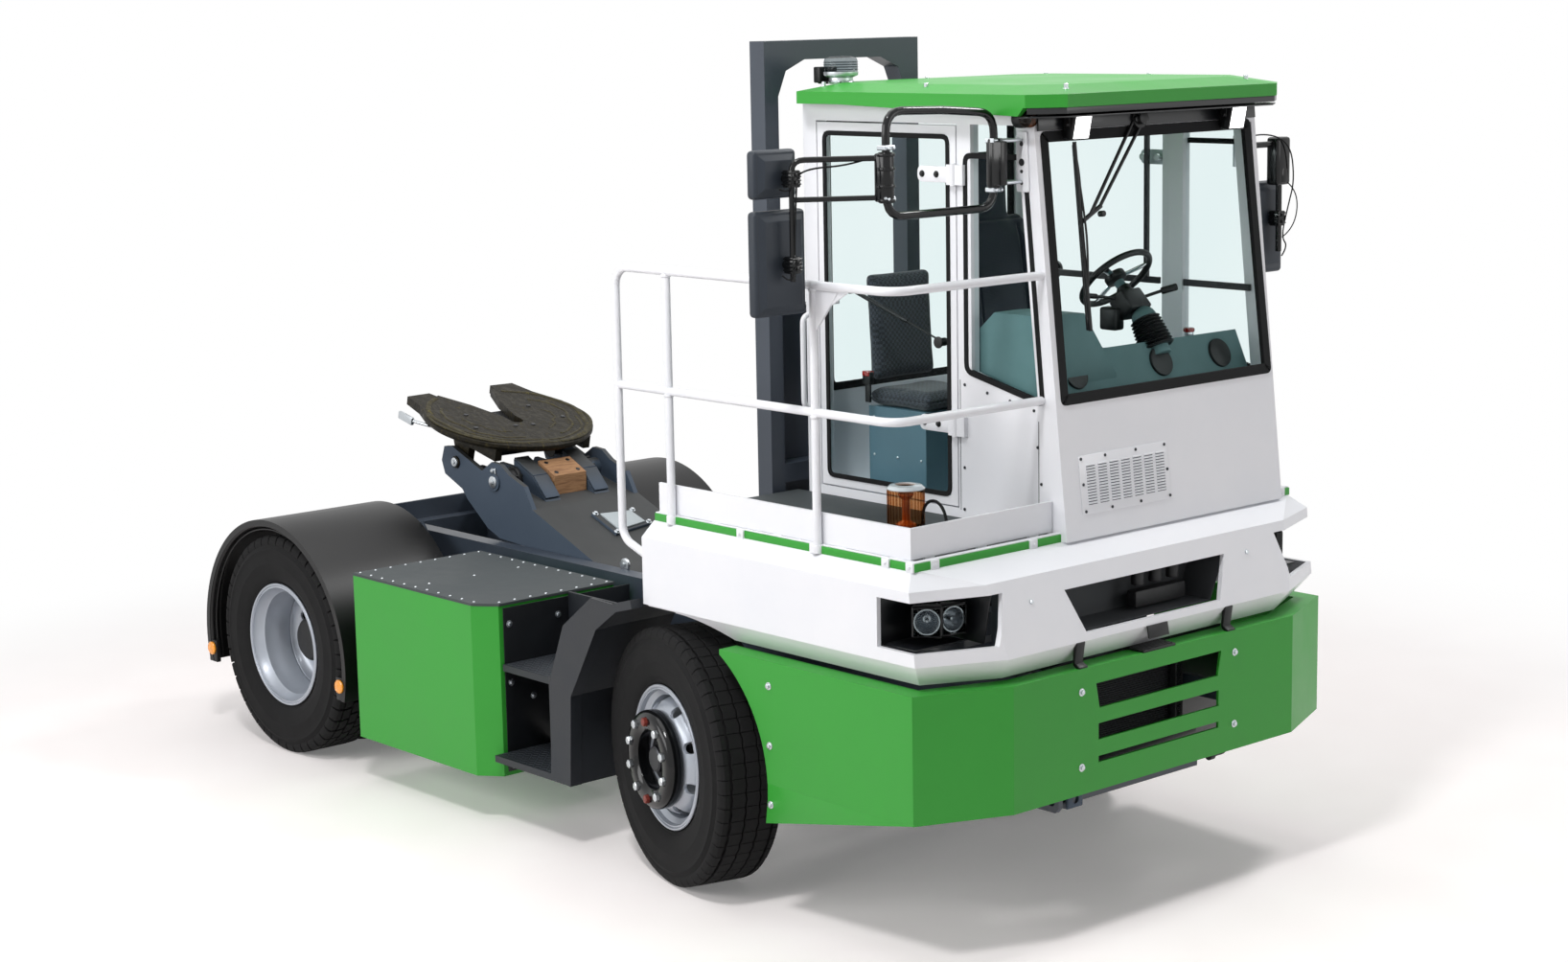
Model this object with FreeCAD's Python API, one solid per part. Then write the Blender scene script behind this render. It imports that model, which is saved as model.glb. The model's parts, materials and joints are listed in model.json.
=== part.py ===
import FreeCAD, Part
import math
import os
from FreeCAD import Vector

os.makedirs("parts", exist_ok=True)

# Electric terminal tractor. X forward from the rear axle, Y left, Z up from the ground.
# Every solid is moved back by CENTRE_X on export, so the origin is under the middle.

# ---- overall sizes ----
WHEELBASE = 2987.0
TYRE_R = 538.0
FENDER_R = TYRE_R + 104.0
FENDER_X = -42.0
REAR_END = FENDER_X - FENDER_R - 16.0
BUMPER_FRONT = WHEELBASE + 1565.0
CENTRE_X = (REAR_END + BUMPER_FRONT) / 2
HALF_WIDTH = 1250.0
MIRROR_REACH = HALF_WIDTH + 147.0
CLEAR = 8.0
FIT = 0.3

# ---- wheels ----
TYRE_W = 300.0
RIM_R = 290.0
RIM_W = 240.0
FRONT_TRACK = HALF_WIDTH - 185.0
TWIN_PITCH = 350.0
REAR_OUTER = HALF_WIDTH - 10.0 - TYRE_W / 2
REAR_INNER = REAR_OUTER - TWIN_PITCH
HUB_R = 120.0
HUB_BORE = 40.0
DISC_BULGE = 140.0
AXLE_Z = TYRE_R
KINGPIN_Y = FRONT_TRACK - 145.0
KINGPIN_R = 24.0
STEER_REST = -13.7
ARM_BACK = 270.0
ROD_PIN_R = 14.0
ARM_IN = 55.0

# ---- chassis ----
RAIL_Y = 420.0
RAIL_W = 85.0
RAIL_T = 12.0
RAIL_TOP = AXLE_Z + 472.0
RAIL_LOW = RAIL_TOP - 270.0
RAIL_REAR = REAR_END + 60.0
RAIL_FRONT = BUMPER_FRONT - 302.0
RAIL_FRONT_TOP = RAIL_TOP - 50.0
MEMBER_TOP = RAIL_TOP - 100.0
MEMBER_DEEP = 90.0
SPRING_W = 76.0
SPRING_HALF = 560.0
TOW_Z = RAIL_LOW - 240.0
TOW_HALF = RAIL_Y - 10.0

# ---- bumper ----
BUMPER_TOP = RAIL_TOP + 50.0
BUMPER_LOW = BUMPER_TOP - 495.0
BUMPER_Y = HALF_WIDTH - 48.0
BUMPER_CORNER = BUMPER_FRONT - 157.0
BUMPER_FLAT = BUMPER_Y - 374.0
BUMPER_REAR = WHEELBASE + 313.0
BUMPER_T = 12.0
SLOT_HALF = 358.0
COOLER_HALF = RAIL_Y - 80.0
ARCH_R = TYRE_R + 52.0

# ---- front body and deck ----
BODY_Y = HALF_WIDTH - 79.0
BODY_FRONT = BUMPER_FRONT - 19.0
BODY_CORNER = BODY_FRONT - 152.0
BODY_FLAT = BODY_Y - 341.0
BODY_REAR = WHEELBASE - 201.0
BODY_LOW = BUMPER_TOP + 15.0
BODY_CREASE = BODY_LOW + 85.0
DECK_Z = RAIL_TOP + 490.0
BODY_SHOULDER = DECK_Z - 60.0
DECK_Y = BODY_Y - 68.0
DECK_FRONT = BODY_FRONT - 214.0
BODY_T = 20.0
DECK_T = 28.0
RIM_Y = DECK_Y - 23.0
RIM_T = 12.0
RIM_FRONT = DECK_FRONT - 60.0
KICK_H = 120.0
KICK_GAP = 36.0

# ---- railing ----
TUBE_R = 17.0
RAIL_POST_Y = DECK_Y - 3.0
RAIL_Z = DECK_Z + 1030.0
MID_Z = DECK_Z + 545.0
RAILING_REAR = BODY_REAR - 214.0
POST_X = (BODY_REAR + 114.0, BODY_REAR + 994.0)
RAILING_FRONT = DECK_FRONT - 104.0

# ---- cab ----
CAB_RIGHT = -310.0
CAB_LEFT = HALF_WIDTH - 240.0
CAB_MID = (CAB_RIGHT + CAB_LEFT) / 2
CAB_REAR = BODY_REAR + 74.0
CAB_FRONT = BODY_FRONT - 188.0
CAB_FLOOR = DECK_Z
CAB_TOP = CAB_FLOOR + 1670.0
CAB_LEAN = math.radians(6.0)
CAB_T = 45.0
SEAT_FLOOR = CAB_FLOOR + CAB_T
DOOR_X = (CAB_REAR + 80.0, CAB_REAR + 900.0)
DOOR_Z = (CAB_FLOOR + 65.0, CAB_TOP - 72.0)
DOOR_T = 34.0
DOOR_FRAME = 46.0
DOOR_GAP = 6.0
HINGE_X = DOOR_X[1] - DOOR_GAP
HINGE_Z = (DOOR_Z[0] + 335.0, DOOR_Z[1] - 198.0)
KNUCKLE_R = 13.6
LATCH_Z = CAB_FLOOR + 880.0
QUARTER_Z = (CAB_FLOOR + 620.0, CAB_FLOOR + 520.0)
SCREEN_Z = (CAB_FLOOR + 540.0, CAB_TOP - 108.0)
SCREEN_Y = (CAB_RIGHT + 42.0, CAB_LEFT - 25.0)
GLASS_T = 6.0
ROOF_TOP = CAB_TOP + 82.0
ROOF_EDGE = 50.0
ROOF_LIP = 150.0
ROOF_OUT = 95.0
FASCIA_T = 25.0
COLUMN_FOOT = (CAB_FRONT - 195.0, CAB_FLOOR + 640.0)
COLUMN_KNEE = (CAB_FRONT - 280.0, CAB_FLOOR + 784.0)
COLUMN_TOP = (CAB_FRONT - 421.0, CAB_FLOOR + 925.0)
COLUMN_R = 22.0
HOUSING_R = 48.0
WHEEL_RING_R = 160.0
DRIVER = (CAB_REAR + 600.0, CAB_MID + 110.0)
PASSENGER = (CAB_REAR + 420.0, CAB_RIGHT + 310.0)

# ---- headboard ----
HEAD_X = BODY_REAR - 56.0
HEAD_HALF = RAIL_Y + 25.0
HEAD_TOP = CAB_TOP + 255.0
HEAD_POST = 75.0
HEAD_DEEP = 90.0
HEAD_GUSSET = 150.0

# ---- mudguards, battery boxes and steps ----
FENDER_IN = 552.0
FENDER_Z = AXLE_Z - 28.0
FENDER_LOW = AXLE_Z - 182.0
FENDER_T = 8.0
BOX_REAR = FENDER_X + FENDER_R + 116.0
BOX_FRONT = WHEELBASE - 1228.0
BOX_CREASE = BOX_FRONT - 99.0
BOX_INNER = 530.0
BOX_TOP = RAIL_TOP - 7.0
BOX_LOW = BOX_TOP - 785.0
BOX_FRONT_Y = HALF_WIDTH - 79.0
BOX_T = 20.0
LID_T = 12.0
STEP_Y = HALF_WIDTH - 25.0
STEP_T = 30.0
STEP_LOW = RAIL_TOP - 712.0
STEP_HIGH = RAIL_TOP - 310.0
GUARD_T = 38.0
TYRE_BACK = WHEELBASE - TYRE_R

# ---- drive ----
MOTOR_Z = RAIL_TOP - 320.0
MOTOR_R = 190.0
MOTOR_REAR = 1755.0
MOTOR_FRONT = WHEELBASE - 547.0

# ---- fifth wheel and lift boom ----
BOOM_Y = RAIL_Y - RAIL_W - 10.0
BOOM_T = 25.0
BOOM_PIVOT = (1600.0, RAIL_TOP - 120.0)
BOOM_PIN_R = 35.0
BOOM_TUBE_R = 55.0
BOOM_IN = BOOM_Y - BOOM_T
LUG_T = 30.0
SHEET_BEND = (876.0, RAIL_TOP + 184.0)
SHEET_FALL = 0.397
SHEET_T = 12.0
CROSS_TUBE = (572.0, RAIL_TOP + 287.0)
CROSS_TUBE_R = 45.0
RAMP_Y = 150.0
RAMP_W = 90.0
PLATE_PIVOT = (250.0, RAIL_TOP + 350.0)
PLATE_PIN_R = 30.0
PLATE_TILT = math.radians(12.8)
PLATE_R = 430.0
PLATE_T = 42.0
KINGPIN = (321.0, RAIL_TOP + 531.0)
KINGPIN_SLOT_R = 25.4
LIFT_LOW = (1080.0, RAIL_TOP - 230.0)
LIFT_HIGH = (330.0, RAIL_TOP + 252.0)
LIFT_Y = 170.0
BARREL_R = 60.0
ROD_R = 35.0
EYE_R = 45.0
LIFT_PIN_R = 22.0
CHEEK_T = 20.0
CHEEK_Y = EYE_R + CLEAR + CHEEK_T / 2


def V(x, y, z):
    return Vector(float(x), float(y), float(z))


def block(x0, x1, y0, y1, z0, z1):
    """A box between two corners."""
    return Part.makeBox(x1 - x0, y1 - y0, z1 - z0, V(x0, y0, z0))


def face(points):
    return Part.Face(Part.makePolygon(points + [points[0]]))


def side_plate(outline, y0, y1):
    """An X-Z outline with thickness from y0 to y1."""
    return face([V(x, y0, z) for x, z in outline]).extrude(V(0, y1 - y0, 0))


def flat_plate(outline, z0, z1):
    """An X-Y outline with thickness from z0 to z1."""
    return face([V(x, y, z0) for x, y in outline]).extrude(V(0, 0, z1 - z0))


def cross_plate(outline, x0, x1):
    """A Y-Z outline with thickness from x0 to x1."""
    return face([V(x0, y, z) for y, z in outline]).extrude(V(x1 - x0, 0, 0))


def rod(start, end, radius):
    """A round bar between two points."""
    way = end.sub(start)
    return Part.makeCylinder(radius, way.Length, start, way)


def bar_y(x, z, y0, y1, radius):
    return rod(V(x, min(y0, y1), z), V(x, max(y0, y1), z), radius)


def union(shapes):
    shapes = list(shapes)
    if len(shapes) == 1:
        return shapes[0]
    return shapes[0].multiFuse(shapes[1:]).removeSplitter()


def mirrored(shape):
    return shape.mirror(V(0, 0, 0), V(0, 1, 0))


def pair(shape):
    return Part.makeCompound([shape, mirrored(shape)])


def spun(profile, centre):
    """Revolve (radius, y) points about the Y line through centre."""
    x, y, z = centre
    points = [V(x, y + dy, z + r) for r, dy in profile]
    return face(points).revolve(V(x, y, z), V(0, 1, 0), 360)


def bent_tube(points, radius, bend):
    """A tube along straight runs joined by tangent arcs."""
    edges = []
    start = points[0]
    for i in range(1, len(points) - 1):
        corner = points[i]
        back = points[i - 1].sub(corner).normalize()
        ahead = points[i + 1].sub(corner).normalize()
        half = back.getAngle(ahead) / 2
        reach = bend / math.tan(half)
        first = corner.add(Vector(back).multiply(reach))
        last = corner.add(Vector(ahead).multiply(reach))
        middle = back.add(ahead).normalize()
        top = corner.add(middle.multiply(bend / math.sin(half) - bend))
        edges.append(Part.LineSegment(start, first).toShape())
        edges.append(Part.Arc(first, top, last).toShape())
        start = last
    edges.append(Part.LineSegment(start, points[-1]).toShape())
    path = Part.Wire(edges)
    ring = Part.Wire(Part.makeCircle(radius, points[0], points[1].sub(points[0])))
    return path.makePipeShell([ring], True, False)


def turned(shape, centre, angle):
    """A copy turned about the vertical line through centre."""
    copy = shape.copy()
    copy.rotate(centre, V(0, 0, 1), angle)
    return copy


def save(name, shape):
    """Move a node into the object's frame and write it."""
    moved = shape.copy()
    moved.translate(V(-CENTRE_X, 0, 0))
    moved.exportStep("parts/" + name + ".step")
    print(name, len(moved.Solids), round(moved.Volume / 1e9, 4), moved.isValid())


# ================= chassis =================

def rail(side):
    """One C-section frame rail, its open side inward, stepped down under the cab."""
    outline = [
        (RAIL_REAR, RAIL_LOW), (RAIL_FRONT, RAIL_LOW), (RAIL_FRONT, RAIL_FRONT_TOP),
        (HEAD_X - 80, RAIL_FRONT_TOP), (HEAD_X - 230, RAIL_TOP), (RAIL_REAR, RAIL_TOP),
    ]
    outer = side_plate(outline, RAIL_Y - RAIL_W, RAIL_Y)
    hollow = face([V(x, RAIL_Y - RAIL_W, z) for x, z in outline]).makeOffset2D(-RAIL_T)
    hollow = hollow.extrude(V(0, RAIL_W - RAIL_T, 0))
    channel = outer.cut(hollow)
    return channel if side > 0 else mirrored(channel)


def cross_member(x):
    return block(x - MEMBER_DEEP / 2, x + MEMBER_DEEP / 2, -RAIL_Y + RAIL_T, RAIL_Y - RAIL_T,
                 RAIL_LOW + RAIL_T, MEMBER_TOP)


def pivot_lug(side):
    """The plate that holds one end of the boom's main pin, carried by the cross member before it."""
    x, z = BOOM_PIVOT
    reach = BOOM_PIN_R + 25
    outline = [(x, z + reach), (x + 110, MEMBER_TOP), (x + 110, RAIL_LOW + 20), (x, z - reach)]
    y0 = BOOM_IN - CLEAR - LUG_T
    plate = side_plate(outline, y0, y0 + LUG_T)
    plate = plate.fuse(bar_y(x, z, y0, y0 + LUG_T, reach))
    plate = plate.cut(bar_y(x, z, y0 - 10, y0 + LUG_T + 10, BOOM_PIN_R + FIT))
    return plate if side > 0 else mirrored(plate)


def chassis_frame():
    """Ladder frame with its cross members, clevises, tail plate and cab posts."""
    parts = [rail(1), rail(-1)]
    members = [RAIL_REAR + 45, 420, LIFT_LOW[0] + 150, BOOM_PIVOT[0] + 110, HEAD_X - 110, WHEELBASE + 513,
               RAIL_FRONT - 45]
    for x in members:
        parts.append(cross_member(x))
    frame = union(parts)
    for side in (1, -1):
        for shift in (-1, 1):
            frame = frame.fuse(lift_lug(side * LIFT_Y, shift))
    tail = cross_plate([(-RAIL_Y, RAIL_LOW), (RAIL_Y, RAIL_LOW), (RAIL_Y, RAIL_TOP), (-RAIL_Y, RAIL_TOP)],
                       RAIL_REAR, RAIL_REAR + 14)
    extras = [tail, pivot_lug(1), pivot_lug(-1)]
    for side in (1, -1):
        y = side * (RAIL_Y - RAIL_W / 2)
        for x in (WHEELBASE + 33, CAB_FRONT - 265):
            extras.append(block(x - 45, x + 45, y - 35, y + 35, RAIL_FRONT_TOP, DECK_Z - BODY_T))
        y = side * (RAIL_Y - 22)
        extras.append(block(RAIL_FRONT, BUMPER_FRONT - BUMPER_T, y - 18, y + 18, RAIL_LOW + 40,
                            RAIL_LOW + 120))
    return union([frame] + extras)


def lift_lug(y, shift):
    """One cheek of the clevis under a lift cylinder, on the cross member."""
    x, z = LIFT_LOW
    centre = y + shift * CHEEK_Y
    near = centre - CHEEK_T / 2
    far = centre + CHEEK_T / 2
    outline = [(x - 50, z), (x + 50, z + 50), (x + 130, z + 50), (x + 130, RAIL_LOW + 20),
               (x, RAIL_LOW - 40)]
    cheek = side_plate(outline, near, far).fuse(bar_y(x, z, near, far, EYE_R + 8))
    return cheek.cut(bar_y(x, z, near - 10, far + 10, LIFT_PIN_R + FIT))


def tail_lamps():
    """A lamp box on an arm at each rear corner."""
    lamp = block(REAR_END, RAIL_REAR, RAIL_Y + 35, RAIL_Y + 280, RAIL_TOP - 130, RAIL_TOP - 20)
    arm = block(REAR_END + 30, RAIL_REAR + 30, RAIL_Y, RAIL_Y + 280, RAIL_TOP - 160, RAIL_TOP - 130)
    return pair(lamp.fuse(arm))


def front_tow_beam():
    """Low cross beam on two hangers, with a pair of pin lugs at its right end."""
    x1 = BUMPER_FRONT - 152
    top = TOW_Z + 44
    parts = [block(x1 - 100, x1, -TOW_HALF, TOW_HALF, TOW_Z - 22, TOW_Z + 22)]
    for side in (1, -1):
        y = side * (RAIL_Y - RAIL_W / 2)
        parts.append(side_plate([(x1 - 340, RAIL_LOW), (x1 - 160, RAIL_LOW), (x1 - 60, top),
                                 (x1 - 60, TOW_Z - 22),
                                 (x1 - 200, TOW_Z - 22)], y - 20, y + 20))
    pin_x = BUMPER_FRONT - 122
    for y in (-TOW_HALF - 2, -TOW_HALF - 72):
        lug = side_plate([(x1 - 70, TOW_Z - 22), (pin_x + 20, TOW_Z - 22), (pin_x + 38, TOW_Z),
                          (pin_x + 38, TOW_Z + 40),
                          (x1 - 70, TOW_Z + 60)], y - 12, y + 12)
        parts.append(lug.cut(bar_y(pin_x, TOW_Z + 20, y - 20, y + 20, 17)))
    parts.append(block(x1 - 70, x1 - 40, -TOW_HALF - 84, -TOW_HALF + 10, TOW_Z - 22, TOW_Z + 22))
    return union(parts)


def front_axle_beam():
    """Dropped I-beam with an eye at each end for the kingpin."""
    low = AXLE_Z - 110
    outline = [(-KINGPIN_Y + 70, AXLE_Z - 60), (-640, AXLE_Z - 60), (-540, low - 30), (540, low - 30),
               (640, AXLE_Z - 60), (KINGPIN_Y - 70, AXLE_Z - 60), (KINGPIN_Y - 70, AXLE_Z + 40),
               (600, AXLE_Z + 40), (500, low + 70), (-500, low + 70), (-600, AXLE_Z + 40),
               (-KINGPIN_Y + 70, AXLE_Z + 40)]
    beam = cross_plate(outline, WHEELBASE - 50, WHEELBASE + 50)
    for side in (1, -1):
        eye = Part.makeCylinder(52, 100, V(WHEELBASE, side * KINGPIN_Y, AXLE_Z - 60), V(0, 0, 1))
        neck = block(WHEELBASE - 45, WHEELBASE + 45, min(side * (KINGPIN_Y - 75), side * KINGPIN_Y),
                     max(side * (KINGPIN_Y - 75), side * KINGPIN_Y), AXLE_Z - 60, AXLE_Z + 40)
        hole = Part.makeCylinder(KINGPIN_R + FIT, 120, V(WHEELBASE, side * KINGPIN_Y, AXLE_Z - 70),
                                 V(0, 0, 1))
        beam = beam.fuse([eye, neck]).cut(hole)
    return beam


def front_springs():
    """A leaf pack on each side, clamped on the beam and hung from the rail."""
    seat = AXLE_Z - 40
    parts = []
    for leaf, share in enumerate((1.0, 0.82, 0.62, 0.42)):
        half = SPRING_HALF * share
        top = seat + 70 - leaf * 16
        rise = 90 * share * share
        low = Part.Arc(V(WHEELBASE - half, 0, top + rise - 16), V(WHEELBASE, 0, top - 16),
                       V(WHEELBASE + half, 0, top + rise - 16)).toShape()
        high = Part.Arc(V(WHEELBASE - half, 0, top + rise), V(WHEELBASE, 0, top),
                        V(WHEELBASE + half, 0, top + rise)).toShape()
        ends = [Part.makeLine(low.Vertexes[0].Point, high.Vertexes[0].Point),
                Part.makeLine(low.Vertexes[1].Point, high.Vertexes[1].Point)]
        wire = Part.Wire(Part.__sortEdges__([low, ends[1], high, ends[0]]))
        parts.append(Part.Face(wire).extrude(V(0, SPRING_W, 0)))
    for way in (-1, 1):
        x = WHEELBASE + way * SPRING_HALF
        parts.append(block(x - 22, x + 22, 8, SPRING_W - 8, seat + 130, RAIL_LOW))
    parts.append(block(WHEELBASE - 60, WHEELBASE + 60, 0, SPRING_W, seat, seat + 26))
    pack = union(parts)
    pack.translate(V(0, RAIL_Y - RAIL_W / 2 - SPRING_W / 2, 0))
    return pair(pack)


def knuckle(side):
    """Kingpin, forked body, stub axle and steering arm, turned to its rest angle."""
    y = side * KINGPIN_Y
    pin = Part.makeCylinder(KINGPIN_R, 196, V(WHEELBASE, y, AXLE_Z - 108), V(0, 0, 1))
    low = Part.makeCylinder(58, 36, V(WHEELBASE, y, AXLE_Z - 100), V(0, 0, 1))
    top = Part.makeCylinder(58, 36, V(WHEELBASE, y, AXLE_Z + 44), V(0, 0, 1))
    outer = y + side * 62
    back = block(WHEELBASE - 55, WHEELBASE + 55, min(outer, outer + side * 26),
                 max(outer, outer + side * 26),
                 AXLE_Z - 100, AXLE_Z + 80)
    ears = []
    for z in (AXLE_Z - 100, AXLE_Z + 44):
        ears.append(block(WHEELBASE - 50, WHEELBASE + 50, min(y, outer + side * 5),
                          max(y, outer + side * 5), z, z + 36))
    stub = bar_y(WHEELBASE, AXLE_Z, outer, side * (FRONT_TRACK + 75), HUB_BORE - FIT)
    arm_end = V(WHEELBASE - ARM_BACK, y - side * ARM_IN, 0)
    arm = flat_plate([(WHEELBASE - 40, y + side * 30), (arm_end.x - 30, arm_end.y + side * 24),
                      (arm_end.x - 30, arm_end.y - side * 24), (WHEELBASE + 20, y - side * 45)],
                     AXLE_Z - 100, AXLE_Z - 76)
    if side < 0:
        arm = arm.cut(Part.makeCylinder(ROD_PIN_R + FIT, 60, V(arm_end.x, arm_end.y, AXLE_Z - 120),
                                        V(0, 0, 1)))
    else:
        arm = arm.fuse(Part.makeCylinder(ROD_PIN_R, 20, V(arm_end.x, arm_end.y, AXLE_Z - 107), V(0, 0, 1)))
    whole = union([pin, low, top, back, stub, arm] + ears)
    return turned(whole, V(WHEELBASE, y, 0), STEER_REST)


def tie_rod():
    """Track rod pinned in the right arm's eye; its left end is the open pivot under the left arm."""
    turn = math.radians(STEER_REST)
    ends = []
    for side in (1, -1):
        dx = -ARM_BACK
        dy = -side * ARM_IN
        x = WHEELBASE + dx * math.cos(turn) - dy * math.sin(turn)
        y = side * KINGPIN_Y + dx * math.sin(turn) + dy * math.cos(turn)
        ends.append(V(x, y, AXLE_Z - 135))
    bar = rod(ends[0], ends[1], 18)
    parts = [bar]
    for end in ends:
        parts.append(Part.makeCylinder(26, 44, end.sub(V(0, 0, 22)), V(0, 0, 1)))
    parts.append(Part.makeCylinder(ROD_PIN_R, 60, ends[1], V(0, 0, 1)))
    return union(parts)


def rear_axle():
    """Banjo housing, tubes and the rigid seats under the rails."""
    tube_end = REAR_INNER - TYRE_W / 2 - 20
    tube = bar_y(0, AXLE_Z, -tube_end, tube_end, 78)
    stub_end = REAR_OUTER - HUB_BORE - 2
    stubs = bar_y(0, AXLE_Z, -stub_end, stub_end, HUB_BORE - FIT)
    ball = Part.makeSphere(215,
                           V(0, 0, AXLE_Z)).common(block(-200, 215, -170, 170, AXLE_Z - 338, AXLE_Z + 362))
    nose = rod(V(180, 0, AXLE_Z + 10), V(330, 0, AXLE_Z + 22), 75)
    parts = [tube, stubs, ball, nose]
    chamber_y = RAIL_Y + 100
    for side in (1, -1):
        y = side * (RAIL_Y - RAIL_W / 2)
        parts.append(side_plate([(-90, AXLE_Z), (90, AXLE_Z), (150, RAIL_LOW), (-150, RAIL_LOW)], y - 30,
                                y + 30))
        chamber = rod(V(-60, side * chamber_y, AXLE_Z + 30), V(-250, side * chamber_y, AXLE_Z + 30), 70)
        bracket = block(-120, 0, side * chamber_y - 20, side * chamber_y + 20, AXLE_Z - 40, AXLE_Z + 60)
        parts.append(chamber.fuse(bracket))
    return union(parts)


def drive_motor():
    """Round motor with its box of electronics on top, behind the cross member at the boom's pivot."""
    length = MOTOR_FRONT - MOTOR_REAR
    body = rod(V(MOTOR_REAR, 0, MOTOR_Z), V(MOTOR_FRONT, 0, MOTOR_Z), MOTOR_R)
    box = block(MOTOR_REAR + 0.21 * length, MOTOR_FRONT - 0.13 * length, -240, 240, MOTOR_Z + 100,
                RAIL_TOP - 20)
    return union([body, box])


def propshaft():
    return union([rod(V(331, 0, AXLE_Z + 22), V(MOTOR_REAR - 4.4, 0, MOTOR_Z), 45),
                  rod(V(331, 0, AXLE_Z + 22), V(400, 0, AXLE_Z + 28), 65)])


# ================= wheels =================

def tyre_section(width, outer, inner):
    """Half of a tyre's section, as (radius, y) points, with a rounded shoulder."""
    w = width / 2
    return [(inner, -w * 0.72), (inner + 60, -w * 0.96), (outer - 90, -w), (outer - 30, -w * 0.92),
            (outer, -w * 0.76),
            (outer, w * 0.76), (outer - 30, w * 0.92), (outer - 90, w), (inner + 60, w * 0.96),
            (inner, w * 0.72)]


def tyre(centre):
    return spun(tyre_section(TYRE_W, TYRE_R, RIM_R), centre)


def wheel_rim(centre, out, disc, hole_ring, hole_r):
    """A steel rim: barrel with flanges and a dished disc with round hand holes."""
    w = RIM_W / 2
    r = RIM_R - 0.5
    barrel = spun([(r, -w), (r, w), (r - 14, w), (r - 34, w - 30), (r - 34, -w + 30), (r - 14, -w)], centre)
    x, y, z = centre
    at = disc * out
    plate = spun([(HUB_R - 30, at), (HUB_R + 60, at), (r - 30, at * 0.5), (r - 30, at * 0.5 - out * 14),
                  (HUB_R + 60, at - out * 14), (HUB_R - 30, at - out * 14)], centre)
    holes = []
    for i in range(8):
        a = math.radians(45 * i)
        c = V(x + hole_ring * math.cos(a), y - 200, z + hole_ring * math.sin(a))
        holes.append(Part.makeCylinder(hole_r, 400, c, V(0, 1, 0)))
    return union([barrel, plate.cut(Part.makeCompound(holes))])


def front_wheel(side):
    """Steered wheel: tyre, and rim with its hub and the ring that guards the nuts."""
    centre = (WHEELBASE, side * FRONT_TRACK, AXLE_Z)
    axis = V(WHEELBASE, side * KINGPIN_Y, 0)
    rim = wheel_rim(centre, side, DISC_BULGE, 226, 25)
    hub = spun([(HUB_BORE, side * -40), (HUB_R, side * -40), (HUB_R, side * 150), (90, side * 165),
                (HUB_BORE, side * 165)],
               centre)
    cap = spun([(0, side * 80), (HUB_BORE, side * 80), (HUB_BORE, side * 150), (0, side * 150)], centre)
    base = side * (DISC_BULGE - 2)
    guard = spun([(160, base), (178, base), (206, side * 190), (206, side * 205), (192, side * 205),
                  (176, side * 170)],
                 centre)
    return (turned(tyre(centre), axis, STEER_REST),
            turned(union([rim, hub, cap, guard]), axis, STEER_REST))


def rear_wheels(side):
    """Twin wheels back to back on one hub, with the cap just inside the outer rim's edge."""
    outer = (0.0, side * REAR_OUTER, AXLE_Z)
    inner = (0.0, side * REAR_INNER, AXLE_Z)
    tyres = Part.makeCompound([tyre(outer), tyre(inner)])
    disc = TWIN_PITCH / 2 - 8
    rims = [wheel_rim(outer, side, -disc, 190, 29), wheel_rim(inner, side, disc, 190, 29)]
    hub = spun([(HUB_BORE, -side * TWIN_PITCH), (HUB_R, -side * TWIN_PITCH), (HUB_R, -side * 60),
                (108, -side * 44),
                (108, -side * 14), (94, -side * 4), (HUB_BORE, -side * 4)], outer)
    cap = spun([(0, -side * 34), (HUB_BORE, -side * 34), (HUB_BORE, -side * 4), (0, -side * 4)], outer)
    return tyres, union(rims + [hub, cap])


# ================= bumper and front body =================

def plan(half, corner, front, flat, rear):
    """The corner-cut outline of the front, seen from above."""
    return [(rear, -half), (corner, -half), (front, -flat), (front, flat), (corner, half), (rear, half)]


def shell_loft(sections):
    wires = []
    for outline, z in sections:
        points = [V(x, y, z) for x, y in outline]
        wires.append(Part.makePolygon(points + [points[0]]))
    return Part.makeLoft(wires, True, True)


def bumper():
    """Folded sheet bumper with three slots, open at the back and cut round the tyres."""
    t = BUMPER_T
    outer = flat_plate(plan(BUMPER_Y, BUMPER_CORNER, BUMPER_FRONT, BUMPER_FLAT, BUMPER_REAR), BUMPER_LOW,
                       BUMPER_TOP)
    inner = flat_plate(plan(BUMPER_Y - t, BUMPER_CORNER - t / 2, BUMPER_FRONT - t, BUMPER_FLAT - t / 2,
                            BUMPER_REAR - 10), BUMPER_LOW - 10, BUMPER_TOP + 10)
    skin = outer.cut(inner)
    lip = flat_plate(plan(BUMPER_Y, BUMPER_CORNER, BUMPER_FRONT, BUMPER_FLAT, BUMPER_REAR), BUMPER_TOP - t,
                     BUMPER_TOP)
    lip = lip.cut(flat_plate(plan(BUMPER_Y - 90, BUMPER_CORNER - 60, BUMPER_FRONT - 90, BUMPER_FLAT - 60,
                                  BUMPER_REAR - 10), BUMPER_LOW, BUMPER_TOP + 10))
    arch = bar_y(WHEELBASE, AXLE_Z, -BUMPER_Y - 50, BUMPER_Y + 50, ARCH_R)
    x0 = BUMPER_FRONT - 150
    x1 = BUMPER_FRONT + 50
    high = BUMPER_TOP - 70
    slots = [cross_plate([(-SLOT_HALF - 14, high), (-SLOT_HALF + 6, high - 100),
                          (SLOT_HALF - 6, high - 100),
                          (SLOT_HALF + 14, high)], x0, x1)]
    for low, tall in ((BUMPER_TOP - 295, 65), (BUMPER_TOP - 385, 25)):
        slots.append(block(x0, x1, -SLOT_HALF, SLOT_HALF, low, low + tall))
    return union([skin, lip]).cut(arch).cut(Part.makeCompound(slots))


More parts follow.
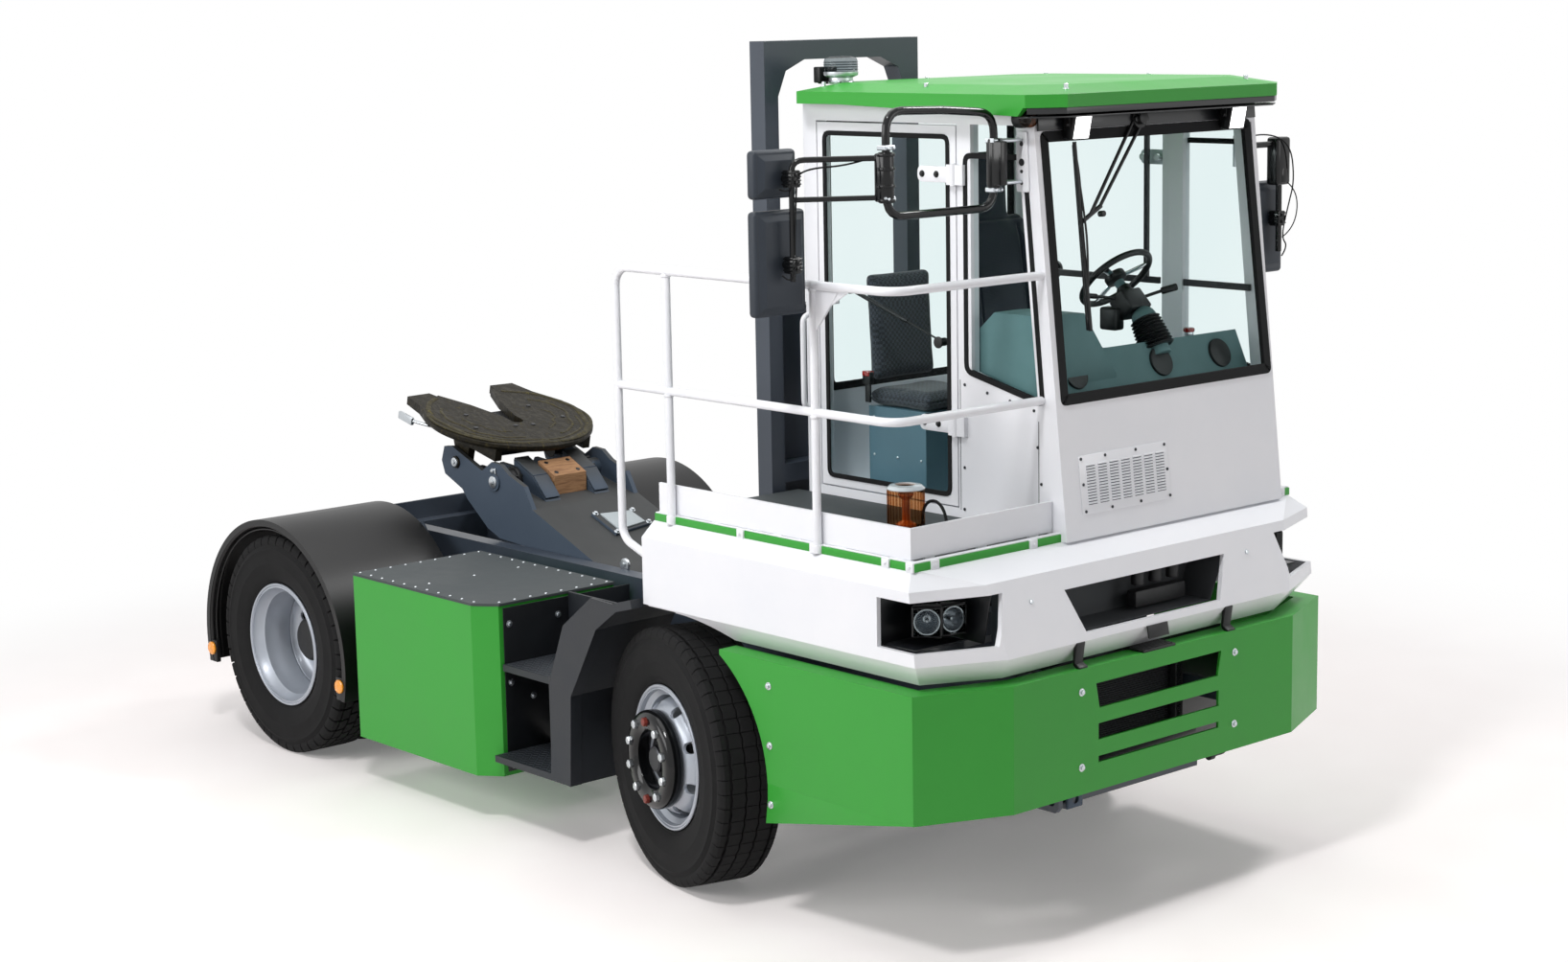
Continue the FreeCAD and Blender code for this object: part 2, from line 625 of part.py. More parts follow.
def body_sections(inset, low, high):
    """The four outlines of the front body, from its foot through crease and shoulder to the deck."""
    i = inset
    rear = BODY_REAR + i
    foot = plan(BODY_Y - 71 - i, BODY_CORNER - 51 - i / 2, BODY_FRONT - 63 - i, BODY_FLAT - 25 - i / 2,
                rear)
    crease = plan(BODY_Y - i, BODY_CORNER - i / 2, BODY_FRONT - i, BODY_FLAT - i / 2, rear)
    shoulder = plan(BODY_Y - i, BODY_CORNER - 29 - i / 2, BODY_FRONT - 74 - i, BODY_FLAT + 47 - i / 2, rear)
    deck = plan(DECK_Y - i, DECK_FRONT - 25 - i / 2, DECK_FRONT - i, DECK_Y - 25 - i / 2, rear)
    return [(foot, low), (crease, BODY_CREASE), (shoulder, BODY_SHOULDER), (deck, high)]


def front_body():
    """Hollow front body with bevelled edges, lamp recesses, front opening and wheel arches."""
    outer = shell_loft(body_sections(0, BODY_LOW, DECK_Z))
    inner = shell_loft(body_sections(BODY_T, BODY_LOW, DECK_Z - BODY_T))
    foot = body_sections(BODY_T, BODY_LOW, DECK_Z - BODY_T)[0][0]
    body = outer.cut(inner.fuse(flat_plate(foot, BODY_LOW - 10, BODY_LOW)))
    wide = HALF_WIDTH + 50
    x0 = BODY_FRONT - 133
    x1 = BODY_FRONT + 67
    arch = bar_y(WHEELBASE, AXLE_Z, -wide, wide, TYRE_R + 74)
    rear_cut = block(BODY_REAR - 10, BODY_REAR + BODY_T + 10, -wide, wide, BODY_LOW - 10, BODY_CREASE)
    side_cut = block(BODY_REAR - 10, WHEELBASE, -wide, wide, BODY_LOW - 10, BODY_CREASE - 5)
    low = BODY_CREASE + 28
    high = BODY_CREASE + 201
    mouth = cross_plate([(-472, high), (-395, low), (395, low), (472, high)], x0, x1)
    cuts = [arch, rear_cut, side_cut, mouth]
    low = BODY_CREASE + 50
    high = BODY_CREASE + 240
    for side in (1, -1):
        cuts.append(cross_plate([(side * (BODY_Y - 311), low), (side * wide, low), (side * wide, high),
                                 (side * (BODY_Y - 371), high)], BODY_CORNER - 201, x1))
    return body.cut(Part.makeCompound(cuts))


def headlamps():
    """Two round lenses in a housing behind each corner opening."""
    x = BODY_CORNER - 191
    low = BODY_CREASE + 55
    high = BODY_CREASE + 235
    middle = (low + high) / 2
    housing = block(x, x + 140, BODY_Y - 291, BODY_Y - 51, low, high)
    lens = rod(V(x + 140, BODY_Y - 231, middle), V(x + 182, BODY_Y - 231, middle), 52)
    second = rod(V(x + 110, BODY_Y - 109, middle), V(x + 155, BODY_Y - 109, middle), 52)
    arm = block(x - 40, x, BODY_Y - 111, BODY_Y - BODY_T, low, high)
    return pair(union([housing, arm, lens, second]))


def front_cooler():
    """Cooler block between the rails' front ends, on two feet."""
    x = RAIL_FRONT + 30
    core = block(x, x + 100, -COOLER_HALF, COOLER_HALF, RAIL_LOW - 60, RAIL_TOP - 10)
    y = COOLER_HALF - 40
    feet = []
    for side in (1, -1):
        feet.append(block(RAIL_FRONT, x, side * y - 30, side * y + 30, RAIL_LOW + 20, RAIL_TOP - 70))
    return union([core] + feet)


def deck_plate():
    return block(BODY_REAR + 10, RIM_FRONT, -RIM_Y + RIM_T, CAB_RIGHT - 5, DECK_Z, DECK_Z + DECK_T)


def deck_rim():
    """Kickboard round the deck, standing clear on short feet."""
    low = DECK_Z + KICK_GAP
    side = block(BODY_REAR + 10, RIM_FRONT, -RIM_Y, -RIM_Y + RIM_T, low, low + KICK_H)
    front = block(RIM_FRONT, RIM_FRONT + RIM_T, -RIM_Y, CAB_RIGHT - 5, low, low + KICK_H)
    parts = [side, front]
    run = RIM_FRONT - BODY_REAR
    for share in (0.03, 0.25, 0.5, 0.75, 0.966):
        x = BODY_REAR + share * run
        parts.append(block(x - 25, x + 25, -RIM_Y, -RIM_Y + RIM_T, DECK_Z, low + 10))
    run = RIM_Y + CAB_RIGHT
    for share in (0.13, 0.49, 0.86):
        y = -RIM_Y + share * run
        parts.append(block(RIM_FRONT, RIM_FRONT + RIM_T, y - 25, y + 25, DECK_Z, low + 10))
    return union(parts)


def railing():
    """Tube railing: bent rear hoop, two posts and two rails running on to the cab."""
    y = -RAIL_POST_Y
    end_y = CAB_RIGHT - FIT
    foot_z = DECK_Z - 170
    top = bent_tube([V(BODY_REAR - 18, y, foot_z), V(RAILING_REAR, y, foot_z + 70),
                     V(RAILING_REAR, y, RAIL_Z),
                     V(RAILING_FRONT, y, RAIL_Z), V(RAILING_FRONT, end_y, RAIL_Z)], TUBE_R, 80)
    mid = bent_tube([V(RAILING_REAR, y, MID_Z), V(RAILING_FRONT, y, MID_Z), V(RAILING_FRONT, end_y, MID_Z)],
                    TUBE_R, 80)
    foot = rod(V(BODY_REAR - 20, y, foot_z), V(BODY_REAR, y, foot_z), 26)
    posts = [rod(V(x, y, DECK_Z), V(x, y, RAIL_Z), TUBE_R) for x in POST_X]
    x = POST_X[1]
    gusset = side_plate([(x, RAIL_Z - 10), (x + 150, RAIL_Z - 10), (x, RAIL_Z - 190)], y - 5, y + 5)
    return union([top, mid, foot, gusset] + posts)


# ================= cab =================

def cab_front_x(z):
    return CAB_FRONT - (z - CAB_FLOOR) * math.tan(CAB_LEAN)


def cab_prism(inset, low, high):
    i = inset
    outline = [(CAB_REAR + i, low), (cab_front_x(low) - i, low), (cab_front_x(high) - i, high),
               (CAB_REAR + i, high)]
    return side_plate(outline, CAB_RIGHT + i, CAB_LEFT - i)


def quarter_outline(inset):
    i = inset
    x0 = DOOR_X[1] + 75 + i
    top = DOOR_Z[1] - i
    return [(x0, QUARTER_Z[0] + i), (cab_front_x(QUARTER_Z[1]) - 95 - i, QUARTER_Z[1] + i),
            (cab_front_x(top) - 95 - i, top), (x0, top)]


def screen_outline(inset):
    """Windscreen opening as (y, z) points."""
    i = inset
    right = SCREEN_Y[0] + i
    left = SCREEN_Y[1] - i
    return [(right, SCREEN_Z[0] + i), (left, SCREEN_Z[0] + i), (left, SCREEN_Z[1] - i),
            (right, SCREEN_Z[1] - i)]


def rear_outline(inset):
    """Rear window opening as (y, z) points."""
    right = CAB_RIGHT + 90 + inset
    left = CAB_LEFT - 90 - inset
    low = CAB_FLOOR + 450 + inset
    high = DOOR_Z[1] - inset
    return [(right, low), (left, low), (left, high), (right, high)]


def cab_shell():
    """Floor, walls and pillars with the two door openings and every window cut."""
    outer = cab_prism(0, CAB_FLOOR, CAB_TOP)
    inner = cab_prism(CAB_T, CAB_FLOOR + CAB_T, CAB_TOP + 20)
    shell = outer.cut(inner)
    cuts = [
        block(DOOR_X[0], DOOR_X[1], CAB_RIGHT - 10, CAB_RIGHT + CAB_T + 10, DOOR_Z[0], DOOR_Z[1]),
        block(DOOR_X[0], DOOR_X[1], CAB_LEFT - CAB_T - 10, CAB_LEFT + 10, DOOR_Z[0], DOOR_Z[1]),
        side_plate(quarter_outline(0), CAB_RIGHT - 10, CAB_LEFT + 10),
        cross_plate(screen_outline(0), CAB_FRONT - 300, CAB_FRONT + 50),
        cross_plate(rear_outline(0), CAB_REAR - 10, CAB_REAR + CAB_T + 10),
    ]
    leaves = [hinge_leaf(z) for z in HINGE_Z]
    return union([shell.cut(Part.makeCompound(cuts))] + leaves + [to_left(leaf) for leaf in leaves])


def hinge_leaf(z):
    """The fixed leaf of one door hinge, hollowed round the knuckle."""
    x, y = HINGE_X, CAB_RIGHT
    leaf = block(x, x + 56, y - 20, y, z - 40, z + 40)
    return leaf.cut(Part.makeCylinder(KNUCKLE_R + FIT, 120, V(x, y - 14, z - 60), V(0, 0, 1)))


def roof_plan(inset, corner):
    """Roof outline drawn in by inset, its four corners cut by corner."""
    x0 = CAB_REAR - 12 + inset
    x1 = cab_front_x(CAB_TOP) + ROOF_LIP - inset
    y0 = CAB_RIGHT - ROOF_OUT + inset
    y1 = CAB_LEFT + ROOF_OUT - inset
    c = corner
    return [(x0, y0 + c), (x0 + c * 0.8, y0), (x1 - c, y0), (x1, y0 + 1.3 * c), (x1, y1 - 1.3 * c),
            (x1 - c, y1),
            (x0 + c * 0.8, y1), (x0, y1 - c)]


def cab_roof():
    """Moulded roof: a low dome over a thin edge, with a fascia dropping along each side."""
    edge = CAB_TOP + ROOF_EDGE
    slab = shell_loft([(roof_plan(0, 100), CAB_TOP), (roof_plan(0, 100), edge)])
    dome = shell_loft([(roof_plan(0, 100), edge), (roof_plan(120, 130), ROOF_TOP)])
    y0 = CAB_RIGHT - ROOF_OUT
    x0 = CAB_REAR + 70
    x1 = cab_front_x(CAB_TOP) + ROOF_LIP - 100
    outline = [(x0, edge - 10), (x0, CAB_TOP + 8), (x1 - 40, CAB_TOP - 32), (x1, CAB_TOP + 10),
               (x1, edge - 10)]
    right = side_plate(outline, y0, y0 + FASCIA_T)
    left = side_plate(outline, CAB_LEFT + ROOF_OUT - FASCIA_T, CAB_LEFT + ROOF_OUT)
    return union([slab, dome, right, left])


def windscreen():
    """The raked front pane, set back in its opening."""
    z0 = SCREEN_Z[0] + FIT
    z1 = SCREEN_Z[1] - FIT
    low = cab_front_x(z0) - 20
    high = cab_front_x(z1) - 20
    outline = [(low, z0), (low + GLASS_T, z0), (high + GLASS_T, z1), (high, z1)]
    return side_plate(outline, SCREEN_Y[0] + FIT, SCREEN_Y[1] - FIT)


def fixed_glass():
    """The two quarter panes and the rear window."""
    panes = [cross_plate(rear_outline(FIT), CAB_REAR + 18, CAB_REAR + 18 + GLASS_T)]
    for y in (CAB_RIGHT + 18, CAB_LEFT - 18 - GLASS_T):
        panes.append(side_plate(quarter_outline(FIT), y, y + GLASS_T))
    return Part.makeCompound(panes)


def door_blank(inset, y0, y1):
    return block(DOOR_X[0] + inset, DOOR_X[1] - inset, y0, y1, DOOR_Z[0] + inset, DOOR_Z[1] - inset)


def right_door_frame():
    """Full-height glazed door's frame, with its latch block and hinge knuckles."""
    y0 = CAB_RIGHT
    frame = door_blank(DOOR_GAP, y0, y0 + DOOR_T).cut(door_blank(DOOR_FRAME, y0 - 5, y0 + DOOR_T + 5))
    parts = [frame]
    for z in HINGE_Z:
        parts.append(Part.makeCylinder(KNUCKLE_R, 90, V(HINGE_X, y0 - 14, z - 45), V(0, 0, 1)))
        parts.append(block(HINGE_X - 34, HINGE_X, y0 - 20, y0 + 2, z - 40, z + 40))
    latch = DOOR_X[0] + DOOR_FRAME + 34
    parts.append(block(latch - 54, latch + 26, y0 - 8, y0 + 20, LATCH_Z - 40, LATCH_Z + 40))
    parts.append(rod(V(latch, y0 - 30, LATCH_Z), V(latch, y0, LATCH_Z), 26))
    return union(parts)


def right_door_glass():
    """The door's pane, cut away behind the latch block."""
    y = CAB_RIGHT + 14
    pane = door_blank(DOOR_FRAME + 0.5, y, y + GLASS_T)
    return pane.cut(block(DOOR_X[0], DOOR_X[0] + DOOR_FRAME + 61, y - 20, y + 20, LATCH_Z - 41,
                          LATCH_Z + 41))


def to_left(shape):
    """Mirror a right-hand cab piece across the cab's own middle plane."""
    return shape.mirror(V(0, (CAB_RIGHT + CAB_LEFT) / 2, 0), V(0, 1, 0))


def dashboard():
    """Moulded console across the front, with a tall pod at the right that slopes down to the driver."""
    y0 = CAB_RIGHT + CAB_T + 6
    y1 = CAB_LEFT - CAB_T - 6
    front = cab_front_x(SCREEN_Z[0] + 40) - CAB_T - 14
    base = CAB_FLOOR
    outline = [(front - 20, SEAT_FLOOR), (front - 20, base + 535), (front - 95, base + 700),
               (front - 330, base + 650),
               (front - 350, base + 540), (front - 190, base + 300), (front - 190, SEAT_FLOOR)]
    console = side_plate(outline, y0, y1)
    pod = side_plate([(front - 30, base + 360), (front - 56, base + 860), (front - 313, base + 862),
                      (front - 484, base + 715), (front - 484, base + 400), (front - 190, base + 360)], y0,
                      CAB_MID - 190)
    flank = cross_plate([(y0, base + 300), (y0, base + 870), (y0 + 240, base + 856),
                         (CAB_MID - 195, base + 600),
                         (CAB_MID - 195, base + 300)], front - 500, front)
    knee, top, way = column_line()
    foot = V(COLUMN_FOOT[0], DRIVER[1], COLUMN_FOOT[1])
    bend = Part.makeSphere(HOUSING_R + 4, knee, way)
    return union([console, pod.common(flank), rod(foot, knee, HOUSING_R), bend, rod(knee, top, COLUMN_R)])


def column_line():
    """Knee, top and direction of the raked steering column, in front of the driver."""
    knee = V(COLUMN_KNEE[0], DRIVER[1], COLUMN_KNEE[1])
    top = V(COLUMN_TOP[0], DRIVER[1], COLUMN_TOP[1])
    return knee, top, top.sub(knee).normalize()


def steering_wheel():
    """Rim, three spokes and a centre boss on the raked column."""
    top, axis = column_line()[1:]
    centre = top.add(Vector(axis).multiply(20 + FIT))
    ring = Part.makeTorus(WHEEL_RING_R, 14, centre, axis)
    boss = Part.makeCylinder(50, 36, centre.sub(Vector(axis).multiply(20)), axis)
    parts = [ring, boss]
    across = V(0, 1, 0)
    along = axis.cross(across)
    for a in (90, 210, 330):
        turn = math.radians(a)
        way = Vector(across).multiply(math.cos(turn)).add(Vector(along).multiply(math.sin(turn)))
        parts.append(rod(centre, centre.add(way.multiply(WHEEL_RING_R - 3)), 11))
    return union(parts)


def driver_seat_base():
    x, y = DRIVER
    plinth = block(x - 210, x + 140, y - 180, y + 180, SEAT_FLOOR, SEAT_FLOOR + 40)
    return union([plinth, block(x - 160, x + 100, y - 140, y + 140, SEAT_FLOOR + 40, SEAT_FLOOR + 300)])


def driver_seat_cushion():
    x, y = DRIVER
    return block(x - 260, x + 220, y - 240, y + 240, SEAT_FLOOR + 300 + FIT, SEAT_FLOOR + 420)


def driver_seat_back():
    """High back that narrows to a head rest, leaning a little to the rear."""
    x, y = DRIVER
    low = SEAT_FLOOR + 420 + FIT
    neck = SEAT_FLOOR + 1130
    top = SEAT_FLOOR + 1420
    back = side_plate([(x - 250, low), (x - 120, low), (x - 235, neck), (x - 340, neck)], y - 230, y + 230)
    head = side_plate([(x - 338, neck - 10), (x - 240, neck - 10), (x - 270, top), (x - 365, top)], y - 140,
                      y + 140)
    return union([back, head])


def passenger_seat_base():
    x, y = PASSENGER
    return block(x - 180, x + 160, y - 180, y + 180, SEAT_FLOOR, SEAT_FLOOR + 360)


def passenger_seat_cushion():
    x, y = PASSENGER
    return block(x - 200, x + 200, y - 200, y + 200, SEAT_FLOOR + 360 + FIT, SEAT_FLOOR + 450)


def passenger_seat_back():
    x, y = PASSENGER
    low = SEAT_FLOOR + 450 + FIT
    top = SEAT_FLOOR + 930
    return side_plate([(x - 195, low), (x - 120, low), (x - 150, top), (x - 225, top)], y - 190, y + 190)


# ================= headboard, boxes, steps, fenders =================

def headboard_frame():
    """Goalpost of square tube with curved gussets, standing on the chassis rails."""
    x0 = HEAD_X - HEAD_DEEP / 2
    x1 = HEAD_X + HEAD_DEEP / 2
    outer = block(x0, x1, -HEAD_HALF, HEAD_HALF, RAIL_FRONT_TOP, HEAD_TOP)
    w = HEAD_HALF - HEAD_POST
    low = RAIL_FRONT_TOP - 10
    top = HEAD_TOP - 80
    g = HEAD_GUSSET
    bend = 0.3 * g
    hole = cross_plate([(-w, low), (w, low), (w, top - g), (w - bend, top - bend), (w - g, top),
                        (-w + g, top),
                        (-w + bend, top - bend), (-w, top - g)], x0 - 10, x1 + 10)
    sill = block(x0, x1, -w - 5, w + 5, DECK_Z + 60, DECK_Z + 140)
    return union([outer.cut(hole), sill])


def hose_cabinet():
    return block(HEAD_X - 130, HEAD_X - HEAD_DEEP / 2, 115 - HEAD_HALF, 385 - HEAD_HALF, DECK_Z - 320,
                 DECK_Z + 800)


def battery_box(side):
    """Hollow steel box with an inset front corner, carried on two arms."""
    def outline(i):
        return [(BOX_REAR + i, BOX_INNER + i), (BOX_FRONT - i, BOX_INNER + i),
                (BOX_FRONT - i, BOX_FRONT_Y - i / 2),
                (BOX_CREASE, HALF_WIDTH - i), (BOX_REAR + i, HALF_WIDTH - i)]
    outer = flat_plate(outline(0), BOX_LOW, BOX_TOP - LID_T)
    inner = flat_plate(outline(BOX_T), BOX_LOW + BOX_T, BOX_TOP)
    box = outer.cut(inner)
    arms = []
    for x in (BOX_REAR + 184, BOX_FRONT - 259):
        arms.append(block(x - 40, x + 40, RAIL_Y, BOX_INNER, RAIL_LOW + 40, RAIL_LOW + 120))
    whole = union([box] + arms)
    return whole if side > 0 else mirrored(whole)


def battery_lid(side):
    outline = [(BOX_REAR - 4, BOX_INNER - 4), (BOX_FRONT + 4, BOX_INNER - 4),
               (BOX_FRONT + 4, BOX_FRONT_Y - 2),
               (BOX_CREASE + 4, HALF_WIDTH), (BOX_REAR - 4, HALF_WIDTH)]
    lid = flat_plate(outline, BOX_TOP - LID_T, BOX_TOP)
    return lid if side > 0 else mirrored(lid)


def battery_pack(side):
    pack = block(BOX_REAR + 40, BOX_CREASE - 20, BOX_INNER + 40, HALF_WIDTH - 60, BOX_LOW + BOX_T,
                 BOX_TOP - LID_T - 30)
    return pack if side > 0 else mirrored(pack)


def offset(line, thick):
    """A line of (x, z) points moved square to itself, to its lower right."""
    moved = []
    for i, (x, z) in enumerate(line):
        ahead = line[min(i + 1, len(line) - 1)]
        back = line[max(i - 1, 0)]
        run = ahead[0] - back[0]
        rise = ahead[1] - back[1]
        size = math.hypot(run, rise)
        moved.append((x + thick * rise / size, z - thick * run / size))
    return moved


def band(line, thick):
    """Outline of a strip between a line and its offset."""
    return line + offset(line, thick)[::-1]


def guard_line():
    """Curve of the guard round the rear of the front wheel, up to the front body."""
    rise = ((-169, -712), (-147, -307), (-82, -193), (50, 32), (201, 139))
    curve = [(TYRE_BACK + dx, RAIL_TOP + dz) for dx, dz in rise]
    return curve + [(BODY_REAR - 20, RAIL_TOP + 171)]


def steps(side):
    """Two treads between the box and a bent guard that shields them from the front wheel."""
    outer = STEP_Y
    back = BOX_FRONT + 10
    low_end = TYRE_BACK - 259
    inner = outer - 442
    flange = side_plate(band(guard_line(), GUARD_T), outer - 60, outer)
    liner = side_plate(band(offset(guard_line(), GUARD_T - 14), 10), inner + 12, outer - 10)
    hidden = [(TYRE_BACK + 51, RAIL_TOP + 140), (TYRE_BACK - 149, RAIL_TOP - 10),
              (low_end + 10, RAIL_TOP - 250)]
    web = side_plate([(low_end - 10, STEP_LOW)] + offset(guard_line(), 5)[:5] + hidden, outer - 12, outer)
    low = block(back, low_end, outer - 330, outer, STEP_LOW, STEP_LOW + STEP_T)
    high = block(back, low_end + 40, inner + 12, outer - 60, STEP_HIGH, STEP_HIGH + STEP_T)
    riser = block(low_end - 10, low_end + 2, outer - 330, outer - 5, STEP_LOW, STEP_HIGH + 60)
    back_plate = block(back, TYRE_BACK - 119, inner, inner + 12, STEP_LOW, RAIL_TOP - 10)
    arm = block(low_end - 10, low_end + 70, RAIL_Y, inner + 12, RAIL_TOP - 220, RAIL_TOP - 150)
    tray = block(low_end - 10, TYRE_BACK - 109, inner, outer - 12, STEP_HIGH + 45, STEP_HIGH + 57)
    whole = union([flange, liner, web, low, high, riser, back_plate, arm, tray])
    return whole if side > 0 else mirrored(whole)


def rear_fender(side):
    """Half-round plastic mudguard over the twin wheels with a rolled outer edge."""
    x, z, r, t = FENDER_X, FENDER_Z, FENDER_R, FENDER_T
    inner = FENDER_IN + FIT
    outer = HALF_WIDTH - 4
    ring = bar_y(x, z, inner, outer, r).cut(bar_y(x, z, inner - 10, outer + 10, r - t))
    edge = bar_y(x, z, outer - 20, outer, r).cut(bar_y(x, z, outer - 30, outer + 10, r - 30))
    keep = block(x - r - 20, x + r + 20, inner - 20, outer + 20, FENDER_LOW, z + r + 20)
    guard = union([ring, edge]).common(keep)
    return guard if side > 0 else mirrored(guard)


def fender_bracket(side):
    """V-shaped plate on an arm from the rail, against the mudguard's inner edge."""
    x = FENDER_X
    low = RAIL_TOP - 130
    wing = math.radians(33.3)
    tips = []
    for reach, turn in ((FENDER_R - 14, wing), (FENDER_R + 13, wing - 0.106)):
        tips.append((reach * math.sin(turn), FENDER_Z + reach * math.cos(turn)))
    outline = [(x - 70, low), (x - tips[0][0], tips[0][1]), (x - tips[1][0], tips[1][1]),
               (x, RAIL_TOP - 45),
               (x + tips[1][0], tips[1][1]), (x + tips[0][0], tips[0][1]), (x + 70, low)]
    plate = side_plate(outline, FENDER_IN - 12, FENDER_IN)
    arm = block(x - 45, x + 45, RAIL_Y, FENDER_IN - 12, low + 10, low + 70)
    whole = plate.fuse(arm)
    return whole if side > 0 else mirrored(whole)


# ================= boom, fifth wheel, lift =================

def sheet_z(x):
    """Height of the boom's top sheet at x, which bends at SHEET_BEND."""
    bend_x, bend_z = SHEET_BEND
    fall = SHEET_FALL if x > bend_x else 0.24
    return bend_z - fall * (x - bend_x)


def boom_side():
    """Outline of a side plate: a long wedge that rises from the pivot to the seat of the coupling plate."""
    px, pz = BOOM_PIVOT
    top = RAIL_TOP
    front = px - 40
    return [(121, top + 346), (148, top + 419), (216, top + 426), (466, top + 330), (549, top + 382),
            (620, top + 377),
            (688, top + 334), (812, top + 290), (SHEET_BEND[0], sheet_z(SHEET_BEND[0])),
            (front, sheet_z(front)),
            (front, pz - 40), (1275, top - 45), (1185, top - 25), (597, top + 8), (499, top + 46),
            (332, top + 172),
            (291, top + 219), (146, top + 280)]


def boom_sheet(x0, x1, half):
    """A run of the top sheet between x0 and x1."""
    z0 = sheet_z(x0)
    z1 = sheet_z(x1)
    return side_plate([(x0, z0 - SHEET_T), (x1, z1 - SHEET_T), (x1, z1), (x0, z0)], -half, half)


def ramp(y):
    """A thick guide ramp on the sheet, which lifts a trailer's front edge on to the plate."""
    x, z = CROSS_TUBE
    outline = [(x - 16, sheet_z(x) - SHEET_T), (x - 16, z + 94), (x + 138, z + 23),
               (x + 243, sheet_z(x + 243) - 2),
               (x + 243, sheet_z(x + 243) - SHEET_T)]
    return side_plate(outline, y - RAMP_W / 2, y + RAMP_W / 2)


def lift_boom():
    """Two side plates on a pivot tube, bent top sheet, ramps, cross tube and the lift's upper lugs."""
    px, pz = BOOM_PIVOT
    bend = SHEET_BEND[0]
    parts = [side_plate(boom_side(), BOOM_IN, BOOM_Y), side_plate(boom_side(), -BOOM_Y, -BOOM_IN)]
    tube_end = BOOM_IN - 2 * CLEAR - LUG_T
    wide_end = px - BOOM_TUBE_R - 25
    parts.append(bar_y(px, pz, -tube_end, tube_end, BOOM_TUBE_R))
    parts.append(bar_y(px, pz, -BOOM_Y - 8, BOOM_Y + 8, BOOM_PIN_R))
    for side in (1, -1):
        parts.append(bar_y(px, pz, side * BOOM_IN, side * BOOM_Y, BOOM_TUBE_R))
    parts.append(bar_y(CROSS_TUBE[0], CROSS_TUBE[1], -BOOM_Y - 10, BOOM_Y + 10, CROSS_TUBE_R))
    parts += [boom_sheet(bend, wide_end, BOOM_IN), boom_sheet(wide_end - 5, px - 25, tube_end),
              boom_sheet(CROSS_TUBE[0] - 12, bend, BOOM_IN)]
    parts += [ramp(RAMP_Y), ramp(-RAMP_Y)]
    x, z = LIFT_HIGH
    for side in (1, -1):
        for way in (-1, 1):
            c = side * LIFT_Y + way * CHEEK_Y
            near = c - CHEEK_T / 2
            far = c + CHEEK_T / 2
            lug = side_plate([(x - 55, z), (x + 55, z), (x + 260, z - 20), (x + 260, z + 60), (x, z + 80)],
                             near, far)
            parts.append(lug.fuse(bar_y(x, z, near, far, EYE_R + 8)))
            parts.append(bar_y(x, z, near if way < 0 else far, c + way * 25, LIFT_PIN_R))
    boom = union(parts)
    return boom.cut(bar_y(PLATE_PIVOT[0], PLATE_PIVOT[1], -BOOM_Y - 20, BOOM_Y + 20, PLATE_PIN_R + FIT))


def wood_block():
    """Hardwood pad bolted between the ramps."""
    x, z = CROSS_TUBE
    x0 = x + CROSS_TUBE_R + 6
    x1 = x + 183
    half = RAMP_Y - RAMP_W / 2 - CLEAR
    return side_plate([(x0, sheet_z(x0) + FIT), (x1, sheet_z(x1) + FIT), (x1, z + 21), (x0, z + 82)], -half,
                      half)


def plate_z(x):
    """Height of the coupling plate's face at x."""
    return KINGPIN[1] - math.tan(PLATE_TILT) * (x - KINGPIN[0])


def coupling_plate():
    """Fifth wheel top plate: a disc with two horns, V slot and jaw, on two ears at its pivot pin."""
    t = PLATE_T
    kx, kz = KINGPIN
    centre = PLATE_PIVOT[0]
    disc = Part.makeCone(PLATE_R - 14, PLATE_R, 16, V(centre, 0, -t), V(0, 0, 1))
    disc = disc.fuse(Part.makeCylinder(PLATE_R, t - 26, V(centre, 0, 16 - t), V(0, 0, 1)))
    disc = disc.fuse(Part.makeCone(PLATE_R, PLATE_R - 12, 10, V(centre, 0, -10), V(0, 0, 1)))
    horn = flat_plate([(kx - 500, 190), (kx - 495, 326), (kx - 346, 350), (centre - 100, 414),
                       (centre, 100)], -t, 0)
    inside = BOOM_IN - CLEAR
    skirt = block(kx - 281, kx + 239, inside - 40, inside, -t - 60, -t + 2)
    jaw = block(kx - 21, kx + 159, -140, 140, -t - 70, -t + 2)
    jaw = jaw.cut(Part.makeCylinder(KINGPIN_SLOT_R, 200, V(kx, 0, -150), V(0, 0, 1)))
    jaw = jaw.cut(block(kx - 121, kx, -KINGPIN_SLOT_R, KINGPIN_SLOT_R, -200, 10))
    mouth = flat_plate([(kx - 600, -225), (kx - 276, -90), (kx - 66, -34), (kx, -34), (kx, 34),
                        (kx - 66, 34),
                        (kx - 276, 90), (kx - 600, 225)], -t - 10, 10)
    mouth = mouth.fuse(Part.makeCylinder(34, t + 20, V(kx, 0, -t - 10), V(0, 0, 1)))
    top = union([disc, horn, mirrored(horn)]).cut(mouth)
    plate = union([top, jaw, skirt, mirrored(skirt)])
    plate.translate(V(0, 0, kz))
    plate.rotate(V(kx, 0, kz), V(0, 1, 0), math.degrees(PLATE_TILT))
    x, z = PLATE_PIVOT
    ears = []
    for side in (1, -1):
        ear = side_plate([(x - 80, plate_z(x - 80) - 60), (x + 80, plate_z(x + 80) - 60), (x + 30, z - 40),
                          (x - 30, z - 40)],
                         inside - 40, inside)
        ear = ear.fuse(bar_y(x, z, inside - 40, inside, 48))
        pin = bar_y(x, z, inside - 10, BOOM_Y + 9, PLATE_PIN_R)
        ears += [ear, pin] if side > 0 else [mirrored(ear), mirrored(pin)]
    return union([plate] + ears)


def lift_way():
    start = V(LIFT_LOW[0], 0, LIFT_LOW[1])
    end = V(LIFT_HIGH[0], 0, LIFT_HIGH[1])
    return start, end, end.sub(start).normalize()


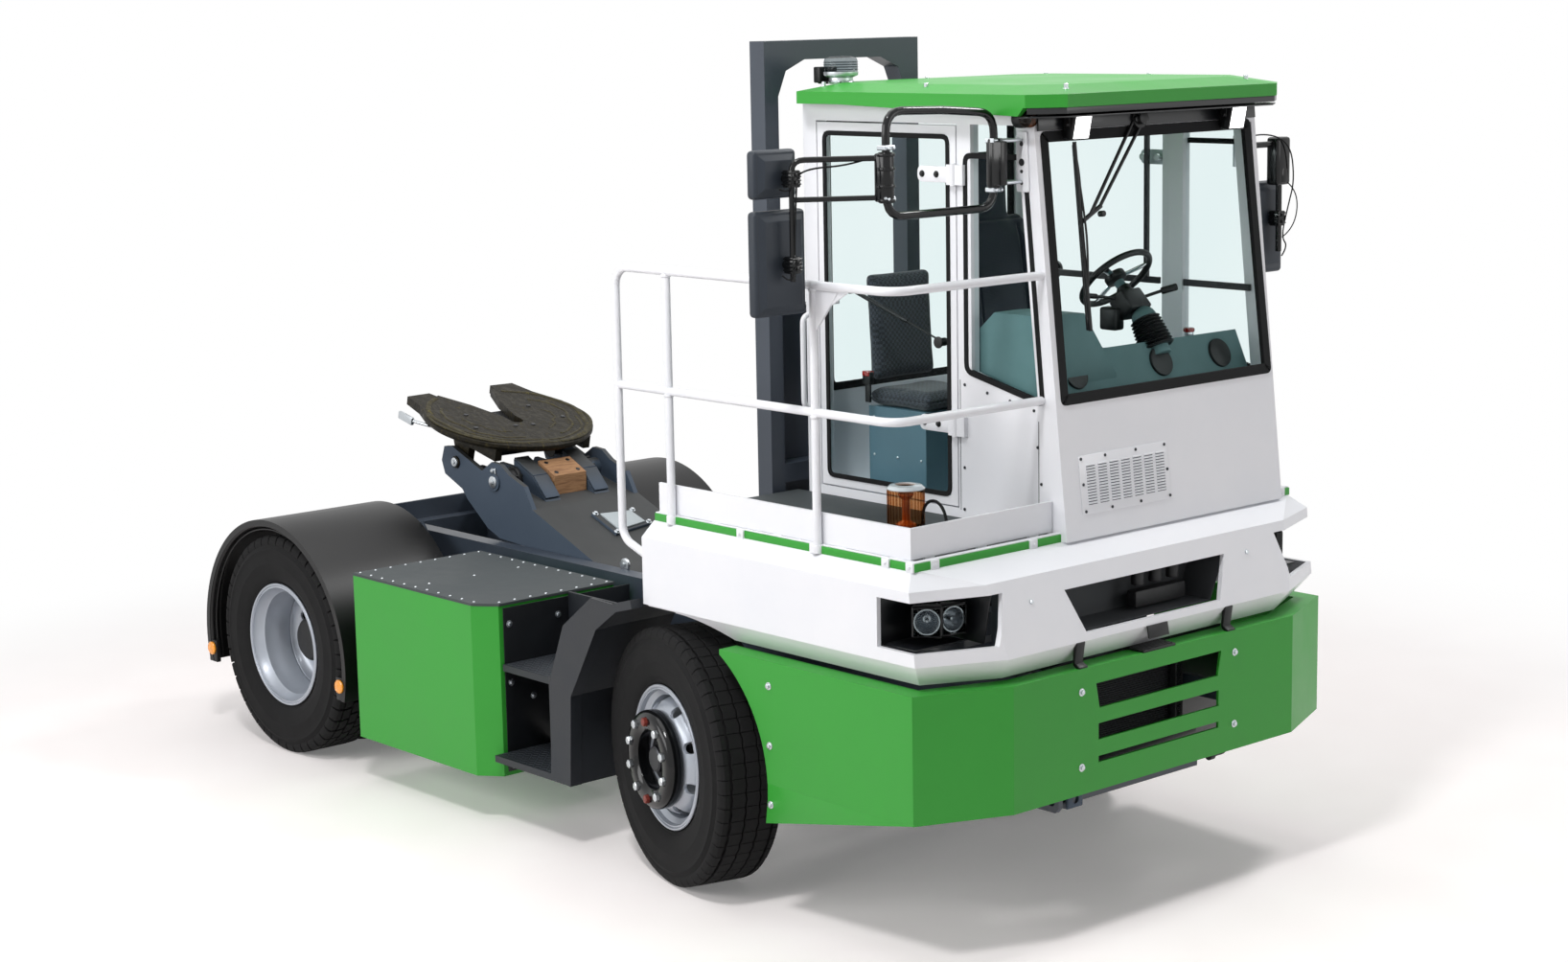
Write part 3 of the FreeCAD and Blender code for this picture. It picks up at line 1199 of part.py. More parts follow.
def lift_barrels():
    """Barrel with its foot eye on the chassis pin, one on each side."""
    start, way = lift_way()[::2]
    foot = start.add(V(0, LIFT_Y, 0))
    def along(reach):
        return foot.add(Vector(way).multiply(reach))
    body = rod(along(70), along(600), BARREL_R)
    bore = rod(along(100), along(610), ROD_R + 0.6)
    eye = bar_y(start.x, start.z, LIFT_Y - EYE_R, LIFT_Y + EYE_R, EYE_R)
    half = CHEEK_Y + CHEEK_T / 2 + 10
    pin = bar_y(start.x, start.z, LIFT_Y - half, LIFT_Y + half, LIFT_PIN_R)
    return pair(union([body.cut(bore), rod(foot, along(80), 40), eye, pin]))


def lift_rods():
    start, end, way = lift_way()
    y = V(0, LIFT_Y, 0)
    body = rod(start.add(Vector(way).multiply(300)).add(y), end.sub(Vector(way).multiply(20)).add(y), ROD_R)
    eye = bar_y(end.x, end.z, LIFT_Y - EYE_R, LIFT_Y + EYE_R, EYE_R)
    return pair(union([body, eye]))


# ================= mirrors, lamps, wipers =================

def mirror_right():
    """Black guard loop, two arms and two mirror heads."""
    x = CAB_FRONT - 285
    inner = CAB_RIGHT - 100
    outer = CAB_RIGHT - 670
    z = CAB_TOP
    head_y = -MIRROR_REACH + 132
    head_x = x - 210
    loop = bent_tube([V(x, outer, z - 210), V(x, outer, z + 10), V(x, inner, z - 20), V(x, inner, z - 380),
                      V(x, outer, z - 380), V(x, outer, z - 220)], 17, 70)
    parts = [loop, rod(V(x, inner, z - 310), V(x, inner, z - 110), 32),
             rod(V(x, outer, z - 330), V(x, outer, z - 130), 34)]
    parts.append(block(x + 45, x + 90, CAB_RIGHT - 12, CAB_RIGHT - FIT, z - 320, z - 100))
    for level in (z - 290, z - 130):
        parts.append(rod(V(x, inner, level), V(x + 67, CAB_RIGHT - 8, level), 12))
    parts.append(bent_tube([V(x - 20, outer - 5, z - 160), V(head_x, head_y, z - 160),
                            V(head_x, head_y, z - 610)], 12, 50))
    parts.append(rod(V(x - 20, outer - 5, z - 310), V(head_x, head_y, z - 310), 10))
    parts.append(block(head_x - 110, head_x - 50, -MIRROR_REACH, -MIRROR_REACH + 257, z - 745, z - 345))
    parts.append(block(head_x - 110, head_x - 40, -MIRROR_REACH, -MIRROR_REACH + 217, z - 305, z - 120))
    for level in (z - 550, z - 230):
        parts.append(rod(V(head_x, head_y, level), V(head_x - 60, head_y, level), 14))
    return union(parts)


def mirror_left():
    """One tall head on a tube arm."""
    x = CAB_FRONT - 255
    y = MIRROR_REACH - 107
    z = CAB_TOP
    parts = [block(x + 15, x + 55, CAB_LEFT + FIT, CAB_LEFT + 60, z - 240, z - 190),
             rod(V(x + 35, CAB_LEFT + 50, z - 215), V(x, y, z - 215), 15),
             rod(V(x, y, z - 190), V(x, y, z - 670), 14),
             block(x - 105, x - 55, MIRROR_REACH - 217, MIRROR_REACH, z - 770, z - 370)]
    for level in (z - 610, z - 470):
        parts.append(rod(V(x, y, level), V(x - 60, y, level), 12))
    return union(parts)


def work_lamps():
    """Two lamps hung under the roof's front lip."""
    x = cab_front_x(CAB_TOP) + 37
    lamps = []
    for y in (CAB_MID - 467, CAB_MID + 467):
        lamp = block(x, x + 50, y - 45, y + 45, CAB_TOP - 105, CAB_TOP - 30)
        lamps.append(lamp.fuse(block(x + 15, x + 35, y - 12, y + 12, CAB_TOP - 32, CAB_TOP - FIT)))
    return Part.makeCompound(lamps)


def roof_beacon():
    x, y = BODY_REAR + 224, CAB_RIGHT + 80
    foot = Part.makeCylinder(55, 40, V(x, y, ROOF_TOP), V(0, 0, 1))
    lens = Part.makeCylinder(60, 70, V(x, y, ROOF_TOP + 38), V(0, 0, 1))
    return union([foot, lens])


def amber_beacon():
    x, y = RIM_FRONT - 197, 180 - RIM_Y
    z = DECK_Z + DECK_T
    foot = Part.makeCylinder(95, 50, V(x, y, z), V(0, 0, 1))
    return union([foot, Part.makeCylinder(82, 200, V(x, y, z + 50), V(0, 0, 1))])


def wipers():
    """One wiper: a motor foot over the screen, two parallel arms and an upright blade."""
    def on_screen(y, z, proud):
        return V(cab_front_x(z) + proud, y, z)
    top = CAB_TOP - 70
    elbow_z = CAB_FLOOR + 1245
    foot_y = CAB_MID - 75
    elbow_y = CAB_MID - 385
    blade_y = CAB_MID - 444
    parts = [rod(on_screen(foot_y + 30, top, 14), on_screen(elbow_y + 45, elbow_z + 30, 14), 7),
             rod(on_screen(foot_y - 30, top, 14), on_screen(elbow_y - 15, elbow_z, 14), 7),
             rod(on_screen(elbow_y + 50, elbow_z + 32, 14), on_screen(blade_y - 8, elbow_z - 24, 14), 9),
             rod(on_screen(blade_y - 10, CAB_TOP - 140, 11), on_screen(blade_y, CAB_FLOOR + 800, 11), 8)]
    out = V(math.cos(CAB_LEAN), 0, math.sin(CAB_LEAN))
    start = on_screen(foot_y, top + 6, 0).add(Vector(out).multiply(FIT))
    parts.append(rod(start, start.add(out.multiply(24)), 42))
    return union(parts)


def both(make):
    """A right-hand and a left-hand copy in one node."""
    return Part.makeCompound([make(-1), make(1)])


def build():
    nodes = {
        "chassis_frame": chassis_frame(), "tail_lamps": tail_lamps(), "front_tow_beam": front_tow_beam(),
        "front_axle_beam": front_axle_beam(), "front_springs": front_springs(), "rear_axle": rear_axle(),
        "drive_motor": drive_motor(), "propshaft": propshaft(), "tie_rod": tie_rod(),
        "battery_boxes": both(battery_box), "battery_lids": both(battery_lid),
        "battery_packs": both(battery_pack),
        "steps": both(steps), "rear_fenders": both(rear_fender), "fender_brackets": both(fender_bracket),
        "bumper": bumper(), "front_body": front_body(), "headlamps": headlamps(),
        "front_cooler": front_cooler(),
        "deck_plate": deck_plate(), "deck_rim": deck_rim(), "railing": railing(),
        "cab_shell": cab_shell(), "cab_roof": cab_roof(), "windscreen": windscreen(),
        "fixed_glass": fixed_glass(),
        "right_door_frame": right_door_frame(), "right_door_glass": right_door_glass(),
        "left_door_frame": to_left(right_door_frame()), "left_door_glass": to_left(right_door_glass()),
        "dashboard": dashboard(), "steering_wheel": steering_wheel(),
        "seat_bases": Part.makeCompound([driver_seat_base(), passenger_seat_base()]),
        "driver_seat_cushion": driver_seat_cushion(), "driver_seat_back": driver_seat_back(),
        "passenger_seat_cushion": passenger_seat_cushion(), "passenger_seat_back": passenger_seat_back(),
        "headboard_frame": headboard_frame(), "hose_cabinet": hose_cabinet(),
        "lift_boom": lift_boom(), "wood_block": wood_block(), "coupling_plate": coupling_plate(),
        "lift_barrels": lift_barrels(), "lift_rods": lift_rods(),
        "mirrors": Part.makeCompound([mirror_right(), mirror_left()]), "work_lamps": work_lamps(),
        "roof_beacon": roof_beacon(), "amber_beacon": amber_beacon(), "wipers": wipers(),
    }
    for name, side in (("right", -1), ("left", 1)):
        nodes["knuckle_" + name] = knuckle(side)
        nodes["front_tyre_" + name], nodes["front_rim_" + name] = front_wheel(side)
        nodes["rear_tyres_" + name], nodes["rear_rims_" + name] = rear_wheels(side)
    for name in sorted(nodes):
        save(name, nodes[name])


build()
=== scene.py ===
# %% [markdown]
# # A terminal tractor, dressed
# A terminal tractor shunts trailers round a port: a low cab to one side, a fifth wheel on a lift boom behind.
# Its rigid parts come from a CAD model as nodes, each riding on the body that moves it.
# The frame is loaded first, so that every piece made here is placed by the real parts and not by eye.

# %% Load the frame
import bpy
import bmesh
import json
import math
import random
from mathutils import Matrix, Vector

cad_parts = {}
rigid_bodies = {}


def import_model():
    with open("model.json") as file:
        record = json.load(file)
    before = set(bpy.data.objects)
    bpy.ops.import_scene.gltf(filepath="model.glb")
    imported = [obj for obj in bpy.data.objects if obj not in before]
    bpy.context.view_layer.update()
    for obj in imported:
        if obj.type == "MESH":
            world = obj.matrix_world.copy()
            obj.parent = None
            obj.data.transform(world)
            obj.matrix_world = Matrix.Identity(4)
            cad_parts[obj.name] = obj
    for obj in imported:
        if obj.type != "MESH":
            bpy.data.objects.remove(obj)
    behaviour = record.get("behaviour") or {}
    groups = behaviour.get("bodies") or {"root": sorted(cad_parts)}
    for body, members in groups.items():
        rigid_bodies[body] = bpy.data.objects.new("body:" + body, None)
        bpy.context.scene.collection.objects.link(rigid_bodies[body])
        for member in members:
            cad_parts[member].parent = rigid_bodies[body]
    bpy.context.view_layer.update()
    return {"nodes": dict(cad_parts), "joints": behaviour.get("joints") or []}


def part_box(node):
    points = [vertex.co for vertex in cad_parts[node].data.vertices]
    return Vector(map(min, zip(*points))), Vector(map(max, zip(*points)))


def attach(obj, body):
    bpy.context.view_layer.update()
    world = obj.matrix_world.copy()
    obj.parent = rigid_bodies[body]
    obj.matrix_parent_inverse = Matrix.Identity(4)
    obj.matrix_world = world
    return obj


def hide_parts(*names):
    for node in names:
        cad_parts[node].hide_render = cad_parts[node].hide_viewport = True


for leftover in list(bpy.data.objects):
    bpy.data.objects.remove(leftover)
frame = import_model()
nodes = frame["nodes"]

# %% [markdown]
# A vehicle is measured from its rear axle. The middle of the rear tyres' box is that axle, so a helper
# turns millimetres behind, beside and above it into metres in the frame. A change of wheelbase in the
# CAD model then moves the pieces that hang on it too.

# %% Measures from the rear axle
REAR_LOW, REAR_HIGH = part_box("rear_tyres_right")
AXLE_X = (REAR_LOW[0] + REAR_HIGH[0]) / 2
SIDES = ((-1, "right"), (1, "left"))


def at(x, y, z):
    """A point in metres, from millimetres ahead of the rear axle, left of the middle and above the ground."""
    return Vector((AXLE_X + x / 1000, y / 1000, z / 1000))


def middle(node):
    """Middle of a CAD node's box."""
    low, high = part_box(node)
    return (Vector(low) + Vector(high)) / 2


print("rear axle at", round(AXLE_X, 4), "front wheel at", [round(v, 3) for v in middle("front_tyre_right")])

# %% [markdown]
# ## Camera and light
# A long lens from the front right corner keeps the cab's verticals nearly upright. The camera is aimed
# by a matrix built from its azimuth, its height above the horizon and a slight roll, because three
# angles are easier to keep than an aim point.

# %% Camera
SENSOR_MM = 36.0
LENS_MM = 62.61
CAMERA_AT = at(11383, -7968, 3571)
AZIMUTH = math.radians(48.6)
ELEVATION = math.radians(9.9)
ROLL = math.radians(-1.1)

back = Vector((math.sin(AZIMUTH) * math.cos(ELEVATION), -math.cos(AZIMUTH) * math.cos(ELEVATION),
               math.sin(ELEVATION)))
right = (-back).cross(Vector((0, 0, 1))).normalized()
up = right.cross(-back)
across = right * math.cos(ROLL) + up * math.sin(ROLL)
upward = up * math.cos(ROLL) - right * math.sin(ROLL)
bpy.ops.object.camera_add()
camera = bpy.context.object
camera.data.sensor_width = SENSOR_MM
camera.data.lens = LENS_MM
camera.data.clip_end = 100
camera.matrix_world = Matrix((across, upward, back)).transposed().to_4x4()
camera.location = CAMERA_AT
bpy.context.scene.camera = camera
bpy.context.scene.view_settings.view_transform = "Standard"
print("camera at", [round(v, 3) for v in camera.location])

# %% [markdown]
# Colours are written as the hex values that a paint shop or a screen shows, and one function turns them
# into the linear values that a shader works in. Another adds a node together with its settings and its
# links, so that a material reads as a short recipe. A node named as an input stands for its first output.

# %% Shader helpers


def tint(code):
    """Linear RGBA of an sRGB hex colour."""
    levels = [int(code[i:i + 2], 16) / 255 for i in (1, 3, 5)]
    return [v / 12.92 if v <= 0.04045 else ((v + 0.055) / 1.055) ** 2.4 for v in levels] + [1.0]


def fill(tree, node, inputs):
    """Fills a node's inputs with values, or with links from sockets and other nodes."""
    for key, value in inputs.items():
        source = value.outputs[0] if isinstance(value, bpy.types.Node) else value
        if isinstance(source, bpy.types.NodeSocket):
            tree.links.new(source, node.inputs[key])
        else:
            node.inputs[key].default_value = source


def add(tree, kind, inputs, **settings):
    """Adds a node, sets its properties and fills its inputs."""
    new = tree.nodes.new(kind)
    for name, value in settings.items():
        setattr(new, name, value)
    fill(tree, new, inputs)
    return new


def ramp(tree, factor, *stops):
    """A colour ramp between hex colours, given as (place, colour)."""
    new = add(tree, "ShaderNodeValToRGB", {"Fac": factor})
    line = new.color_ramp.elements
    while len(line) < len(stops):
        line.new(0.5)
    for element, (place, code) in zip(line, stops):
        element.position = place
        element.color = tint(code)
    return new.outputs["Color"]


def blank(name):
    """A new material with its tree, its principled shader and its object coordinates."""
    material = bpy.data.materials.new(name)
    material.use_nodes = True
    tree = material.node_tree
    place = add(tree, "ShaderNodeTexCoord", {}).outputs["Object"]
    return material, tree, tree.nodes["Principled BSDF"], place


# %% [markdown]
# ## Studio
# The floor is pale and catches the soft shadow. Seen by the camera or in a mirror it also glows a little,
# so that it fades into the white surround, and the world is white to those rays only. The lamps are a
# wide overhead softbox, two small keys that draw the shadow, a tall one on the near side and a
# weak one in front, as a vehicle is lit in a hall.

# %% Floor and world


def seen_rays(tree):
    """1 for the rays that show a surround: from the camera, off a gloss or through glass. 0 for its light."""
    paths = add(tree, "ShaderNodeLightPath", {})
    direct = add(tree, "ShaderNodeMath",
                 {0: paths.outputs["Is Camera Ray"], 1: paths.outputs["Is Glossy Ray"]}, operation="MAXIMUM")
    return add(tree, "ShaderNodeMath", {0: direct, 1: paths.outputs["Is Transmission Ray"]},
               operation="MAXIMUM")


FADE_NEAR, FADE_FAR = 3.3, 6.2
FLOOR_GLOW = 0.15
WORLD_LIGHT = 0.2

bpy.ops.mesh.primitive_plane_add(size=90)
floor = bpy.context.object
floor.name = "studio_floor"
floor_paint, tree, shader, place = blank("floor_paint")
seen = seen_rays(tree)
far = add(tree, "ShaderNodeVectorMath", {0: place}, operation="LENGTH")
fade = add(tree, "ShaderNodeMapRange", {"Value": far.outputs["Value"], "From Min": FADE_NEAR,
                                        "From Max": FADE_FAR}, interpolation_type="SMOOTHSTEP")
near_glow = add(tree, "ShaderNodeMath", {0: seen, 1: FLOOR_GLOW}, operation="MULTIPLY")
far_share = add(tree, "ShaderNodeMath", {0: fade, 1: seen}, operation="MULTIPLY")
speck = add(tree, "ShaderNodeTexNoise", {"Vector": place, "Scale": 3.0, "Detail": 3.0})
grey = ramp(tree, speck, (0.3, "#F8F1F0"), (0.7, "#FCF6F5"))
fill(tree, shader, {"Base Color": grey, "Roughness": 0.6})
glow = add(tree, "ShaderNodeEmission", {"Strength": near_glow})
lit = add(tree, "ShaderNodeAddShader", {0: shader, 1: glow})
white = add(tree, "ShaderNodeEmission", {"Strength": 1.0})
whole = add(tree, "ShaderNodeMixShader", {0: far_share, 1: lit, 2: white})
fill(tree, tree.nodes["Material Output"], {"Surface": whole})
floor.data.materials.append(floor_paint)

world = bpy.data.worlds.new("studio_world")
bpy.context.scene.world = world
world.use_nodes = True
sky = world.node_tree
level = add(sky, "ShaderNodeMapRange", {"Value": seen_rays(sky), "To Min": WORLD_LIGHT, "To Max": 1.0})
fill(sky, sky.nodes["Background"], {"Strength": level, "Color": (1, 1, 1, 1)})
print("floor fades to white from", FADE_NEAR, "to", FADE_FAR, "metres")


# %% Lamps


def softbox(name, place, aim, size, power):
    """A rectangular area lamp at place, turned towards aim."""
    bpy.ops.object.light_add(type="AREA", location=place)
    lamp = bpy.context.object
    lamp.name = name
    lamp.data.shape = "RECTANGLE"
    lamp.data.size, lamp.data.size_y = size
    lamp.data.energy = power
    lamp.rotation_euler = (Vector(aim) - Vector(place)).to_track_quat("-Z", "Y").to_euler()


softbox("softbox_overhead", (-0.6, -0.4, 7.6), (0.2, 0.0, 0.0), (8.0, 5.0), 185)
softbox("key_near_side", (3.0, -4.6, 8.0), (0.4, 0.0, 0.6), (1.1, 1.1), 290)
softbox("key_far_side", (2.4, 4.8, 8.0), (0.4, 0.0, 0.6), (1.6, 1.6), 250)
softbox("softbox_near_side", (-1.5, -9.0, 4.6), (0.0, 0.0, 1.2), (8.0, 3.4), 400)
softbox("softbox_front", (9.5, 3.5, 4.2), (1.2, 0.0, 1.4), (4.0, 3.0), 100)
# %% [markdown]
# ## Finishes
# Most of a tractor is painted steel. Thick enamel sprayed over sheet gives a soft gloss with a faint
# orange peel about 4 mm across, dust that dulls it in patches, and a bright line where a bent edge
# catches the light. One recipe makes every enamel: its colour, its gloss and how much dust it holds, and,
# for the boom, a painted shade that darkens the faces that look up.

# %% Enamel and coated steel


def rounded(tree, radius_mm, bump):
    """The bumped surface normal, with its edges rounded for the light."""
    return add(tree, "ShaderNodeBevel", {"Radius": radius_mm / 1000, "Normal": bump}, samples=4)


def enamel(name, colour, worn, roughness=0.28, peel_mm=4.0, peel=0.06, coat=0.35, edge_mm=2.5, top_shade=None,
           gloss=0.5, metal=0.0):
    """Sprayed enamel: colour and roughness vary over the sheet, and an optional painted shade darkens the
    faces that look up.
    """
    material, tree, shader, place = blank(name)
    broad = add(tree, "ShaderNodeTexNoise", {"Vector": place, "Scale": 2.2, "Detail": 4.0, "Roughness": 0.6})
    fine = add(tree, "ShaderNodeTexNoise", {"Vector": place, "Scale": 1000 / peel_mm / 2, "Detail": 1.0})
    paint = ramp(tree, broad, (0.35, colour), (0.75, worn))
    if top_shade:
        # painted shade: faces that look up are mixed towards a darker grey, so the top reads dimmer than the
        # sides
        way = add(tree, "ShaderNodeSeparateXYZ", {0: tree.nodes["Texture Coordinate"].outputs["Normal"]})
        lying = add(tree, "ShaderNodeMapRange", {"Value": way.outputs["Z"], "From Min": 0.6, "From Max": 0.9,
                                                 "To Max": 0.9})
        shaded_top = add(tree, "ShaderNodeMix", {0: lying, 6: paint, 7: tint(top_shade)}, data_type="RGBA")
        paint = shaded_top.outputs[2]
    dull = add(tree, "ShaderNodeMapRange", {"Value": broad, "From Min": 0.3, "From Max": 0.8,
                                            "To Min": roughness * 0.85, "To Max": roughness * 1.3})
    grain = add(tree, "ShaderNodeBump", {"Height": fine, "Strength": peel, "Distance": 0.002})
    fill(tree, shader, {"Base Color": paint, "Roughness": dull, "Normal": rounded(tree, edge_mm, grain),
                        "Specular IOR Level": gloss, "Metallic": metal, "Coat Weight": coat,
                        "Coat Roughness": 0.08})
    return material


green = enamel("green_enamel", "#309530", "#349834", roughness=0.4, coat=0.08, gloss=0.3)
white_enamel = enamel("white_enamel", "#E9EAEE", "#E4E6EB", roughness=0.34, coat=0.25)
anthracite = enamel("anthracite_enamel", "#2F3742", "#363E49", roughness=0.42, peel_mm=5, peel=0.1, coat=0.1)
# The boom's faces that look up take a painted shade of dark grey.
boom_blue = enamel("blue_grey_boom_enamel", "#3E4A59", "#465260", roughness=0.6, peel_mm=6, peel=0.15,
                   coat=0.0, top_shade="#3A3A38", gloss=0.3)
step_enamel = enamel("dark_step_enamel", "#14181D", "#1A1F26", roughness=0.5, peel_mm=6, peel=0.15, coat=0.0)
base_blue = enamel("blue_grey_seat_box_enamel", "#51707E", "#587886", roughness=0.45, coat=0.1)
liner_grey = enamel("grey_liner_coat", "#3C3F42", "#4A4D50", roughness=0.7, coat=0.0)
slate_coat = enamel("textured_slate_coat", "#32383A", "#3A4042", roughness=0.66, peel_mm=3, peel=0.35,
                    coat=0.0)
cast_black = enamel("black_chassis_paint", "#0D0E10", "#151618", roughness=0.6, peel_mm=12, peel=0.4,
                    coat=0.0)
panel_black = enamel("black_panel_enamel", "#0E1013", "#14171B", roughness=0.35, coat=0.1)
tread_steel = enamel("worn_tread_enamel", "#2A2F36", "#555C63", roughness=0.5, peel_mm=9, peel=0.3, coat=0.0)
battery_grey = enamel("grey_battery_coat", "#3C3F42", "#45484B", roughness=0.5, coat=0.0)
wheel_silver = enamel("silver_wheel_enamel", "#A9AFB8", "#9DA3AD", roughness=0.34, peel_mm=3, coat=0.4,
                      metal=0.35)
print("enamels", len(bpy.data.materials))

# %% [markdown]
# Black parts are moulded plastic or rubber. Moulded plastic has a fine leathery grain and a broad, soft
# shine. Tyre rubber is filled with carbon black: nearly black and dull, with pores and a little road dust.

# %% Plastics and rubber


def moulded(name, colour, pale, roughness=0.5, grain_mm=1.6, grain=0.3, edge_mm=2.0):
    """Injection-moulded plastic with a fine grain. The grain is drawn a little coarser than life, to show."""
    material, tree, shader, place = blank(name)
    cells = add(tree, "ShaderNodeTexVoronoi", {"Vector": place, "Scale": 1000 / grain_mm / 2})
    cloud = add(tree, "ShaderNodeTexNoise", {"Vector": place, "Scale": 6.0, "Detail": 3.0})
    body = ramp(tree, cloud, (0.3, colour), (0.8, pale))
    rise = add(tree, "ShaderNodeBump", {"Height": cells, "Strength": grain, "Distance": 0.0006})
    fill(tree, shader, {"Base Color": body, "Normal": rounded(tree, edge_mm, rise), "Roughness": roughness,
                        "Specular IOR Level": 0.35})
    return material


def rubber(name, colour, dust):
    """Vulcanised rubber: fine pores, and dust in soft patches."""
    material, tree, shader, place = blank(name)
    cloud = add(tree, "ShaderNodeTexNoise", {"Vector": place, "Scale": 9.0, "Detail": 6.0, "Roughness": 0.7})
    pits = add(tree, "ShaderNodeTexNoise", {"Vector": place, "Scale": 260.0, "Detail": 2.0})
    body = ramp(tree, cloud, (0.35, colour), (0.75, dust))
    rise = add(tree, "ShaderNodeBump", {"Height": pits, "Strength": 0.25, "Distance": 0.001})
    fill(tree, shader, {"Base Color": body, "Normal": rise, "Roughness": 0.82, "Specular IOR Level": 0.25})
    return material


red_mark = moulded("red_nut_indicator", "#6E2A22", "#7C3228", roughness=0.4)
black_abs = moulded("black_abs", "#0A0B0C", "#101113", roughness=0.42)
mirror_abs = moulded("mirror_housing_abs", "#252B33", "#2B323B", roughness=0.5)
fender_pp = moulded("black_fender_polypropylene", "#060607", "#0A0A0B", roughness=0.4, grain_mm=4, grain=0.12)
dash_grey = moulded("grey_dashboard_plastic", "#5F8082", "#6B8B8D", roughness=0.55)
pale_grey = moulded("pale_grey_plastic", "#A9B1B5", "#B3BBBE", roughness=0.5)
gloss_black = moulded("gloss_black_coating", "#08090A", "#0D0E10", roughness=0.16, grain=0.05)
gasket = rubber("epdm_gasket", "#090A0B", "#111214")
tread_rubber = rubber("tread_rubber", "#070708", "#101011")
print("with plastics", len(bpy.data.materials))

# %% [markdown]
# Bright parts are bare metal: a ground and chromed rod, zinc-plated bolts, cast iron under old grease.
# A metal's colour is its reflection, so it keeps the default IOR and takes its look from roughness.

# %% Bare metals, grease and wood


def bare_metal(name, colour, roughness, scratch_mm=2.0, scratch=0.05):
    """Bare or plated metal with fine turned or brushed marks."""
    material, tree, shader, place = blank(name)
    marks = add(tree, "ShaderNodeTexNoise", {"Vector": place, "Scale": 1000 / scratch_mm / 2, "Detail": 3.0})
    spread = add(tree, "ShaderNodeMapRange", {"Value": marks, "To Min": roughness * 0.7,
                                              "To Max": roughness * 1.4})
    rise = add(tree, "ShaderNodeBump", {"Height": marks, "Strength": scratch, "Distance": 0.001})
    fill(tree, shader, {"Base Color": tint(colour), "Metallic": 1.0, "Roughness": spread,
                        "Normal": rounded(tree, 1.0, rise)})
    return material


zinc = bare_metal("zinc_plated_steel", "#C3C8CC", 0.3)
chrome = bare_metal("hard_chrome", "#DADCDF", 0.12, scratch=0.02)
dark_steel = bare_metal("oiled_dark_steel", "#3C3D40", 0.4)
copper = bare_metal("copper_pipe", "#C06A3C", 0.35)
mirror_glass = bare_metal("silvered_mirror_glass", "#E9EDEE", 0.03, scratch=0.0)
lamp_chrome = bare_metal("lamp_reflector_chrome", "#AEB2B6", 0.16, scratch=0.01)


def greased(name, dark, middle_tone, pale):
    """Grease smeared over cast iron: broad streaks, dark where it is thick and bright where it is wiped."""
    material, tree, shader, place = blank(name)
    smear = add(tree, "ShaderNodeMapping", {"Vector": place, "Scale": (4.0, 9.0, 4.0)})
    streaks = add(tree, "ShaderNodeTexNoise", {"Vector": smear, "Scale": 2.2, "Detail": 7.0, "Roughness": 0.7,
                                               "Distortion": 2.2})
    lumps = add(tree, "ShaderNodeTexNoise",
                {"Vector": place, "Scale": 45.0, "Detail": 5.0, "Distortion": 0.6})
    coat = ramp(tree, streaks, (0.3, dark), (0.44, middle_tone), (0.52, dark), (0.6, middle_tone),
                (0.7, pale))
    wet = add(tree, "ShaderNodeMapRange", {"Value": streaks, "From Min": 0.3, "From Max": 0.7, "To Min": 0.42,
                                           "To Max": 0.7})
    rise = add(tree, "ShaderNodeBump", {"Height": lumps, "Strength": 0.5, "Distance": 0.004})
    fill(tree, shader, {"Base Color": coat, "Roughness": wet, "Normal": rounded(tree, 4.0, rise),
                        "Specular IOR Level": 0.2})
    return material


grease = greased("greased_cast_iron", "#0D0B06", "#241F11", "#4C4529")
grease_thick = greased("thick_old_grease", "#1C180A", "#3A3417", "#6B6334")

hardwood, tree, shader, place = blank("bolted_hardwood")
stretched = add(tree, "ShaderNodeMapping", {"Vector": place, "Scale": (60.0, 6.0, 60.0)})
grain = add(tree, "ShaderNodeTexNoise", {"Vector": stretched, "Scale": 2.0, "Detail": 5.0, "Distortion": 0.8})
timber = ramp(tree, grain, (0.3, "#7A563A"), (0.6, "#A27A55"), (0.75, "#8A6444"))
rise = add(tree, "ShaderNodeBump", {"Height": grain, "Strength": 0.4, "Distance": 0.001})
fill(tree, shader, {"Base Color": timber, "Normal": rounded(tree, 3.0, rise), "Roughness": 0.75})
print("with metals", len(bpy.data.materials))

# %% [markdown]
# Cab glass is toughened float glass, almost clear with a cool tint. A clear, tinted sheet mixed with a
# little gloss shows the far side without the noise that real refraction through two faces would bring.

# %% Glass and lenses


def pane(name, colour, deeper, clear):
    """Flat safety glass: mostly see-through in its tint, with a gloss that grows at a glancing angle."""
    material, tree, shader, place = blank(name)
    fill(tree, shader, {"Roughness": 0.03, "Base Color": tint("#0E1A1B")})
    waves = add(tree, "ShaderNodeTexNoise", {"Vector": place, "Scale": 1.2, "Detail": 1.0})
    body = ramp(tree, waves, (0.3, colour), (0.7, deeper))
    through = add(tree, "ShaderNodeBsdfTransparent", {"Color": body})
    edge = add(tree, "ShaderNodeLayerWeight", {"Blend": 0.2})
    share = add(tree, "ShaderNodeMapRange", {"Value": edge.outputs["Facing"], "From Min": 0.2,
                                             "To Min": 1 - clear, "To Max": 0.7})
    both = add(tree, "ShaderNodeMixShader", {0: share, 1: through, 2: shader})
    fill(tree, tree.nodes["Material Output"], {"Surface": both})
    return material


def lens(name, colour, glow=0.0):
    """Moulded acrylic lens over a bright bowl, with fine vertical flutes about 5 mm apart."""
    material, tree, shader, place = blank(name)
    flutes = add(tree, "ShaderNodeTexWave", {"Vector": place, "Scale": 32.0, "Distortion": 0.3},
                 bands_direction="Y").outputs["Fac"]
    rise = add(tree, "ShaderNodeBump", {"Height": flutes, "Strength": 0.4, "Distance": 0.001})
    fill(tree, shader, {"Base Color": tint(colour), "Normal": rise, "Roughness": 0.08, "Coat Weight": 0.6})
    if glow:
        fill(tree, shader, {"Emission Color": tint(colour), "Emission Strength": glow})
    return material


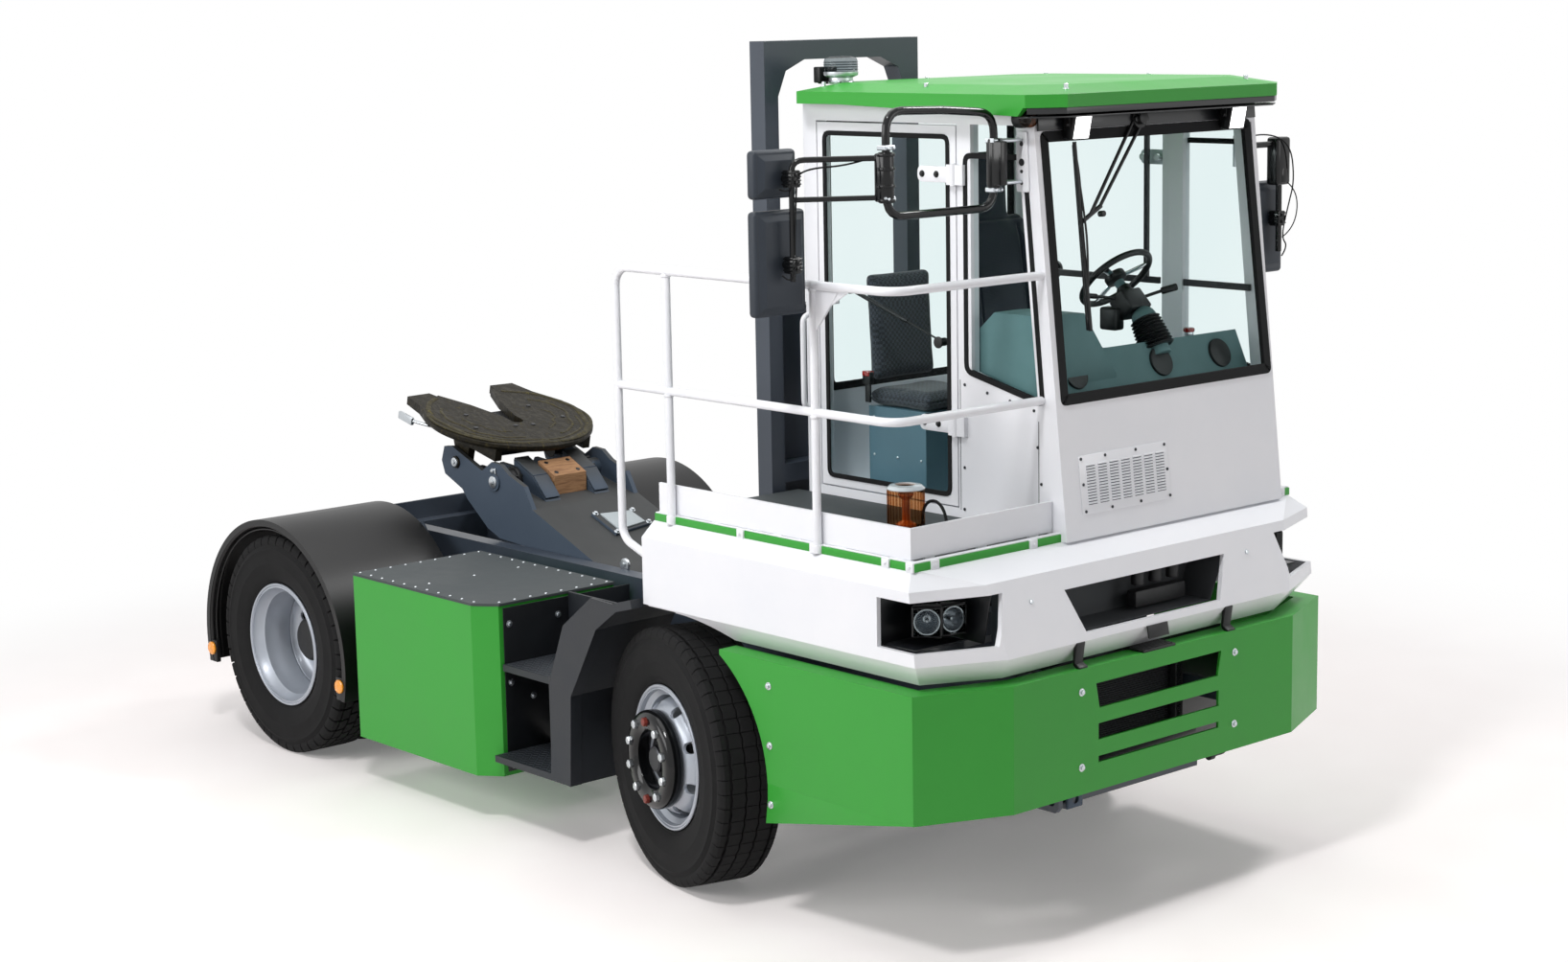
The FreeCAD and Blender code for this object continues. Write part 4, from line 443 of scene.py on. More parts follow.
cab_glass = pane("tinted_safety_glass", "#FBFEFE", "#F9FDFD", 0.985)
lamp_cover = pane("clear_lamp_cover", "#F4F6F6", "#EFF1F1", 0.96)
beacon_clear = pane("clear_beacon_dome", "#E2E8EA", "#DCE2E4", 0.7)
beacon_amber = pane("amber_beacon_dome", "#F3D3B0", "#F0CDA6", 0.9)
marker_amber = pane("amber_marker_dome", "#E8B890", "#E2AE84", 0.6)
clear_lens = lens("clear_acrylic_lens", "#C9D2D6")
amber_lens = lens("amber_acrylic_lens", "#D9741A")
red_lens = lens("red_acrylic_lens", "#9E1B14")
lit_lens = lens("lit_work_lamp_lens", "#FFFFFF", glow=3.0)
reflector = lens("amber_reflector", "#F29A1E")
amber_core = lens("amber_beacon_core", "#A8602A")
print("with glass", len(bpy.data.materials))

# %% [markdown]
# Seat cloth is a woven polyester: threads about 1.5 mm apart, here drawn at 3 mm so that the weave
# shows. The driver's seat is plain blue-black, and the helper's seat has a small check.

# %% Seat cloth
THREAD_MM = 3.0
WAVES_PER_SCALE = 6.3


def cloth(name, colour, thread, check=None):
    """Woven cloth from two crossed waves, with an optional check of a second yarn."""
    material, tree, shader, place = blank(name)
    pitch = 1000 / THREAD_MM / WAVES_PER_SCALE
    warp = add(tree, "ShaderNodeTexWave", {"Vector": place, "Scale": pitch}, bands_direction="Y")
    weft = add(tree, "ShaderNodeTexWave", {"Vector": place, "Scale": pitch}, bands_direction="Z")
    cross = add(tree, "ShaderNodeMath", {0: warp.outputs["Fac"], 1: weft.outputs["Fac"]},
                operation="MULTIPLY")
    yarn = ramp(tree, cross, (0.1, colour), (0.8, thread))
    if check:
        squares = add(tree, "ShaderNodeTexChecker", {"Vector": place, "Scale": 80.0, "Color1": (1, 1, 1, 1),
                                                     "Color2": (0, 0, 0, 1)})
        second = add(tree, "ShaderNodeMix", {0: squares.outputs["Fac"], 6: yarn, 7: tint(check)},
                     data_type="RGBA")
        yarn = second.outputs[2]
    rise = add(tree, "ShaderNodeBump", {"Height": cross, "Strength": 0.5, "Distance": 0.001})
    fill(tree, shader, {"Base Color": yarn, "Normal": rise, "Roughness": 0.9, "Sheen Weight": 0.3})
    return material


blue_cloth = cloth("blue_black_seat_cloth", "#131A26", "#27344A")
check_cloth = cloth("checked_seat_cloth", "#1B1D22", "#2E3239", check="#3A3F48")
print("materials", len(bpy.data.materials))

# %% [markdown]
# ## Painting the CAD nodes
# A node whose shape is right stays, and only its finish is set. Each one takes the finish of the real
# part: enamel on sheet and castings, moulded plastic on guards, glass in the windows.

# %% Finishes on the CAD nodes
painted = {
    green: ["bumper", "battery_boxes", "cab_roof"],
    white_enamel: ["front_body", "deck_rim", "railing", "cab_shell", "right_door_frame", "left_door_frame"],
    anthracite: ["chassis_frame", "front_tow_beam", "fender_brackets", "headboard_frame", "hose_cabinet",
                 "lift_barrels"],
    boom_blue: ["lift_boom"],
    step_enamel: ["steps"],
    slate_coat: ["deck_plate", "battery_lids"],
    cast_black: ["front_axle_beam", "front_springs", "knuckle_left", "knuckle_right", "rear_axle",
                 "drive_motor", "propshaft", "tie_rod", "front_cooler"],
    battery_grey: ["battery_packs"],
    black_abs: ["headlamps", "mirrors", "tail_lamps", "work_lamps", "wipers", "steering_wheel"],
    base_blue: ["seat_bases"],
    fender_pp: ["rear_fenders"],
    dash_grey: ["dashboard"],
    cab_glass: ["windscreen", "fixed_glass", "right_door_glass", "left_door_glass"],
    clear_lens: ["roof_beacon"],
    amber_lens: ["amber_beacon"],
    chrome: ["lift_rods"],
    grease: ["coupling_plate"],
    hardwood: ["wood_block"],
    wheel_silver: ["front_rim_left", "front_rim_right", "rear_rims_left", "rear_rims_right"],
    tread_rubber: ["front_tyre_left", "front_tyre_right", "rear_tyres_left", "rear_tyres_right"],
    blue_cloth: ["driver_seat_cushion", "driver_seat_back"],
    check_cloth: ["passenger_seat_cushion", "passenger_seat_back"],
}
for finish, names in painted.items():
    for name in names:
        nodes[name].data.materials.clear()
        nodes[name].data.materials.append(finish)
print("nodes painted", sum(len(names) for names in painted.values()), "of", len(nodes))

# %% [markdown]
# ## Working by operator
# Every new piece is made as it would be by hand: a primitive, shaped in edit mode, then finished. An
# operator acts on all that is selected, so each helper starts by selecting its own piece and nothing else.

# %% Selecting


def choose(*pieces):
    """Back to object mode, with only these pieces selected and the last one active."""
    if bpy.context.object and bpy.context.object.mode != "OBJECT":
        bpy.ops.object.mode_set(mode="OBJECT")
    bpy.ops.object.select_all(action="DESELECT")
    for piece in pieces:
        piece.select_set(True)
        bpy.context.view_layer.objects.active = piece


def pick(piece, test, kind="FACE"):
    """Goes to edit mode and selects the faces or edges whose middle and direction pass the test."""
    choose(piece)
    bpy.ops.object.mode_set(mode="EDIT")
    bpy.ops.mesh.select_mode(type=kind)
    bpy.ops.mesh.select_all(action="DESELECT")
    mesh = bmesh.from_edit_mesh(piece.data)
    for item in (mesh.faces if kind == "FACE" else mesh.edges):
        way = item.normal if kind == "FACE" else item.verts[1].co - item.verts[0].co
        if test(sum((corner.co for corner in item.verts), Vector()) / len(item.verts), way):
            item.select_set(True)
    bmesh.update_edit_mesh(piece.data)


def leave_edit():
    """Back from edit mode."""
    bpy.ops.object.mode_set(mode="OBJECT")


def settle(piece, place=None):
    """Stands a piece on place, a matrix, and leaves its object at the origin with its place in its mesh."""
    if place is not None:
        piece.matrix_world = place
    choose(piece)
    bpy.ops.object.transform_apply(location=True, rotation=True, scale=True)
    return piece


def mend(piece, merge=True):
    """Merges doubled points and turns every face outwards."""
    choose(piece)
    bpy.ops.object.mode_set(mode="EDIT")
    bpy.ops.mesh.select_all(action="SELECT")
    if merge:
        bpy.ops.mesh.remove_doubles(threshold=0.00002)
    bpy.ops.mesh.normals_make_consistent(inside=False)
    leave_edit()
    return piece


def modified(piece, kind, **settings):
    """Adds a modifier with its settings and applies it."""
    choose(piece)
    step = piece.modifiers.new(kind.lower(), kind)
    for name, value in settings.items():
        setattr(step, name, value)
    bpy.ops.object.modifier_apply(modifier=step.name)
    return piece


def soften(piece, width_mm, segments=2, angle=35):
    """Bevels the sharp edges, as every folded, cast or moulded edge has a small radius."""
    return modified(piece, "BEVEL", width=width_mm / 1000, segments=segments, angle_limit=math.radians(angle))


def press(piece, way, rim_m, move):
    """Insets the face that looks along way, and moves what lies inside the rim."""
    pick(piece, lambda mid, normal: normal.dot(Vector(way)) > 0.99)
    bpy.ops.mesh.inset(thickness=rim_m)
    bpy.ops.transform.translate(value=move)
    leave_edit()
    return piece


def twin_of(piece):
    """A copy with its own mesh."""
    twin = piece.copy()
    twin.data = piece.data.copy()
    bpy.context.collection.objects.link(twin)
    return twin


# %% [markdown]
# Each piece is handed over with three facts: its name, its finish and the CAD body that moves it.


def dress(piece, name, finish, body="chassis", smooth=32):
    """Names a finished piece, gives it its finish and lets it ride on its CAD body."""
    settle(piece)
    piece.name = name
    piece.data.name = name
    bpy.ops.object.shade_smooth_by_angle(angle=math.radians(smooth))
    piece.data.materials.clear()
    piece.data.materials.append(finish)
    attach(piece, body)
    return piece


def join(*pieces):
    """Joins pieces into the last one."""
    choose(*pieces)
    if len(pieces) > 1:
        bpy.ops.object.join()
    return bpy.context.object


def copies(master, places):
    """Copies a master to each matrix, each copy with its own mesh, joins them and drops the master."""
    made = []
    for place in places:
        made.append(twin_of(master))
        made[-1].matrix_world = place @ master.matrix_world
    bpy.data.objects.remove(master)
    return settle(join(*made))


def turned(degrees, axis):
    """A rotation matrix about a named axis."""
    return Matrix.Rotation(math.radians(degrees), 4, axis)


print("helpers ready")

# %% [markdown]
# Four starts cover most of a vehicle: a slab for bars and plates, a drum for pins and bolts, an outline
# grown into a plate for bent or cut sheet, and a profile spun round an axle for wheels and lamps. Each
# is a primitive or a chain of extruded points, so that what is typed is only the real outline.

# %% Slab, drum, plate, spun profile and tube


def slab(low, high, round_mm=2.0, segments=2):
    """A bar between two corners, with rounded edges."""
    bpy.ops.object.select_all(action="DESELECT")
    bpy.ops.mesh.primitive_cube_add(size=1, location=(Vector(low) + Vector(high)) / 2)
    piece = bpy.context.object
    bpy.ops.object.mode_set(mode="EDIT")
    bpy.ops.transform.resize(value=[abs(b - a) for a, b in zip(low, high)])
    if round_mm:
        bpy.ops.mesh.bevel(offset=round_mm / 1000, segments=segments, affect="EDGES")
    leave_edit()
    return settle(piece)


def drum(start, end, radius_mm, sides=24, round_mm=1.5):
    """A round bar from start to end, its two rims rounded."""
    start, end = Vector(start), Vector(end)
    bpy.ops.object.select_all(action="DESELECT")
    bpy.ops.mesh.primitive_cylinder_add(vertices=sides, radius=radius_mm / 1000, depth=(end - start).length)
    piece = bpy.context.object
    if round_mm:
        half = (end - start).length / 2
        pick(piece, lambda mid, way: abs(abs(mid.z) - half) < 1e-6, "EDGE")
        bpy.ops.mesh.bevel(offset=round_mm / 1000, segments=2, affect="EDGES")
        leave_edit()
    piece.rotation_euler = (end - start).to_track_quat("Z", "Y").to_euler()
    piece.location = (start + end) / 2
    return settle(piece)


def chain(points, closed):
    """A line of edges made by extruding one point from place to place."""
    bpy.ops.object.select_all(action="DESELECT")
    bpy.ops.mesh.primitive_plane_add(size=0.001)
    piece = bpy.context.object
    bpy.ops.object.mode_set(mode="EDIT")
    bpy.ops.mesh.select_mode(type="VERT")
    bpy.ops.mesh.merge(type="CENTER")
    bpy.ops.transform.translate(value=points[0])
    for here, there in zip(points, points[1:]):
        bpy.ops.mesh.extrude_region_move(TRANSFORM_OT_translate={"value": Vector(there) - Vector(here)})
    bpy.ops.mesh.select_all(action="SELECT")
    if closed:
        bpy.ops.mesh.edge_face_add()
    return piece


def plate(outline, depth, round_mm=1.5, segments=2):
    """A sheet or casting: the outline's face, grown by depth, with rounded edges."""
    piece = chain([Vector(p) for p in outline], True)
    bpy.ops.mesh.extrude_region_move(TRANSFORM_OT_translate={"value": Vector(depth)})
    leave_edit()
    mend(piece)
    return soften(piece, round_mm, segments) if round_mm else piece


def panel(xs, ys, zs, thick_mm, round_mm=1.0):
    """A flat rectangle, with one place on one axis and a range on the other two, grown along that axis."""
    flat = [isinstance(places, tuple) for places in (xs, ys, zs)].index(False)
    corners = ((0, 0), (1, 0), (1, 1), (0, 1))
    spots = []
    for corner in corners:
        share = iter(corner)
        spots.append(at(*[places if axis == flat else places[next(share)]
                          for axis, places in enumerate((xs, ys, zs))]))
    depth = [thick_mm / 1000 if axis == flat else 0 for axis in range(3)]
    return plate(spots, depth, round_mm)


def spun(profile, steps=64):
    """A closed profile of (radius, along) in millimetres, spun round the Y axis at the origin."""
    points = [Vector((r / 1000, y / 1000, 0)) for r, y in profile]
    chain(points + [points[0]], False)
    bpy.ops.mesh.spin(steps=steps, angle=2 * math.pi, center=(0, 0, 0), axis=(0, 1, 0))
    return mend(bpy.context.object)


def tube(points, radius_mm, resolution=4, order=3):
    """A round tube or hose along a smooth NURBS line through control points."""
    bpy.ops.object.select_all(action="DESELECT")
    bpy.ops.curve.primitive_nurbs_path_add()
    piece = bpy.context.object
    line = piece.data
    line.splines.clear()
    spline = line.splines.new("NURBS")
    spline.points.add(len(points) - 1)
    for point, place in zip(spline.points, points):
        point.co = (*place, 1)
    spline.order_u = order
    spline.use_endpoint_u = True
    line.dimensions = "3D"
    line.bevel_depth = radius_mm / 1000
    line.bevel_resolution = resolution
    line.resolution_u = 8
    line.use_fill_caps = True
    bpy.ops.object.convert(target="MESH")
    return mend(bpy.context.object)


def cut(piece, *tools):
    """Cuts tools out of a piece with an exact boolean, then drops the tools."""
    for tool in tools:
        modified(piece, "BOOLEAN", operation="DIFFERENCE", solver="EXACT", object=tool)
        bpy.data.objects.remove(tool)
    return piece


def hex_bolt(head_mm, tall_mm, washer_mm):
    """A hexagon head with a chamfered top on its washer, standing up the +Z axis from the origin."""
    bpy.ops.object.select_all(action="DESELECT")
    bpy.ops.mesh.primitive_cylinder_add(vertices=6, radius=head_mm / 1732, depth=tall_mm / 1000,
                                        location=(0, 0, (washer_mm + tall_mm / 2) / 1000))
    head = press(bpy.context.object, (0, 0, 1), head_mm / 9000, (0, 0, tall_mm / 8000))
    washer = drum((0, 0, 0), (0, 0, washer_mm / 1000), head_mm * 0.92, 16, 0.4)
    return join(settle(head), washer)


def facing(place, normal, turn=0.0):
    """A matrix that stands a piece on place, with its +Z along normal."""
    spin = Matrix.Rotation(turn, 4, "Z")
    return Matrix.Translation(place) @ Vector(normal).to_track_quat("Z", "Y").to_matrix().to_4x4() @ spin


print("starts ready")

# %% [markdown]
# ## Tyres
# A truck tyre is a smooth moulded carcass with ribs of rubber blocks round it. The carcass is a spun
# profile. One block of each rib is modelled, and the spin operator copies it round the axle, which is how
# the mould itself repeats. Front tyres have five narrow ribs, and driven ones coarser, staggered blocks.

# %% Tyre
TYRE_R, TYRE_W, BEAD_R = 538.0, 300.0, 292.0
GROOVE = 13.0
BLOCK_CHAMFER, LUG_CHAMFER = 0.0016, 0.0022
STEER_BLOCKS, DRIVE_BLOCKS = 56, 46


def tyre_carcass():
    """Spun casing: beads, bulged sidewalls with two mould rings, shoulders and the groove floor."""
    floor_r = TYRE_R - GROOVE
    side = [(BEAD_R - 2, 104), (BEAD_R + 6, 114), (308, 121), (314, 126), (318, 126), (322, 130), (350, 139),
            (392, 146), (400, 148.5), (404, 148.5), (410, 147.5), (440, 148.6), (462, 146.5), (466, 148),
            (471, 148), (476, 144), (492, 137), (508, 128), (floor_r - 4, 118), (floor_r, 108)]
    profile = [(r, y) for r, y in side] + [(r, -y) for r, y in reversed(side)]
    inner = [(BEAD_R + 20, -92), (420, -128), (500, -104), (505, 0), (500, 104), (420, 128),
             (BEAD_R + 20, 92)]
    return spun(profile + inner, 96)


def round_axle(count):
    """Copies the piece in edit mode round the axle, and leaves edit mode."""
    bpy.ops.mesh.select_all(action="SELECT")
    bpy.ops.mesh.spin(steps=count - 1, angle=2 * math.pi * (count - 1) / count, center=(0, 0, 0),
                      axis=(0, 1, 0), dupli=True)
    leave_edit()


def rib(count, low, high, length, zigzag, slant=0.0, phase=0.0):
    """One rib of tread blocks between two places across the tyre, copied round the axle."""
    half = length / 2
    face = [(-half - slant, low), (0, low + zigzag), (half - slant, low), (half + slant, high),
            (0, high + zigzag), (-half + slant, high)]
    top, depth = TYRE_R - 0.8, GROOVE + 2
    outline = [((top - depth) / 1000, y / 1000, x / 1000) for x, y in face]
    block = plate(outline, (depth / 1000, 0, 0), 0)
    pick(block, lambda mid, normal: normal.x > 0.9)
    bpy.ops.mesh.bevel(offset=BLOCK_CHAMFER, segments=1, affect="EDGES")
    bpy.ops.mesh.select_all(action="SELECT")
    bpy.ops.transform.rotate(value=phase, orient_axis="Y", center_override=(0, 0, 0))
    round_axle(count)
    return block


def shoulder_lugs(count, side, length, reach=104.0):
    """Shoulder blocks: they wrap from the tread down to a saw-toothed edge on the sidewall."""
    top = TYRE_R - 0.6
    section = [(TYRE_R - 16, reach), (top, reach), (top - 1.5, 124), (TYRE_R - 12, 134), (TYRE_R - 34, 141),
               (TYRE_R - 50, 137), (TYRE_R - 30, 124)]
    outline = [(r / 1000, side * y / 1000, -length / 2000) for r, y in section]
    lug = plate(outline, (0, 0, length / 1000), 0)
    pick(lug, lambda mid, way: abs(way.z) < 1e-6 and mid.x > (TYRE_R - 40) / 1000 and abs(mid.y) > 0.106,
         "EDGE")
    bpy.ops.mesh.bevel(offset=LUG_CHAMFER, segments=1, affect="EDGES")
    round_axle(count)
    return lug


def carried(blocks):
    """The tread joined to its carcass, without merging blocks that only touch."""
    return mend(join(*reversed(blocks), tyre_carcass()), merge=False)


def steer_tyre():
    """Front tyre: three zigzag centre ribs and notched shoulder ribs."""
    pitch = 2 * math.pi * TYRE_R / STEER_BLOCKS
    ribs = [rib(STEER_BLOCKS, low, low + 56, pitch - 2.4, 5.0) for low in (-92.0, -29.0, 34.0)]
    lugs = [shoulder_lugs(STEER_BLOCKS, side, pitch - 3.5) for side in (-1, 1)]
    return carried(ribs + lugs)


def drive_tyre():
    """Driven tyre: deeper, staggered centre blocks and long shoulder lugs."""
    pitch = 2 * math.pi * TYRE_R / DRIVE_BLOCKS
    ribs = [rib(DRIVE_BLOCKS, low, low + 40, pitch - 11, 3.0, 4.0, index % 2 * math.pi / DRIVE_BLOCKS)
            for index, low in enumerate((-92.0, -44.0, 4.0, 52.0))]
    lugs = [shoulder_lugs(DRIVE_BLOCKS, side, pitch - 10, 100.0) for side in (-1, 1)]
    return carried(ribs + lugs)


def wheel_place(side, joint_name, node):
    """Where a wheel built with its outer side towards -Y stands, turned to its joint's axle and side."""
    axle = next(Vector(j["axis"]) for j in frame["joints"] if j["name"] == joint_name)
    heading = math.atan2(-axle.x, axle.y) + (0 if side == "right" else math.pi)
    return Matrix.Translation(middle(node)) @ Matrix.Rotation(heading, 4, "Z")


front_master = steer_tyre()
rear_master = drive_tyre()
print("tyre faces", len(front_master.data.polygons), len(rear_master.data.polygons))

for side in ("right", "left"):
    node = f"front_tyre_{side}"
    place = wheel_place(side, f"front_{side}_spin", node)
    tyre = copies(twin_of(front_master), [place])
    dress(tyre, f"tyre_front_{side}", tread_rubber, f"front_wheel_{side}")
    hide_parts(node)

    node = f"rear_tyres_{side}"
    low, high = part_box(node)
    centre = wheel_place(side, f"rear_{side}_spin", node)
    offset = (high[1] - low[1]) / 2 - TYRE_W / 2000
    pair = [centre @ Matrix.Translation((0, y, 0)) for y in (-offset, offset)]
    tyres = copies(twin_of(rear_master), pair)
    dress(tyres, f"tyres_rear_{side}", tread_rubber, f"rear_wheels_{side}")
    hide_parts(node)
bpy.data.objects.remove(front_master)
bpy.data.objects.remove(rear_master)
print("tyres made")

# %% [markdown]
# ## Rims
# A wheel is a rolled steel barrel with a pressed disc welded in. On the steered axle the disc bulges out
# and carries a black guard ring over its nuts. On the twin wheels the outer disc sits deep inside, so
# the barrel shows as a stepped bowl. Both are spun profiles, with the hand holes cut through afterwards.

# %% Rims


def round_ring(count, ring_mm):
    """The turn, x and z of each hole or nut round a disc."""
    for index in range(count):
        turn = 2 * math.pi * (index + 0.5) / count
        yield turn, ring_mm * math.cos(turn) / 1000, ring_mm * math.sin(turn) / 1000


def hand_holes(count, ring_mm, radius_mm, near, far):
    """Cutters for the holes round a disc."""
    return join(*[drum((x, near / 1000, z), (x, far / 1000, z), radius_mm, 24, 0)
                  for _, x, z in round_ring(count, ring_mm)])


def nuts(ring_mm, seat_mm, head_mm=32.0, which=range(10)):
    """Some of the ten wheel nuts, standing on a face at seat_mm along the axle, towards -Y."""
    places = [facing((x, seat_mm / 1000, z), (0, -1, 0), turn) for turn, x, z in round_ring(10, ring_mm)]
    return copies(hex_bolt(head_mm, 22.0, 5.0), [places[index] for index in which])


def steer_rim():
    """Barrel and outward disc of the front wheel."""
    barrel = [(302, -122), (303, -127), (300, -131), (294, -131), (288, -124), (284, -104), (266, -90),
              (258, -70), (256, 84), (266, 98), (284, 106), (290, 118), (302, 122), (302, 126), (286, 126),
              (278, 112), (262, 106), (249, 92), (249, -64), (256, -94), (277, -110), (282, -128)]
    disc = [(252, 6), (251, -34), (244, -74), (232, -108), (216, -128), (200, -138), (100, -142), (100, -130),
            (198, -126), (210, -116), (224, -98), (235, -68), (243, -30), (244, 6)]
    rim = spun(barrel, 96)
    return join(cut(spun(disc, 96), hand_holes(8, 226, 25, -150, -10)), rim)


def guard_ring():
    """Thick black ring over the nuts, open in the middle."""
    ring = spun([(118, -142), (196, -142), (204, -152), (206, -184), (202, -200), (192, -210), (176, -214),
                 (150, -214), (132, -208), (122, -196)], 96)
    return cut(ring, hand_holes(10, 163, 20, -230, -200))


def hub_face():
    """Hub end inside the ring: a turned cap with its flange."""
    return spun([(0, -182), (46, -182), (54, -176), (58, -150), (92, -146), (98, -134), (98, -60), (0, -60)],
                64)


def drive_rim():
    """Barrel and deep disc of an outer rear wheel."""
    barrel = [(302, -122), (303, -127), (300, -131), (294, -131), (287, -122), (284, -96), (270, -84),
              (262, -70), (260, -20), (252, -4), (250, 70), (256, 92), (284, 106), (290, 118), (302, 122),
              (302, 126), (284, 126), (274, 110), (250, 100), (243, 74), (244, -8), (252, -26), (254, -76),
              (276, -106), (281, -128)]
    disc = [(247, 24), (244, 60), (234, 88), (218, 104), (196, 112), (100, 114), (100, 124), (198, 122),
            (222, 114), (240, 96), (249, 64), (251, 24)]
    rim = spun(barrel, 96)
    return join(cut(spun(disc, 96), hand_holes(8, 190, 29, 80, 150)), rim)


def drive_hub():
    """Black hub with a domed cap, standing out of the deep disc."""
    return spun([(0, 4), (64, 5), (92, 10), (103, 20), (108, 34), (110, 96), (116, 104), (118, 124),
                 (0, 124)], 64)


MARKED_NUTS = (2, 7)
PLAIN_NUTS = [index for index in range(10) if index not in MARKED_NUTS]
for side in ("right", "left"):
    place = wheel_place(side, f"front_{side}_spin", f"front_tyre_{side}")
    rim = dress(copies(steer_rim(), [place]), f"rim_front_{side}", wheel_silver, f"front_wheel_{side}")
    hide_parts(f"front_rim_{side}")
    for name, piece, finish in (("nut_guard_", guard_ring(), gloss_black),
                                ("hub_front_", hub_face(), dark_steel),
                                ("nuts_front_", nuts(163, -200, which=PLAIN_NUTS), zinc),
                                ("marked_nuts_front_", nuts(163, -200, which=MARKED_NUTS), red_mark)):
        dress(copies(piece, [place]), name + side, finish, f"front_wheel_{side}")

    centre = wheel_place(side, f"rear_{side}_spin", f"rear_tyres_{side}")
    outer = centre @ Matrix.Translation((0, -offset, 0))
    inner = centre @ Matrix.Translation((0, offset, 0)) @ turned(180, "Z")
    rim = dress(copies(drive_rim(), [outer, inner]), f"rims_rear_{side}", wheel_silver, f"rear_wheels_{side}")
    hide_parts(f"rear_rims_{side}")
    dress(copies(drive_hub(), [outer]), f"hub_rear_{side}", cast_black, f"rear_wheels_{side}")
    dress(copies(nuts(140, 112, 26.0), [outer]), f"nuts_rear_{side}", zinc, f"rear_wheels_{side}")
print("rims made")


# %% [markdown]
# ## Mudguards
# Each pair of twin wheels runs under a half-round guard of moulded plastic. Its outer edge is a rolled
# bead that stiffens it, and an amber reflector closes each end. The bead is a tube bent along the arc.

# %% Mudguard beads and reflectors
GUARD_X, GUARD_Z, GUARD_R = -42.0, 510.0, 642.0
GUARD_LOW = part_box("rear_fenders")[0][2] * 1000
GUARD_Y = -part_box("rear_fenders")[0][1] * 1000


def guard_arc(radius, y, steps=14):
    """Points along the guard's arc, from its rear end to its front end."""
    low = math.asin((GUARD_LOW - GUARD_Z) / radius)
    turns = [low + (math.pi - 2 * low) * index / steps for index in range(steps + 1)]
    return [at(GUARD_X - radius * math.cos(turn), y, GUARD_Z + radius * math.sin(turn)) for turn in turns]


def disc_lamp(place, way, radius_mm, tall_mm):
    """A round lens with a stepped rim, standing on place along way."""
    body = spun([(0, 0), (radius_mm, 0), (radius_mm, -tall_mm * 0.55), (radius_mm * 0.9, -tall_mm * 0.8),
                 (radius_mm * 0.86, -tall_mm * 0.7), (radius_mm * 0.5, -tall_mm * 0.95), (0, -tall_mm)], 32)
    return settle(body, facing(place, way) @ turned(-90, "X"))


for sign, side in SIDES:
    bead = tube(guard_arc(GUARD_R - 17, sign * (GUARD_Y - 17)), 16)
    lip = tube(guard_arc(GUARD_R - 44, sign * (GUARD_Y - 28)), 5)
    rib_line = tube(guard_arc(GUARD_R - 3, sign * (GUARD_Y - 72)), 5)
    dress(join(lip, rib_line, bead), f"mudguard_bead_{side}", fender_pp)
    plates, lamps = [], []
    for x, z in ((545.0, 428.0), (-640.0, 420.0)):
        back_place = at(x, sign * (GUARD_Y - 14), z - 8)
        plates.append(slab(back_place - Vector((0.036, 0.012, 0.062)),
                           back_place + Vector((0.036, 0.012, 0.05)), 4))
        lamps.append(disc_lamp(at(x, sign * GUARD_Y, z), (0, sign, 0), 33, 12))
    dress(join(*plates), f"reflector_plates_{side}", black_abs)
    dress(join(*lamps), f"reflectors_{side}", reflector)
print("mudguards dressed")

# %% [markdown]
# ## Battery boxes and steps
# The boxes are folded sheet with a bolted black end panel and a riveted lid. Rivets and bolts are what
# gives sheet work its scale, so each is modelled once and copied along the real seams.

# %% Lid rivets


def rivet(radius_mm, tall_mm):
    """A domed rivet head: a low drum with a rounded top."""
    return spun([(0, 0), (radius_mm, 0), (radius_mm * 0.92, tall_mm * 0.5), (radius_mm * 0.6, tall_mm * 0.9),
                 (0, tall_mm)], 12)


def along(points, pitch_mm):
    """Evenly spaced places on each run between points, ends included."""
    places = []
    for start, end in zip(points, points[1:]):
        count = max(1, round((end - start).length * 1000 / pitch_mm))
        places += [start.lerp(end, index / count) for index in range(count)]
    return places + [points[-1]]


LID_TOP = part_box("battery_lids")[1][2] * 1000
rivet_up = turned(90, "X")
for sign, side in SIDES:
    edge = [at(738, sign * 552, LID_TOP), at(738, sign * 1224, LID_TOP), at(1650, sign * 1224, LID_TOP),
            at(1738, sign * 1152, LID_TOP), at(1738, sign * 552, LID_TOP), at(738, sign * 552, LID_TOP)]
    middle_row = [at(1180, sign * 640, LID_TOP), at(1180, sign * 1140, LID_TOP)]
    places = along(edge, 88)[:-1] + along(middle_row, 250)
    heads = copies(rivet(6.5, 4.5), [Matrix.Translation(p) @ rivet_up for p in places])
    dress(heads, f"lid_rivets_{side}", zinc)
print("rivets per lid", len(places))

# %% Box end panel with its bolts
END_BOLTS = [(1118, 905), (1118, 262), (1000, 560), (850, 905), (850, 330), (1118, 640), (620, 905)]
for sign, side in SIDES:
    end = panel(1759.2, (sign * 440, sign * 1150), (236, 980), 4)
    dress(end, f"battery_end_panel_{side}", panel_black)
    bolts = [facing(at(1763, sign * y, z), (1, 0, 0)) for y, z in END_BOLTS]
    dress(copies(hex_bolt(17, 8, 2.5), bolts), f"battery_end_bolts_{side}", zinc)
print("end panels")

# %% [markdown]
# Anti-slip treads are pressed up from sheet: rows of short bars set crosswise in turn. One bar is a slab
# with rounded ends, and a loop lays it in that weave.

# %% Step treads


BAR_HALF = Vector((0.011, 0.0025, 0.0011))
TREAD_PITCH = 0.024


